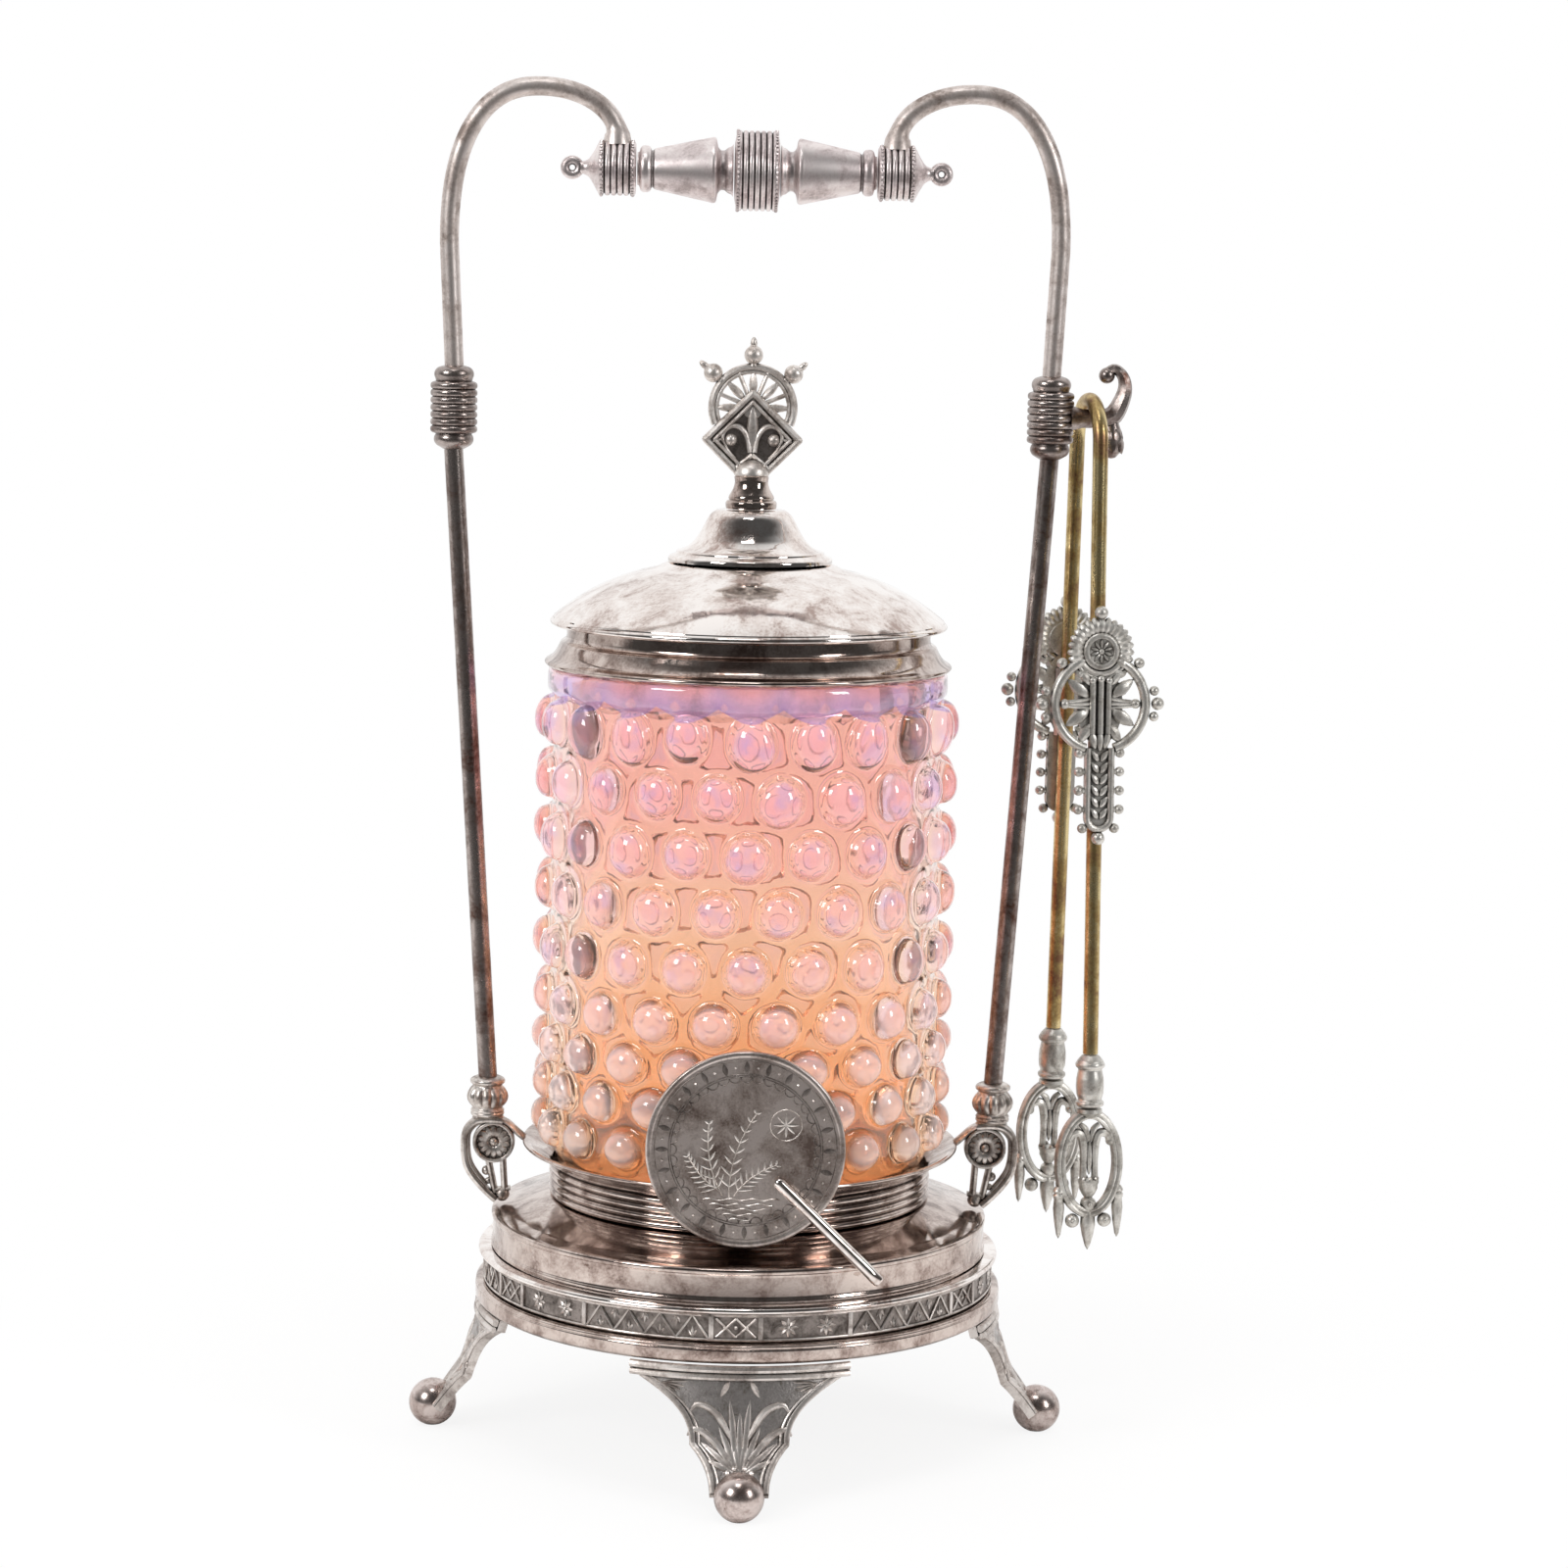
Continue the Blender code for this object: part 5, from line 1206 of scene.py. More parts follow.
# ---------------------------------------------------------------- jar and lid

@dataclass
class Jar(Part):
    """The hobnail glass jar, each hob grown from its own cell of the wall."""

    bottom: float = 56.7
    foot_radius: float = 41.4
    foot_height: float = 6.8
    body_radius: float = 43.4
    band_radius: float = 44.9
    band_height: float = 6.2
    height: float = 118.2
    wall: float = 4.2
    floor: float = 5.0
    columns: int = 20
    lowest: float = 15.6
    lower_pitch: float = 9.5
    upper_pitch: float = 12.5
    lower_rows: int = 3
    upper_rows: int = 5
    zigzag: float = 0.17
    hob_height: float = 3.7
    hob_radius: float = 6.1
    small_hob_radius: float = 5.6
    dome: tuple[Point, ...] = ((1.0, 0.02), (0.93, 0.42), (0.78, 0.80), (0.42, 1.06))

    def build(self) -> None:
        """Grow and dress the jar."""
        dress("hobnail_jar", self.shape(), self.finishes.glass, "jar", body="jar",
              slot=Slot.GLASS, levels=2, sharp=180.0)

    def rows(self) -> list[float]:
        """Give the heights of the rows of hobs above the jar's bottom.

        Returns:
            The heights.
        """
        heights = [self.lowest]
        for index in range(self.lower_rows + self.upper_rows):
            pitch = self.lower_pitch if index < self.lower_rows else self.upper_pitch
            heights.append(heights[-1] + pitch)
        return heights

    def ring(self, shape: BMesh, radius: float, height: float, swing: float = 0.0,
             phase: int = 0) -> list[BMVert]:
        """Add a ring of points that may swing up and down in turn.

        Args:
            shape: the jar.
            radius: radius of the ring.
            height: its height above the jar's bottom.
            swing: how far its points go up and down.
            phase: 1 to start downwards.

        Returns:
            Its points.
        """
        count = self.columns * 2
        made = ops.create_circle(shape, segments=count, radius=radius)["verts"]
        for step, vert in enumerate(made):
            angle = math.tau * step / count
            lift = swing if (step + phase) % 2 == 0 else -swing
            vert.co = Vector((radius * math.sin(angle), -radius * math.cos(angle),
                              self.bottom + height + lift))
        return list(made)

    def join(self, shape: BMesh, chain: Sequence[list[BMVert]]) -> None:
        """Bridge each ring to the next.

        Args:
            shape: the jar.
            chain: the rings in order.
        """
        for lower, upper in zip(chain, chain[1:]):
            edges = {edge for verts in (lower, upper) for vert in verts
                     for edge in vert.link_edges if edge.other_vert(vert) in verts}
            ops.bridge_loops(shape, edges=list(edges))

    def shape(self) -> BMesh:
        """Part the wall into staggered cells by zigzag rings and raise a hob from each.

        Returns:
            The jar before subdivision.
        """
        rows = self.rows()
        parts = [rows[0] - self.lower_pitch / 2]
        parts += [(low + high) / 2 for low, high in zip(rows, rows[1:])]
        parts += [rows[-1] + self.upper_pitch * 0.42]
        count = self.columns * 2
        shape = bmesh.new()
        zigzags = []
        for index, height in enumerate(parts):
            pitch = self.lower_pitch if index <= self.lower_rows else self.upper_pitch
            swing = pitch * self.zigzag if index < len(rows) else -0.6
            zigzags.append(self.ring(shape, self.body_radius, height, swing, index + 1))
        cells = []
        for row, (lower, upper) in enumerate(zip(zigzags, zigzags[1:])):
            for column in range(self.columns):
                middle = (column * 2 + row % 2) % count
                spots = [(middle - 1) % count, middle, (middle + 1) % count]
                corners = [lower[spot] for spot in spots] + [upper[spot] for spot in spots[::-1]]
                cells.append((row, shape.faces.new(corners)))
        foot, band, top = self.foot_radius, self.band_radius, self.height
        inner, hem = self.body_radius - self.wall, top - self.band_height
        below = ((2, 0.6), (foot * 0.8, 0.3), (foot - 0.8, 0), (foot, 1.2),
                 (foot, self.foot_height))
        self.join(shape, [self.ring(shape, *spot) for spot in below] + [zigzags[0]])
        above = ((band, hem + 0.8, -1), (band, hem + 2.8), (band, top - 0.8), (band - 0.8, top),
                 (inner + 0.8, top), (inner, top - 0.8), (inner, top * 2 / 3), (inner, top / 3),
                 (inner, self.floor + 2), (inner - 2, self.floor), (2, self.floor))
        self.join(shape, [zigzags[-1]] + [self.ring(shape, *spot) for spot in above])
        # The two small rings left at the middle, of the foot and of the floor, are closed.
        for inside in (False, True):
            hole = [vert for vert in shape.verts if math.hypot(vert.co.x, vert.co.y) < 3
                    and (vert.co.z > self.bottom + 2) == inside]
            ops.contextual_create(shape, geom=hole)
        ops.recalc_face_normals(shape, faces=shape.faces)
        self.raise_hobs(shape, cells)
        return shape

    def raise_hobs(self, shape: BMesh, cells: list[tuple[int, BMFace]]) -> None:
        """Inset each cell four times and set the rings on a round dome.

        Args:
            shape: the jar.
            cells: the cells of its wall, each with its row.
        """
        chance = random.Random(12)
        faces = [cell for _, cell in cells]
        centres = {cell: cell.calc_center_median() for cell in faces}
        slump = {cell: (chance.uniform(-1, 1), chance.uniform(-1, 1), chance.random())
                 for cell in faces}
        small, large = self.small_hob_radius, self.hob_radius
        sizes = [small] * self.lower_rows + [(large + small) / 2] + [large] * self.upper_rows
        for share, lift in self.dome:
            ops.inset_individual(shape, faces=faces, thickness=0.4, depth=0.0)
            for row, cell in cells:
                self.set_ring(cell, centres[cell], sizes[row] * share, self.hob_height * lift, row,
                              slump[cell])
        for crown in ops.poke(shape, faces=faces)["verts"]:
            outward = Vector((crown.co.x, crown.co.y, 0)).normalized()
            crown.co += outward * self.hob_height * 0.10

    def set_ring(self, cell: BMFace, centre: Vector, size: float, lift: float,
                 row: int, slump: Spot) -> None:
        """Set the six corners of a cell on a circle in front of the wall.

        Args:
            cell: the cell.
            centre: middle of the cell on the wall.
            size: radius of the circle.
            lift: how far it stands out of the wall.
            row: the cell's row, as the upper ones ran while the glass was soft.
            slump: three chances, for the shift across, the shift down and the pull into a drop.
        """
        outward = Vector((centre.x, centre.y, 0)).normalized()
        side, upward = Vector((-outward.y, outward.x, 0)), Vector((0, 0, 1))
        soft, high = max(0, row - 4) / 4, lift / self.hob_height
        pull = 0.35 * soft if slump[2] > 0.6 else 0.0
        shift = side * slump[0] * (0.2 + 0.7 * soft) + upward * slump[1] * (0.2 + 0.5 * soft)
        foot = outward * self.body_radius + upward * centre.z + shift * min(1, high)
        lean = math.radians(70 if slump[0] > 0 else 110)
        for vert in cell.verts:
            spoke = vert.co - centre
            angle = math.atan2(spoke.z, spoke.dot(side))
            drop = 1 + pull * max(0, math.cos(angle + lean))
            around = side * math.cos(angle) + upward * math.sin(angle)
            sag = self.body_radius - math.sqrt(
                self.body_radius ** 2 - (size * math.cos(angle)) ** 2)
            vert.co = foot + around * size * drop + outward * (lift - sag * (1 - high / 2))


@dataclass
class Lid(Part):
    """The domed lid: flared skirt and neck, dome, bell-shaped pedestal and stem."""

    skirt_bottom: float = 175.2
    skirt_radius: float = 45.5
    skirt_height: float = 8.5
    neck_radius: float = 40.6
    ridge_radius: float = 41.9
    inside: float = 38.9
    dome_bottom: float = 184.0
    dome_radius: float = 44.3
    dome_rise: float = 13.0
    dome_edge: float = 1.3
    dome_curve: float = 3.0
    sheet: float = 1.2
    hole: float = 1.9
    pedestal_radius: float = 18.3
    pedestal_bottom: float = 198.6
    pedestal_height: float = 11.4
    stem_radius: float = 5.7
    stem_bottom: float = 210.3
    stem_height: float = 7.1

    def build(self) -> None:
        """Spin and dress the lid's parts; the bezel, stud and nut keep their CAD shape."""
        looks = self.finishes
        # The skirt takes the darker drum plate: brown blotches, plus a painted dark reflection.
        dress("flared_skirt", self.skirt(), looks.drum, "lid_skirt", body="lid")
        dress("raised_dome", self.dome(), looks.plate, "lid_dome", body="lid")
        dress("bell_pedestal", self.pedestal(), looks.plate, "lid_pedestal", body="lid")
        dress("turned_stem", self.stem(), looks.drum, "finial_stem", body="lid")
        for node, finish in (("lid_bezel", looks.plate), ("finial_stud", looks.wire),
                             ("finial_nut", looks.wire)):
            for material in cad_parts[node].material_slots:
                material.material = finish

    def skirt(self) -> BMesh:
        """Spin the flange that covers the jar's rim and the grooved neck above it.

        Returns:
            The skirt.
        """
        low, wide = self.skirt_bottom, self.skirt_radius
        high, edge = low + self.skirt_height, low + 1.3
        rise = high - edge
        ridge, neck = self.ridge_radius, self.neck_radius
        flange = [(wide - 0.4, low), (wide, low + 0.4), (wide - 0.1, edge - 0.4),
                  (wide - 1, edge + 0.1)]
        sweep = ((2.1, 0.06), (1.4, 0.16), (0.7, 0.32), (0.2, 0.47), (0, 0.53),
                 (neck + 0.4 - ridge, 0.58), (neck - ridge, 0.68), (neck - ridge, 1))
        rising = [(ridge + out, edge + rise * up) for out, up in sweep]
        inner = [(neck - self.sheet, high), (self.inside, edge + rise * 0.35), (self.inside, low)]
        return turned(rounded(flange + rising, 0.4) + inner, FINE, closed=True)

    def dome(self) -> BMesh:
        """Spin the dome with its rolled edge.

        Returns:
            The dome.
        """
        low, wide, sheet = self.dome_bottom, self.dome_radius, self.sheet
        edge = low + self.dome_edge
        crest = edge + self.dome_rise
        shares = [0.985, 0.96, 0.92, 0.87, 0.81, 0.74, 0.66, 0.57, 0.48]
        crown = {share: edge + self.dome_rise * (1 - share ** self.dome_curve) for share in shares}
        roll = [(self.neck_radius - sheet, low), (wide - 1.2, low), (wide, low + 0.4),
                (wide, low + 1.1), (wide - 0.6, edge + 0.3)]
        outer = [(wide * share, crown[share]) for share in shares]
        top = [(self.pedestal_radius + 1.2, crest - 0.6), (self.pedestal_radius, crest),
               (self.hole, crest), (self.hole, crest - sheet)]
        inner = [((wide - sheet * 2) * share, crown[share] - sheet)
                 for share in reversed(shares[1::2])]
        return turned(rounded(roll, 0.4) + outer + top + inner, FINE, closed=True)

    def pedestal(self) -> BMesh:
        """Spin the bell with its wide foot ring.

        Returns:
            The pedestal.
        """
        shares = ((1, 0), (1, 0.09), (0.93, 0.13), (0.90, 0.16), (0.90, 0.20), (0.84, 0.22),
                  (0.75, 0.29), (0.67, 0.42), (0.61, 0.57), (0.56, 0.72), (0.53, 0.82),
                  (0.50, 0.90), (0.46, 0.96), (0.42, 1))
        outline = scaled(shares, self.pedestal_radius, self.pedestal_height, self.pedestal_bottom)
        return solid(outline, 0.5, 96, self.hole)

    def stem(self) -> BMesh:
        """Spin the stem: rings below, a hollow and a flared neck.

        Returns:
            The stem.
        """
        shares = ((0.97, 0), (1, 0.05), (1, 0.20), (0.96, 0.25), (0.86, 0.28), (0.90, 0.33),
                  (0.88, 0.40), (0.80, 0.50), (0.72, 0.62), (0.67, 0.74), (0.65, 0.86),
                  (0.67, 0.95), (0.68, 1))
        outline = scaled(shares, self.stem_radius, self.stem_height, self.stem_bottom)
        return solid(outline, 0.3, 48)


@dataclass
class Finial(Part):
    """The cast finial: bordered diamond with a lily, spoked wheel and three tipped balls."""

    centre: float = 225.59
    half: float = 11.6
    drop: float = 0.32
    wheel_radius: float = 9.8
    wheel_band: float = 1.6
    wheel_rise: float = 7.0
    hub_radius: float = 2.2
    spokes: int = 16
    foot: float = -8.2
    tip_angles: tuple[float, ...] = (90.0, 40.5, 139.5)

    def build(self) -> None:
        """Build and dress the finial."""
        place = CASTOR @ move(0, 0, self.centre)
        form = Form()
        self.diamond(form)
        self.lily(form)
        self.wheel(form)
        self.tips(form)
        dress("cast_finial", form, self.finishes.wiped, "finial", place, "lid", Slot.CASTING)
        dress("finial_field", slab(self.corners(self.half - 0.4), -0.4, 0.4),
              self.finishes.recess, "", place, "lid", Slot.CASTING)

    def corners(self, reach: float) -> list[Point]:
        """Give the diamond's corners, its lowest one cut off.

        Args:
            reach: half its width.

        Returns:
            The corners.
        """
        flat = self.half * self.drop
        return [(flat, flat - reach), (reach, 0), (0, reach), (-reach, 0), (-flat, flat - reach)]

    def diamond(self, form: Form) -> None:
        """Add the double raised border of the diamond on both faces.

        Args:
            form: the finial.
        """
        for inset, radius, out in ((0.9, 0.85, 0.4), (2.3, 0.4, 0.9)):
            size = 1 - inset / self.half * 1.41
            shrunk = scaled(self.corners(self.half), size, size)
            for face in (-out, out):
                for first, last in zip(shrunk, shrunk[1:]):
                    form.line([first, last], radius, face, 10)
                for across, up in shrunk:
                    form.bead(across, up, radius, face, 10)

    def lily(self, form: Form) -> None:
        """Add the lily on both faces, a tall leaf between two scrolls, and the half ball below.

        Args:
            form: the finial.
        """
        face, out = Form(), 0.6
        face.scroll([(0.5, -2.8), (1.1, 0.5), (2.6, 2.6), (4.5, 3), (6.1, 2), (6.6, 0.3),
                     (5.8, -1.4)], [0.6, 0.6, 0.6, 0.5, 0.5, 0.4], out)
        face.scroll([(6.2, -1.2), (5.2, -2.8), (3.8, -4.2)], [0.4, 0.4, 0.3], out)
        face.bead(4.8, -0.1, 1.4, out - 0.2, 14)
        face.line([(0, -3.3), (3.9, -6.6)], 0.5, out)
        face.leaf(at(8.9, -0.6, out, -70), 2.6, 1, 1)
        face.copies([MIRROR_X])
        face.leaf(at(0, -2.8, out), 10.8, 2.6, 1.8)
        face.copies([MIRROR_Y])
        form.add(face.mesh)
        cup = [(0, 0), (3.6, 0), (3.9, 0.4), (3.9, 1), (3.5, 2.2), (2.5, 3.2), (1.3, 3.7), (0, 3.8)]
        form.add(turned(cup, 32), at(0, self.foot))

    def wheel(self, form: Form) -> None:
        """Add the wheel behind the diamond: double rim and spokes in turn leaf and bar.

        Args:
            form: the finial.
        """
        up, hub = self.wheel_rise, self.hub_radius
        for inset, size in ((0.7, 0.85), (1.8, 0.5)):
            form.line(arc((0, up), self.wheel_radius - inset, -24, 204, 56), size, 0, 10)
        length = self.wheel_radius - self.wheel_band - hub
        for index in range(self.spokes * 5 // 8 + 1):
            place = at(0, up, 0, 360 / self.spokes * (index - self.spokes * 5 / 16), hub)
            if index % 2:
                form.leaf(place, length + 0.4, 1.9, 1.6)
            else:
                form.add(swept([(0, 0, 0), (0, 0, length + 0.3)], [0.5], 8), place)
        rim = [(0, -0.7), (hub, -0.7), (hub + 0.4, 0), (hub, 0.7), (0, 0.7)]
        form.add(turned(rim, 24), at(0, up) @ rotate(90, "X"))

    def tips(self, form: Form) -> None:
        """Add the three onion-shaped balls with their points.

        Args:
            form: the finial.
        """
        outline = [(0, -2.5), (1, -2.4)] + arc((0, 0), 2.1, -66, 62, 14)
        outline += [(0.7, 2.2), (0.8, 2.6), (0.6, 3.4), (0.3, 3.9), (0, 4)]
        for angle in self.tip_angles:
            turn = 90 - angle
            form.add(turned(outline, 24), at(0, self.wheel_rise, 0, turn, self.wheel_radius + 1.9))


# ---------------------------------------------------------------- handle frame

@dataclass
class HandleSide(Part):
    """One side of the handle frame: bracket, knop, rods, collar, end block and cone."""

    side: Side
    knop_offset: float = 57.3
    knop_bottom: float = 72.1
    knop_height: float = 8.8
    knop_radius: float = 4.7
    knop_lobes: int = 12
    bracket_depth: float = 4.0
    bracket_top: float = 71.8
    bracket_reach: float = 63.3
    wheel_offset: float = 55.8
    wheel_drop: float = 5.9
    wheel_radius: float = 4.7
    band: float = 1.6
    strut: float = 2.0
    foot_inset: float = 3.6
    rod_radius: float = 2.1
    collar_offset: float = 66.2
    collar_bottom: float = 222.4
    collar_length: float = 18.4
    collar_radius: float = 5.2
    shoulder: Point = (67.5, 268.0)
    top: Point = (47.5, 302.1)
    inner_drop: float = 10.8
    bar_height: float = 284.6
    barrel_length: float = 9.9
    cone_length: float = 21.1
    cone_radius: float = 7.2
    block_length: float = 8.3
    block_radius: float = 6.0
    block_tip: float = 3.9

    def build(self) -> None:
        """Build and dress this side."""
        name, looks = self.side.name.lower(), self.finishes
        flip = CASTOR @ Matrix.Scale(self.side.value, 4, (1, 0, 0))
        dress(f"{name}_wheel_bracket", self.bracket(), looks.bronze, f"{name}_bracket", flip,
              slot=Slot.CASTING)
        dress(f"{name}_melon_knop", self.knop(), looks.bronze, f"{name}_knop", flip)
        foot = Vector((self.knop_offset, 0, self.knop_bottom + self.knop_height))
        head = Vector((self.collar_offset, 0, self.collar_bottom))
        straight = [tuple(foot.lerp(head, step / 8)) for step in range(9)]
        dress(f"{name}_upright", swept(straight, [self.rod_radius], 24), looks.rod,
              f"{name}_lower_rod", flip)
        dress(f"{name}_ribbed_collar", self.collar(), looks.rod, f"{name}_mid_collar", flip)
        dress(f"{name}_arch", self.arch(), looks.arch, f"{name}_arch_rod", flip)
        start = self.barrel_length / 2 + 0.3
        for piece, form, node in (("tapered_grip", self.cone(), "grip_cone"),
                                  ("ribbed_block", self.block(), "end_block")):
            dress(f"{name}_{piece}", form, looks.satin, f"{name}_{node}",
                  flip @ move(start, 0, self.bar_height) @ rotate(90, "Y"))
            start += self.cone_length + 0.3

    def knop(self) -> Form:
        """Spin the melon knop and press its flutes.

        Returns:
            The knop.
        """
        shares = ((0.78, 0), (0.82, 0.05), (0.78, 0.09), (0.82, 0.13), (0.76, 0.17), (0.72, 0.20),
                  (0.86, 0.28), (0.97, 0.38), (1, 0.48), (0.96, 0.58), (0.84, 0.69), (0.70, 0.77),
                  (0.72, 0.80), (0.84, 0.84), (0.84, 0.92), (0.76, 0.96), (0.60, 1))
        shape = solid(scaled(shares, self.knop_radius, self.knop_height), 0.3, 72)
        low, high = self.knop_height * 0.21, self.knop_height * 0.76
        for vert in shape.verts:
            if low < vert.co.z < high:
                swell = math.sin(math.pi * (vert.co.z - low) / (high - low)) ** 0.5
                wave = abs(math.cos(self.knop_lobes / 2 * math.atan2(vert.co.y, vert.co.x)))
                pinch = 1 - 0.12 * swell * (1 - wave) ** 1.5
                vert.co.x, vert.co.y = vert.co.x * pinch, vert.co.y * pinch
        return Form().add(shape, move(self.knop_offset, 0, self.knop_bottom))

    def bracket(self) -> Form:
        """Build the openwork bracket: scrolled band, wheel and struts, alike on both faces.

        Returns:
            The bracket.
        """
        across, up = self.wheel_offset, self.bracket_top - self.wheel_drop
        half, thick = self.bracket_depth / 2, self.band / 2
        top, foot = self.bracket_top - thick, across - self.foot_inset
        form = Form()
        bow = shifted([(-0.6, -13.4), (1.8, -11.2), (4.6, -8), (6.2, -5),
                       (self.bracket_reach - across - thick, -0.8), (6.3, 2.4), (4.2, 4.6),
                       (1.2, top - up), (-2, top - up - 0.2)], across, up)
        hoop = smooth_path(bow, 6)
        inner = [(across + (x - across) * 0.86, up + (z - up) * 0.9) for x, z in hoop[6:-3]]
        for out in (thick - half, half - thick):
            form.line(hoop, thick, out, 10)
            form.line(inner, thick / 2, out * 0.94, 8)
        core = [(across + (x - across) * 0.94, up + (z - up) * 0.96) for x, z in hoop]
        form.line(core, thick * 0.6, 0, 8, 3.6)
        arm = shifted([(-1.4, top - up), (-3.2, 4.2), (-5.4, 2.2), (-6.8, 1)], across, up)
        form.line(smooth_path(arm, 5), 0.8, 0, 10, 2.2)
        pad = turned(rounded([(0, 0), (3.8, 0), (3.4, 0.7), (0, 0.8)], 0.3), 28)
        form.add(pad, move(self.knop_offset - 0.2, 0, self.bracket_top - 0.6)
                 @ Matrix.Diagonal((1, 0.48, 1, 1)))
        low, rim, edge = half - 1.5, self.wheel_radius, half - 0.2
        disc = [(0, -low), (rim - 0.9, -low), (rim - 0.7, -edge), (rim, -edge), (rim + 0.1, 0),
                (rim, edge), (rim - 0.7, edge), (rim - 0.9, low), (0, low)]
        form.add(turned(rounded(disc, 0.2), 36), at(across, up) @ rotate(90, "X"))
        face, petals = Form(), 14
        face.rays([360 / petals * index for index in range(petals)], (across, up, low + 0.2), 0.8,
                  (rim - 1.4, 1.9, 1.2), 6)
        face.bead(across, up, 1, low + 0.3)
        face.copies([MIRROR_Y])
        form.add(face.mesh)
        for start, end in (((across - 2.1, up - 3.8), (foot + 1, up - 12.2)),
                           ((across + 1.2, up - 4.2), (across - 0.4, up - 11.8))):
            form.line([start, end], self.strut * 0.4, 0, 10, 1.5)
        form.bead(across + 1.6, up - 6.8, 1.1, 0, 14)
        form.bead(across + 1.2, up - 9.2, 0.8)
        form.line([(foot - 0.2, up - 10.8), (across - 0.4, up - 11.2)], 0.6, 0, 10, 2)
        form.bead(foot + 1.6, up - 12.2, 1.7, 0, 16)
        return form

    def collar(self) -> Form:
        """Spin the collar: rounded caps and fine ribs.

        Returns:
            The collar.
        """
        cap, wide, neck, length = 3.6, 4.3, self.rod_radius + 0.2, self.collar_length
        outline = [(0, 0), (neck, 0)] + arc((wide - 1.6, 2.2), 1.7, -60, 40, 8)
        outline += [(wide - 0.3, cap - 0.2)]
        outline += ribbed(self.collar_radius, 0.5, cap, length - cap * 2, 7)
        outline += [(wide - 0.3, length - cap + 0.2)]
        outline += arc((wide - 1.6, length - 1.9), 1.7, -30, 70, 8) + [(neck, length), (0, length)]
        return Form().add(turned(outline, 48), move(self.collar_offset, 0, self.collar_bottom))

    def arch(self) -> Form:
        """Bend the arch rod from the collar over to the end block, with its flared foot.

        Returns:
            The arch.
        """
        across, up = self.top
        block = self.barrel_length / 2 + 0.6 + self.cone_length + self.block_length / 2
        high = self.bar_height + self.block_radius
        points = [(self.collar_offset, self.collar_bottom + self.collar_length - 0.2)]
        points += oval((across, self.shoulder[1]), self.shoulder[0] - across,
                       up - self.shoulder[1], 2.4, 0, 90, 30)
        points += oval((across, up - self.inner_drop), across - block, self.inner_drop, 2,
                       90, 176, 20)[1:]
        points.append((block, high - 0.8))
        path = [(spot[0], 0, spot[1]) for spot in points]
        flare = [2.1, 2.2, 2.4, 2.8, 3.2]
        radii = [self.rod_radius] * (len(path) - len(flare)) + flare
        form = Form().add(swept(path, radii, 24))
        for out in (-1.2, 1.2):
            for turn in (164, 196):
                place = at(block - (180 - turn) * 0.02, high + 4.2, out, turn)
                form.leaf(place, 5.2, 2.6, 1.8)
        return form

    def cone(self) -> BMesh:
        """Spin the tapered grip: dark neck, wide end, plain taper and a bead ring.

        Returns:
            The grip.
        """
        shares = ((0.80, 0), (0.72, 0.02), (0.70, 0.05), (0.60, 0.09), (0.60, 0.13), (0.70, 0.16),
                  (0.94, 0.175), (1, 0.19), (1, 0.215), (0.985, 0.235), (0.62, 0.82),
                  (0.56, 0.835), (0.56, 0.85), (0.66, 0.86), (0.71, 0.89), (0.71, 0.94),
                  (0.66, 0.965), (0.50, 0.98), (0.50, 1))
        return solid(scaled(shares, self.cone_radius, self.cone_length), 0.3, 56)

    def block(self) -> Form:
        """Spin the ribbed block with its conical tip and eyelet.

        Returns:
            The block.
        """
        wide, length = self.block_radius, self.block_length
        end = length + self.block_tip
        tip = [(wide - 0.6, length), (wide * 0.82, length + 0.3), (wide * 0.62, length + 0.9),
               (2, length + 2), (1.4, length + 3), (1.4, end)]
        outline = [(0, 0)] + ribbed(wide, 0.6, 0, length, 6) + rounded(tip, 0.6) + [(0, end)]
        form = Form().add(turned(outline, 48))
        for height in (length / 12, length * 11 / 12):
            form.milling(36, wide * 0.985, height)
        eye = turned(arc((1.6, 0), 1, 0, 330, 11), 28, closed=True)
        return form.add(eye, move(0, 0, end + 1.8) @ rotate(90, "X"))


@dataclass
class Barrel(Part):
    """The ribbed middle of the crossbar."""

    radius: float = 8.8
    length: float = 9.9
    rib_depth: float = 0.6
    ribs: int = 7
    bar_height: float = 284.6

    def build(self) -> None:
        """Spin and dress the barrel."""
        wide, length = self.radius, self.length
        ribs = ribbed(wide, self.rib_depth, 0.4, length - 0.8, self.ribs)
        outline = [(0, 0), (wide * 0.7, 0)] + ribs + [(wide * 0.7, length), (0, length)]
        form = Form().add(turned(outline, 72))
        for rib in (0.5, self.ribs - 0.5):
            form.milling(54, wide - 0.1, length / self.ribs * rib)
        place = CASTOR @ move(-length / 2, 0, self.bar_height) @ rotate(90, "Y")
        dress("ribbed_barrel", form, self.finishes.satin, "grip_barrel", place)


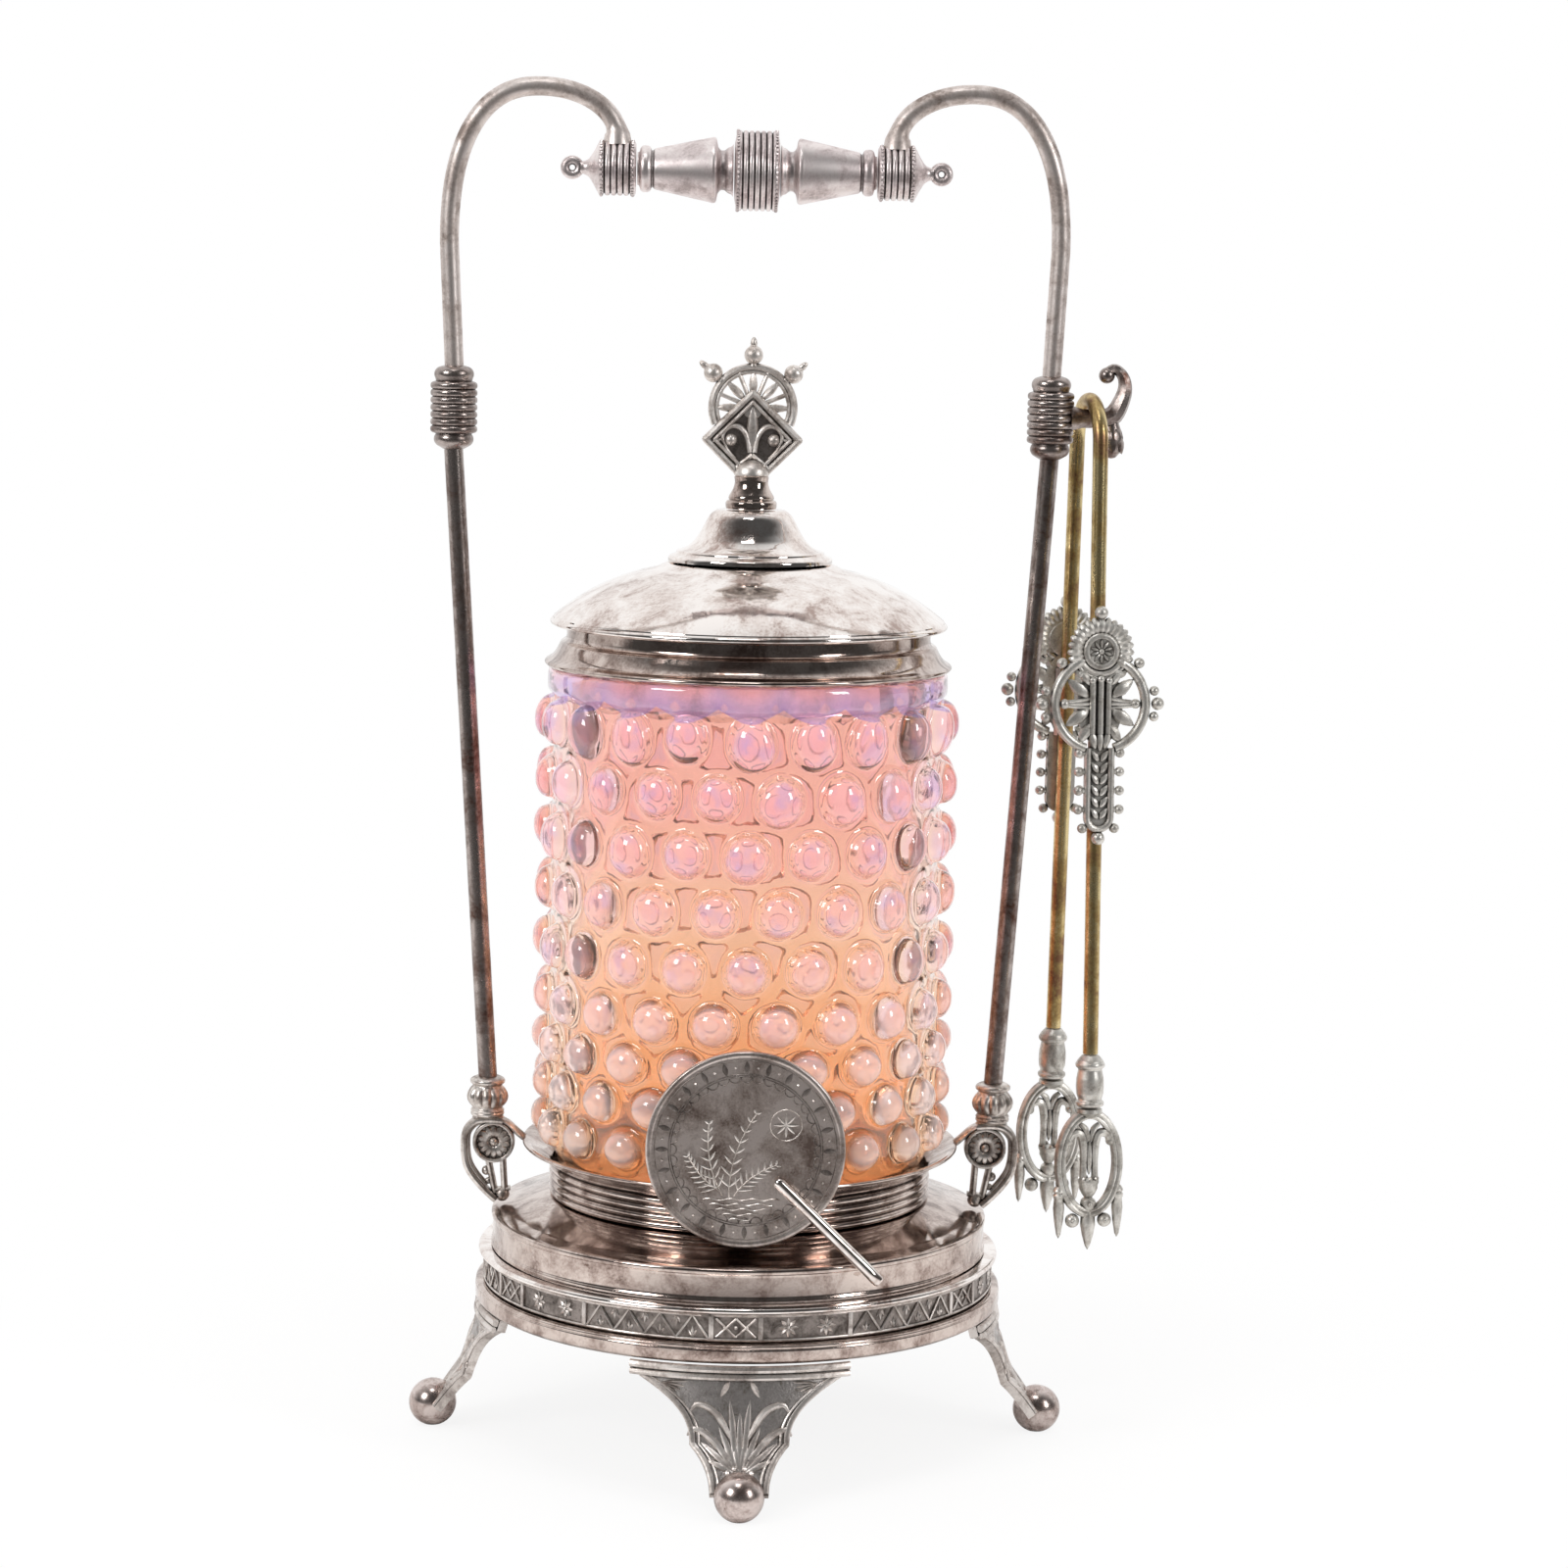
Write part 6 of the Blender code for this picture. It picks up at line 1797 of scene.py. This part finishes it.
@dataclass
class Hook(Part):
    """The cast hook: oval shank, curling horn with a ball and a hanging bud."""

    start: float = 71.7
    height: float = 231.6
    shank: float = 2.1
    length: float = 8.2
    bud_length: float = 8.8

    def build(self) -> None:
        """Build and dress the hook."""
        bend, up = self.start + self.length, self.height
        form = Form()
        path = [(self.start - 1, 0, up), (self.start + 1.6, 0, up), (bend - 1.2, 0, up)]
        form.add(swept(path, [2.9, self.shank, self.shank], 20))
        horn = [(-1.6, 0), (0.4, 1), (2, 4), (2.7, 6.8), (2.2, 9.4), (0.4, 11.1), (-1.4, 10.4)]
        form.scroll(shifted(horn, bend, up), [2.2, 2.2, 1.9, 1.6, 1.3, 1.1, 1], 0, 1.15)
        for index in range(5):
            place = at(bend + 3 - abs(index - 2) * 0.4, up + 1.2 + 1.8 * index, 0, 8 - 6 * index)
            form.leaf(place, 2.6, 1.2, 2)
        form.bead(bend - 1.4, up + 9.6, 1.8, 0, 20)
        drop = -self.bud_length
        bud = [(0, drop), (1, drop * 0.97), (2.2, drop * 0.82), (2.6, drop * 0.62),
               (2.4, drop * 0.4), (1.8, -1.6), (1.2, 0), (0, 0)]
        form.add(turned(bud, 24), move(bend, 0, up))
        for ring, (size, low) in enumerate(((5, -1.8), (4.4, -3.4))):
            for index in range(6):
                place = (move(bend, 0, up + low) @ rotate(60 * (index + ring / 2), "Z")
                         @ move(1.7 + 0.3 * ring, 0, 0) @ rotate(172, "Y") @ rotate(90, "Z"))
                form.leaf(place, size, 2.6, 1.2)
        dress("cast_tong_hook", form, self.finishes.rod, "tong_hook", slot=Slot.CASTING)


@dataclass
class FanOrnament(Part):
    """The round fan on the front of the cup, engraved, with its stick."""

    radius: float = 21.5
    thickness: float = 1.5
    offset: float = 0.4
    height: float = 76.0
    back: float = 49.6
    cut: float = 0.12
    out: float = -0.03
    bars: int = 24
    loops: int = 40
    stick_radius: float = 1.4
    stick_start: Point = (6.7, -6.1)
    stick_end: Point = (29.3, -28.2)

    def build(self) -> None:
        """Build and dress the disc, its engraving and its stick."""
        looks, reach, thick = self.finishes, self.radius, self.thickness
        front = -self.back - thick
        place = CASTOR @ move(self.offset, front, self.height)
        outline = [(0, 0.12), (reach - 1.2, 0.12), (reach - 1, 0), (reach - 0.3, 0), (reach, 0.4),
                   (reach, thick - 0.3), (reach - 0.4, thick), (0, thick)]
        disc = Form().add(turned(rounded(outline, 0.2), 96), rotate(-90, "X"))
        dress("fan_plate", disc, looks.fan, "fan_disc", place)
        dress("fan_border", self.border(), looks.recess, place=place)
        # The engraving's pale finish is a painted highlight on its cut lines.
        dress("fan_engraving", self.engraving(), looks.cut, place=place)
        depth = front - 0.2 - self.stick_radius
        start, end = (Vector((self.offset + across, depth, self.height + up))
                      for across, up in (self.stick_start, self.stick_end))
        path = [tuple(start.lerp(end, share)) for share in (0, 0.01, 0.03, 0.3, 0.6, 0.9, 0.985, 1)]
        radii = [0.9, 1.2, 1.3, 1.3, 1.35, 1.4, 1.4, 1.1]
        dress("fan_handle", swept(path, radii, 20), looks.plate, "fan_stick")

    def border(self) -> Form:
        """Cut rings, bars and lace round the edge, filled with black.

        Returns:
            The cuts.
        """
        form = Form()
        edge = self.radius - 1.9
        for radius in (edge, edge - 3, edge - 3.5):
            form.line(arc((0, 0), radius, 0, 360, 72), self.cut, self.out, 4)
        step = 360 / self.bars
        form.rays([step * index for index in range(self.bars)], (0, 0, self.out), edge - 2.9,
                  (2.8, 1.2, 0.2), 4)
        for index in range(self.loops):
            turn = 360 / self.loops * index
            lean = math.radians(turn)
            middle = ((edge - 3.6) * math.sin(lean), (edge - 3.6) * math.cos(lean))
            form.line(arc(middle, 1.2, 180 - turn, 360 - turn, 8), self.cut, self.out, 4)
        return form

    def engraving(self) -> Form:
        """Cut bright dots between the bars, a spray of ferns over water and a small star.

        Returns:
            The cuts.
        """
        form = Form()
        step = 360 / self.bars
        for index in range(self.bars):
            form.add(ball(0.3, 6), at(0, 0, self.out, step * (index + 0.5), self.radius - 3.4))
        for turn, length, root in ((-30, 17, (-4.8, -10)), (-2, 20.5, (-3.4, -10.5)),
                                   (-62, 11, (-5.2, -9)), (34, 12, (-2.4, -10))):
            self.fern(form, root, turn, length)
        star = (8.6, 5.6)
        form.rays(range(0, 360, 45), (*star, self.out), 0, (2.8, 0.6, 0.2), 4)
        form.line(arc(star, 3.4, 0, 360, 28), self.cut, self.out, 4)
        for index in range(5):
            ripple = [(0.25 * step, 0.22 * math.sin(step / 3)) for step in range(67 - 12 * index)]
            form.line(shifted(ripple, -9 + 1.4 * index, -10.8 - 1.1 * index), self.cut * 1.2,
                      -self.out, 4)
        return form

    def fern(self, form: Form, root: Point, turn: float, length: float) -> None:
        """Cut one frond with paired leaves.

        Args:
            form: the engraving.
            root: where the frond starts.
            turn: its direction in degrees.
            length: its length.
        """
        lean = math.radians(turn)
        bow = shifted([(math.sin(lean + share * 0.35) * length * share,
                        math.cos(lean + share * 0.35) * length * share)
                       for share in (0, 0.12, 0.24, 0.36, 0.48, 0.6, 0.72, 0.84, 0.94)], *root)
        form.line(bow, self.cut * 1.2, self.out, 4)
        for index, spot in enumerate(bow[1:], start=1):
            form.rays([turn + 3 * index + side for side in (-48, 48)], (*spot, self.out), 0,
                      (3.6 * (1 - index / 12), 0.55, 0.2), 4)


# ---------------------------------------------------------------- tongs

@dataclass
class Jaw(Part):
    """One arm of the tongs with its finger plate, ferrule and claw."""

    name: str
    side: int
    place: Matrix
    wire: float = 1.7
    arm: float = 135.0
    plate_drop: float = 56.9
    ring_radius: float = 11.4
    ring_band: float = 2.1
    plate_depth: float = 2.2
    fan_rise: float = 11.6
    fan_radius: float = 7.7
    tongue_half: float = 3.3
    tongue_drop: float = 29.8
    bead: float = 1.1
    end_bead: float = 1.4
    socket_radius: float = 3.3
    socket_length: float = 11.8
    claw_half: float = 7.75
    claw_height: float = 24.6
    claw_depth: float = 2.8
    gap: float = 0.3

    def build(self) -> None:
        """Build and dress the arm, plate, ferrule and claw."""
        name, body, cast = self.name, f"{self.name}_jaw", self.finishes.casting
        path = [(0, 0, 0.1 - (self.arm + 0.4) * step / 12) for step in range(13)]
        dress(f"{name}_wire_arm", swept(path, [self.wire], 24), self.finishes.wire, f"{name}_arm",
              self.place, body, Slot.WIRE)
        face = self.place @ rotate(180 if self.side > 0 else 0, "Z")
        low = -self.arm - self.gap * 2 - self.socket_length
        for piece, form, node, place in (
                ("finger_plate", self.finger_plate(), "grip_plate",
                 face @ move(0, -self.wire - self.gap, -self.plate_drop)),
                ("ferrule", self.socket(), "claw_socket", self.place @ move(0, 0, low)),
                ("openwork_claw", self.claw(), "claw", face @ move(0, 0, low - self.gap))):
            dress(f"{name}_{piece}", form, cast, f"{name}_{node}", place, body, Slot.CASTING)

    def finger_plate(self) -> Form:
        """Build the plate about the middle of its ring, with its face towards -Y.

        Returns:
            The plate.
        """
        form, half, middle = Form(), Form(), self.plate_depth / 2
        self.plate_fan(form, middle)
        self.plate_ring(form, middle)
        self.plate_tongue(form, middle)
        self.plate_leaves(half, middle)
        half.copies([MIRROR_X])
        return form.add(half.mesh)

    def plate_fan(self, form: Form, middle: float) -> None:
        """Add the fan of petals, its rosette and the crescent below it.

        Args:
            form: the plate.
            middle: half its depth.
        """
        fan, reach, petals = self.fan_rise, self.fan_radius, 18
        for index in range(petals + 1):
            place = at(0, fan, middle, 236 * (index / petals - 0.5), reach) @ rotate(180, "Y")
            form.leaf(place, reach - 3.4, 2.4, 2.4)
        form.add(slab(arc((0, fan), reach - 1.2, -28, 208, 32), -0.3, 0.1 - middle))
        disc = [(0, 0.2), (4, 0.2), (4.2, 0.7), (4.2, 1.7), (3.7, 2.1), (2.9, 2.1), (2.7, 1.5),
                (0, 1.5)]
        form.add(turned(rounded(disc, 0.2), 36), at(0, fan) @ rotate(90, "X"))
        form.rays(range(0, 360, 36), (0, fan, 1.6), 0.5, (2.2, 0.9, 0.9), 6)
        form.bead(0, fan, 0.7, 1.6)
        for radius, size in ((5, 0.8), (6, 0.6)):
            form.line(arc((0, fan), radius, 212, 328, 20), size, middle, 8)
        form.bead(0, fan + reach + 0.8, self.end_bead + 0.1, middle, 16)

    def plate_ring(self, form: Form, middle: float) -> None:
        """Add the ring with its beads and the dark web inside.

        Args:
            form: the plate.
            middle: half its depth.
        """
        half = self.ring_band / 2
        for side in (-1, 1):
            bow = arc((0, 0), self.ring_radius - half, 90 - side * 28, 90 - side * 161, 32)
            form.line(bow, half * 1.06, middle, 14)
            form.bead(side * 8.8, 9, 1.2, middle, 14)
            for angle, reach, size in ((-13, 12.7, 1.1), (0, 13.2, 1.45), (13, 12.7, 1.1)):
                turn = math.radians(angle)
                form.bead(side * reach * math.cos(turn), reach * math.sin(turn), size, middle, 14)
        form.add(slab(oval((0, -0.4), 5.2, 8.8, 2, 0, 348, 30), -0.2, -1))

    def plate_leaves(self, form: Form, middle: float) -> None:
        """Add the right half of the openwork inside the ring.

        Args:
            form: that half.
            middle: half the plate's depth.
        """
        for across, up, turn, length, width in (
                (2.4, 1.4, 52, 6.6, 3), (2.4, -1.2, 124, 6.6, 3.1), (1.8, -4.2, 146, 5.6, 2.6),
                (2.2, 4, 36, 4.6, 2)):
            form.leaf(at(across, up, middle, turn), length, width, 2.2)
        for up in (0.7, 0, -0.7):
            form.line([(2.2, up * 1.6), (7.8, up * 0.5)], 0.45, middle)
        form.bead(8.1, 0, 1.1, middle, 14)
        form.scroll([(3.2, 7.2), (4.8, 6.6), (5.8, 7.4)], [0.7, 0.9, 0.4], middle)
        form.line([(1.8, -6.6), (1.8, 4.6)], 0.7, middle + 0.4, 8)
        form.bead(1.9, 5.2, 0.9, middle + 0.4)
        form.leaf(at(1, -10, middle + 0.3, 14), 4.6, 1.9, 1.6)

    def plate_tongue(self, form: Form, middle: float) -> None:
        """Add the tongue with its raised border, pairs of leaves and beads.

        Args:
            form: the plate.
            middle: half its depth.
        """
        half, top, low = self.tongue_half, 1.6 - self.ring_radius, 1.4 - self.tongue_drop
        end, rim = (0, low + half), half - 0.6
        form.add(slab([(half, top), (-half, top)] + arc(end, half, 180, 360, 16), -0.3, -middle))
        border = [(-rim, top)] + arc(end, rim, 180, 360, 16) + [(rim, top)]
        form.line(border, 0.75, middle + 0.3, 10)
        for index in range(6):
            up = top - 3 - 2.55 * index
            for side in (-1, 1):
                form.leaf(at(side * 0.2, up, middle + 0.3, side * 34), 3.1, 1.5, 1.3)
        step = (self.tongue_drop - self.ring_radius - self.bead * 3 / 2) / 4
        for index in range(5):
            up = self.bead / 2 - self.ring_radius - step * index
            reach = half + 1.4 - (1 if index == 4 else 0)
            for side in (-1, 1):
                form.line([(side * rim, up), (side * reach, up)], 0.6, middle, 8)
                form.bead(side * reach, up, self.bead, middle, 14)
        form.bead(0, -self.tongue_drop, self.end_bead + 0.1, middle, 16)
        form.line([(0, -6.6), (0, 5)], 0.7, middle + 0.5, 8)
        form.bead(0, 5.5, 0.9, middle + 0.5)
        form.line([(0, 1 - self.ring_radius), (0, 5)], 2.3, middle - 1.2, 8, 0.6)
        form.leaf(at(0, -10.6, middle + 0.4), 5.4, 1.7, 1.6)

    def socket(self) -> BMesh:
        """Spin the ferrule: sloping cap, rings and a barrel body.

        Returns:
            The ferrule.
        """
        shares = ((0.60, 0), (0.90, 0.03), (0.97, 0.06), (0.97, 0.11), (0.82, 0.14), (0.80, 0.17),
                  (0.92, 0.26), (0.95, 0.40), (0.93, 0.55), (0.84, 0.68), (0.80, 0.74),
                  (0.96, 0.77), (1, 0.80), (1, 0.84), (0.92, 0.87), (0.88, 0.90), (0.66, 0.97),
                  (0.56, 1))
        return solid(scaled(shares, self.socket_radius, self.socket_length), 0.3, 36)

    def claw(self) -> Form:
        """Build the claw from its top down: double oval, tulip, cup and three prongs.

        Returns:
            The claw.
        """
        form, face, out = Form(), Form(), 0.3
        half, height, depth = self.claw_half, self.claw_height, self.claw_depth / 2

        def hoop(inset: float) -> list[Point]:
            """Give an oval inside the claw's outline."""
            return oval((0, -height / 2), half - inset, height / 2 - inset, 2, 90, 450, 60)

        for inset, radius in ((0.7, 0.72), (1.7, 0.55)):
            for lift in (radius - depth, depth - radius):
                form.line(hoop(inset), radius, lift, 8)
            form.line(hoop(inset), radius * 0.9)
        form.line(hoop(1.2), 0.9, flat=1.2)
        face.scroll([(1.4, -16.6), (1.3, -12), (1.4, -8), (2.2, -5.6), (4, -5.6), (4.8, -7)],
                    [0.8, 0.8, 1, 1, 1, 0.9], out, 1.1)
        face.bead(4.9, -7.2, 1.2, out)
        face.line([(4.4, -6.6), (5.8, -7.8)], 0.7, out)
        face.scroll([(0.2, -7.2), (1, -4.6), (2.2, -3.4)], [0.6, 0.8, 0.5], out)
        face.bead(3.7, -25.2, 1.6, out, 16)
        face.bead(3.7, -25.2, 0.6, 1.6, 10)
        start, tip = -height * 0.73, -height * 0.8 - 9.6
        prong = shifted([(0, 0.6), (0.8, 0.5), (1.2, 0), (1.4, -0.5), (1.1, -1), (1.4, -1.5),
                         (1.3, -2), (1.1, -2.4), (1.3, -4.5), (1, -7.5)], 0, start)
        prong += [(0.5, tip + 0.9), (0, tip)]
        face.add(turned(prong[::-1], 14), move(half - 1, 0, 0))
        face.copies([MIRROR_X])
        form.add(face.mesh)
        form.leaf(at(0, -15, out), 9.2, 1.6, 1.8)
        cup = [(0, -16), (2.3, -16), (2.4, -16.5), (2.1, -17.2), (2.1, -18), (1.5, -19.2),
               (0.9, -20), (1.6, -20.6), (1.8, -21.5), (1.6, -22.4), (1.2, -23.2), (1.6, -24.2),
               (1.7, -26.2), (1.3, -28.5), (0.6, -31), (0, -32)]
        form.add(turned(cup[::-1], 20))
        for index in range(8):
            angle = math.tau * index / 8
            form.leaf(move(2 * math.cos(angle), 2 * math.sin(angle), -16.4), 1.2, 1, 0.8, 4)
        form.bead(0, -21.5, 0.6, 1.8, 10)
        neck = [(0, 0.2), (2.8, 0), (2.9, -0.8), (2.2, -1.4), (1.4, -2), (0, -2.2)]
        return form.add(turned(neck[::-1], 20))


@dataclass
class Tongs(Part):
    """The spring tongs: bow of drawn wire and two jaws."""

    offset: float = 74.9
    hook_height: float = 231.6
    turn: float = 10.0
    bow: float = 9.5
    bow_top: float = 235.7
    wire: float = 1.7
    lean: float = 2.6

    def build(self) -> None:
        """Build and dress the bow and both jaws."""
        base = CASTOR @ move(self.offset, 0, self.hook_height) @ rotate(self.turn, "Z")
        rise = self.bow_top - self.bow - self.hook_height
        path = [(0, across, up) for across, up in arc((0, rise), self.bow, 0, 180, 36)]
        dress("wire_bow", swept(path, [self.wire], 24, 1, (1, 0, 0)), self.finishes.wire,
              "tongs_bow", base, "tongs_bow", Slot.WIRE)
        for name, side in (("front", -1), ("back", 1)):
            place = base @ move(0, side * self.bow, rise) @ rotate(side * self.lean, "X")
            Jaw(self.finishes, name, side, place).build()


# ---------------------------------------------------------------- studio

@dataclass
class Studio:
    """Pale sweep, soft lamps and the camera at the photograph's place; sizes are in metres."""

    distance: float = 0.887
    lift: float = 0.2654
    shift: float = 0.0085
    tilt: float = 7.5
    roll: float = 1.1
    turn: float = -1.55
    lens: float = 91.46
    lamps: tuple[tuple[str, Spot, Point, float], ...] = (
        ("left_softbox", (-0.95, -0.80, 0.80), (0.44, 0.44), 7.0),
        ("right_softbox", (1.00, -0.75, 0.65), (0.24, 0.52), 4.6),
        ("top_softbox", (-0.1, -0.45, 1.30), (0.36, 0.16), 1.8))
    lamp_aim: float = 0.14
    table_front: float = -0.42
    table_back: float = 6.0
    shadow_reach: float = 0.22

    def build(self) -> None:
        """Set up floor, world, lamps and camera."""
        bpy.context.scene.view_settings.view_transform = "Standard"
        self.floor()
        self.world()
        for name, spot, size, watts in self.lamps:
            self.lamp(name, spot, size, watts)
        self.camera()

    def floor(self) -> None:
        """Lay the white paper floor; the picture shows it white, with a shadow round the castor."""
        shape = bmesh.new()
        ops.create_grid(shape, x_segments=1, y_segments=1, size=1.0)
        length = self.table_back - self.table_front
        ops.scale(shape, vec=(self.table_back, length / 2, 1), verts=shape.verts)
        ops.translate(shape, vec=(0, self.table_front + length / 2, 0), verts=shape.verts)
        floor = placed("paper_floor", shape, self.paper())

    def paper(self) -> Material:
        """Build the paper, grey card in front, that looks white away from the castor.

        Returns:
            The material.
        """
        material, add, place = new_look("white_paper")
        # The paper turns to grey card about 0.2 m in front of the castor.
        spot = add("SeparateXYZ", {0: place})
        front = add("MapRange", {"Value": spot.outputs["Y"], "From Min": -0.26, "From Max": -0.14})
        paper = add("Mix", {0: front, 1: linear("#8A8685"), 2: linear("#F2F1F0")}, data_type="RGBA")
        shader = material.node_tree.nodes["Principled BSDF"]
        plug(shader, {"Base Color": paper, "Roughness": 0.8})
        away = add("VectorMath", {0: place}, operation="LENGTH")
        blank = add("MapRange", {
            "Value": away, "From Min": self.shadow_reach / 2, "From Max": self.shadow_reach,
            "To Min": 0.86}, interpolation_type="SMOOTHSTEP")
        ray = add("LightPath")
        seen = add("Math", {0: ray.outputs["Is Camera Ray"], 1: ray.outputs["Is Transmission Ray"]},
                   operation="MAXIMUM")
        share = add("Math", {0: seen, 1: blank}, operation="MULTIPLY")
        white = add("Emission", {"Color": (1, 1, 1, 1), "Strength": 1.0})
        mix = add("MixShader", {0: share, 1: shader, 2: white})
        plug(material.node_tree.nodes["Material Output"], {"Surface": mix})
        return material

    def world(self) -> None:
        """Give an even white room whose far end, behind the photographer, is dim in reflections."""
        world = bpy.data.worlds.new("white_room")
        bpy.context.scene.world = world
        world.use_nodes = True
        add = partial(add_node, world.node_tree)
        parts = add("SeparateXYZ", {0: add("TexCoord").outputs["Generated"]})
        # Behind the photographer the room is dark; towards the ceiling and the back it is white.
        climb = add("Math", {0: parts.outputs["Z"], 1: 0.40, 2: parts.outputs["Y"]},
                    operation="MULTIPLY_ADD")
        aside = add("Math", {0: parts.outputs["X"], 1: -0.10, 2: climb}, operation="MULTIPLY_ADD")
        depth = add("MapRange", {
            "Value": aside, "From Min": -0.15, "From Max": 0.68, "To Min": 0.07, "To Max": 1.0},
            interpolation_type="SMOOTHSTEP")
        ray = add("LightPath")
        seen = add("Math", {0: ray.outputs["Is Camera Ray"], 1: ray.outputs["Is Transmission Ray"]},
                   operation="MAXIMUM")
        dull = add("Mix", {0: ray.outputs["Is Glossy Ray"], 1: 0.90, 2: depth}, data_type="FLOAT")
        strength = add("Mix", {0: seen, 1: dull, 2: 1.0}, data_type="FLOAT")
        plug(world.node_tree.nodes["Background"], {"Color": (1, 1, 1, 1), "Strength": strength})

    def lamp(self, name: str, spot: Spot, size: Point, watts: float) -> None:
        """Hang a rectangular softbox that faces the castor.

        Args:
            name: its name.
            spot: its place.
            size: width and height.
            watts: its power.
        """
        light = bpy.data.lights.new(name, "AREA")
        light.shape, light.energy = "RECTANGLE", watts
        light.size, light.size_y = size
        lamp = linked(name, light)
        aim = Vector((0, 0, self.lamp_aim)) - Vector(spot)
        lamp.matrix_world = move(*spot) @ aim.to_track_quat("-Z", "Y").to_matrix().to_4x4()

    def camera(self) -> None:
        """Set the camera where the photograph was taken."""
        data = bpy.data.cameras.new("photograph")
        data.lens, data.sensor_width, data.clip_start = self.lens, 36, 0.01
        camera = linked("photograph", data)
        camera.matrix_world = (
            Matrix.Translation(CASTOR.translation * MM) @ rotate(self.turn, "Z")
            @ move(self.shift, -self.distance, self.lift)
            @ rotate(90 - self.tilt, "X") @ rotate(self.roll, "Z"))
        bpy.context.scene.camera = camera


def main() -> None:
    """Build the castor from its base up, then the studio round it."""
    logging.basicConfig(level=logging.INFO, format="%(message)s")
    finishes = Finishes()
    parts = [Base(finishes), Legs(finishes), Holder(finishes), Jar(finishes), Lid(finishes),
             Finial(finishes), HandleSide(finishes, Side.LEFT), HandleSide(finishes, Side.RIGHT),
             Barrel(finishes), Hook(finishes), FanOrnament(finishes), Tongs(finishes), Studio()]
    for part in parts:
        LOG.info("building %s", type(part).__name__)
        part.build()


if __name__ == "__main__":
    main()
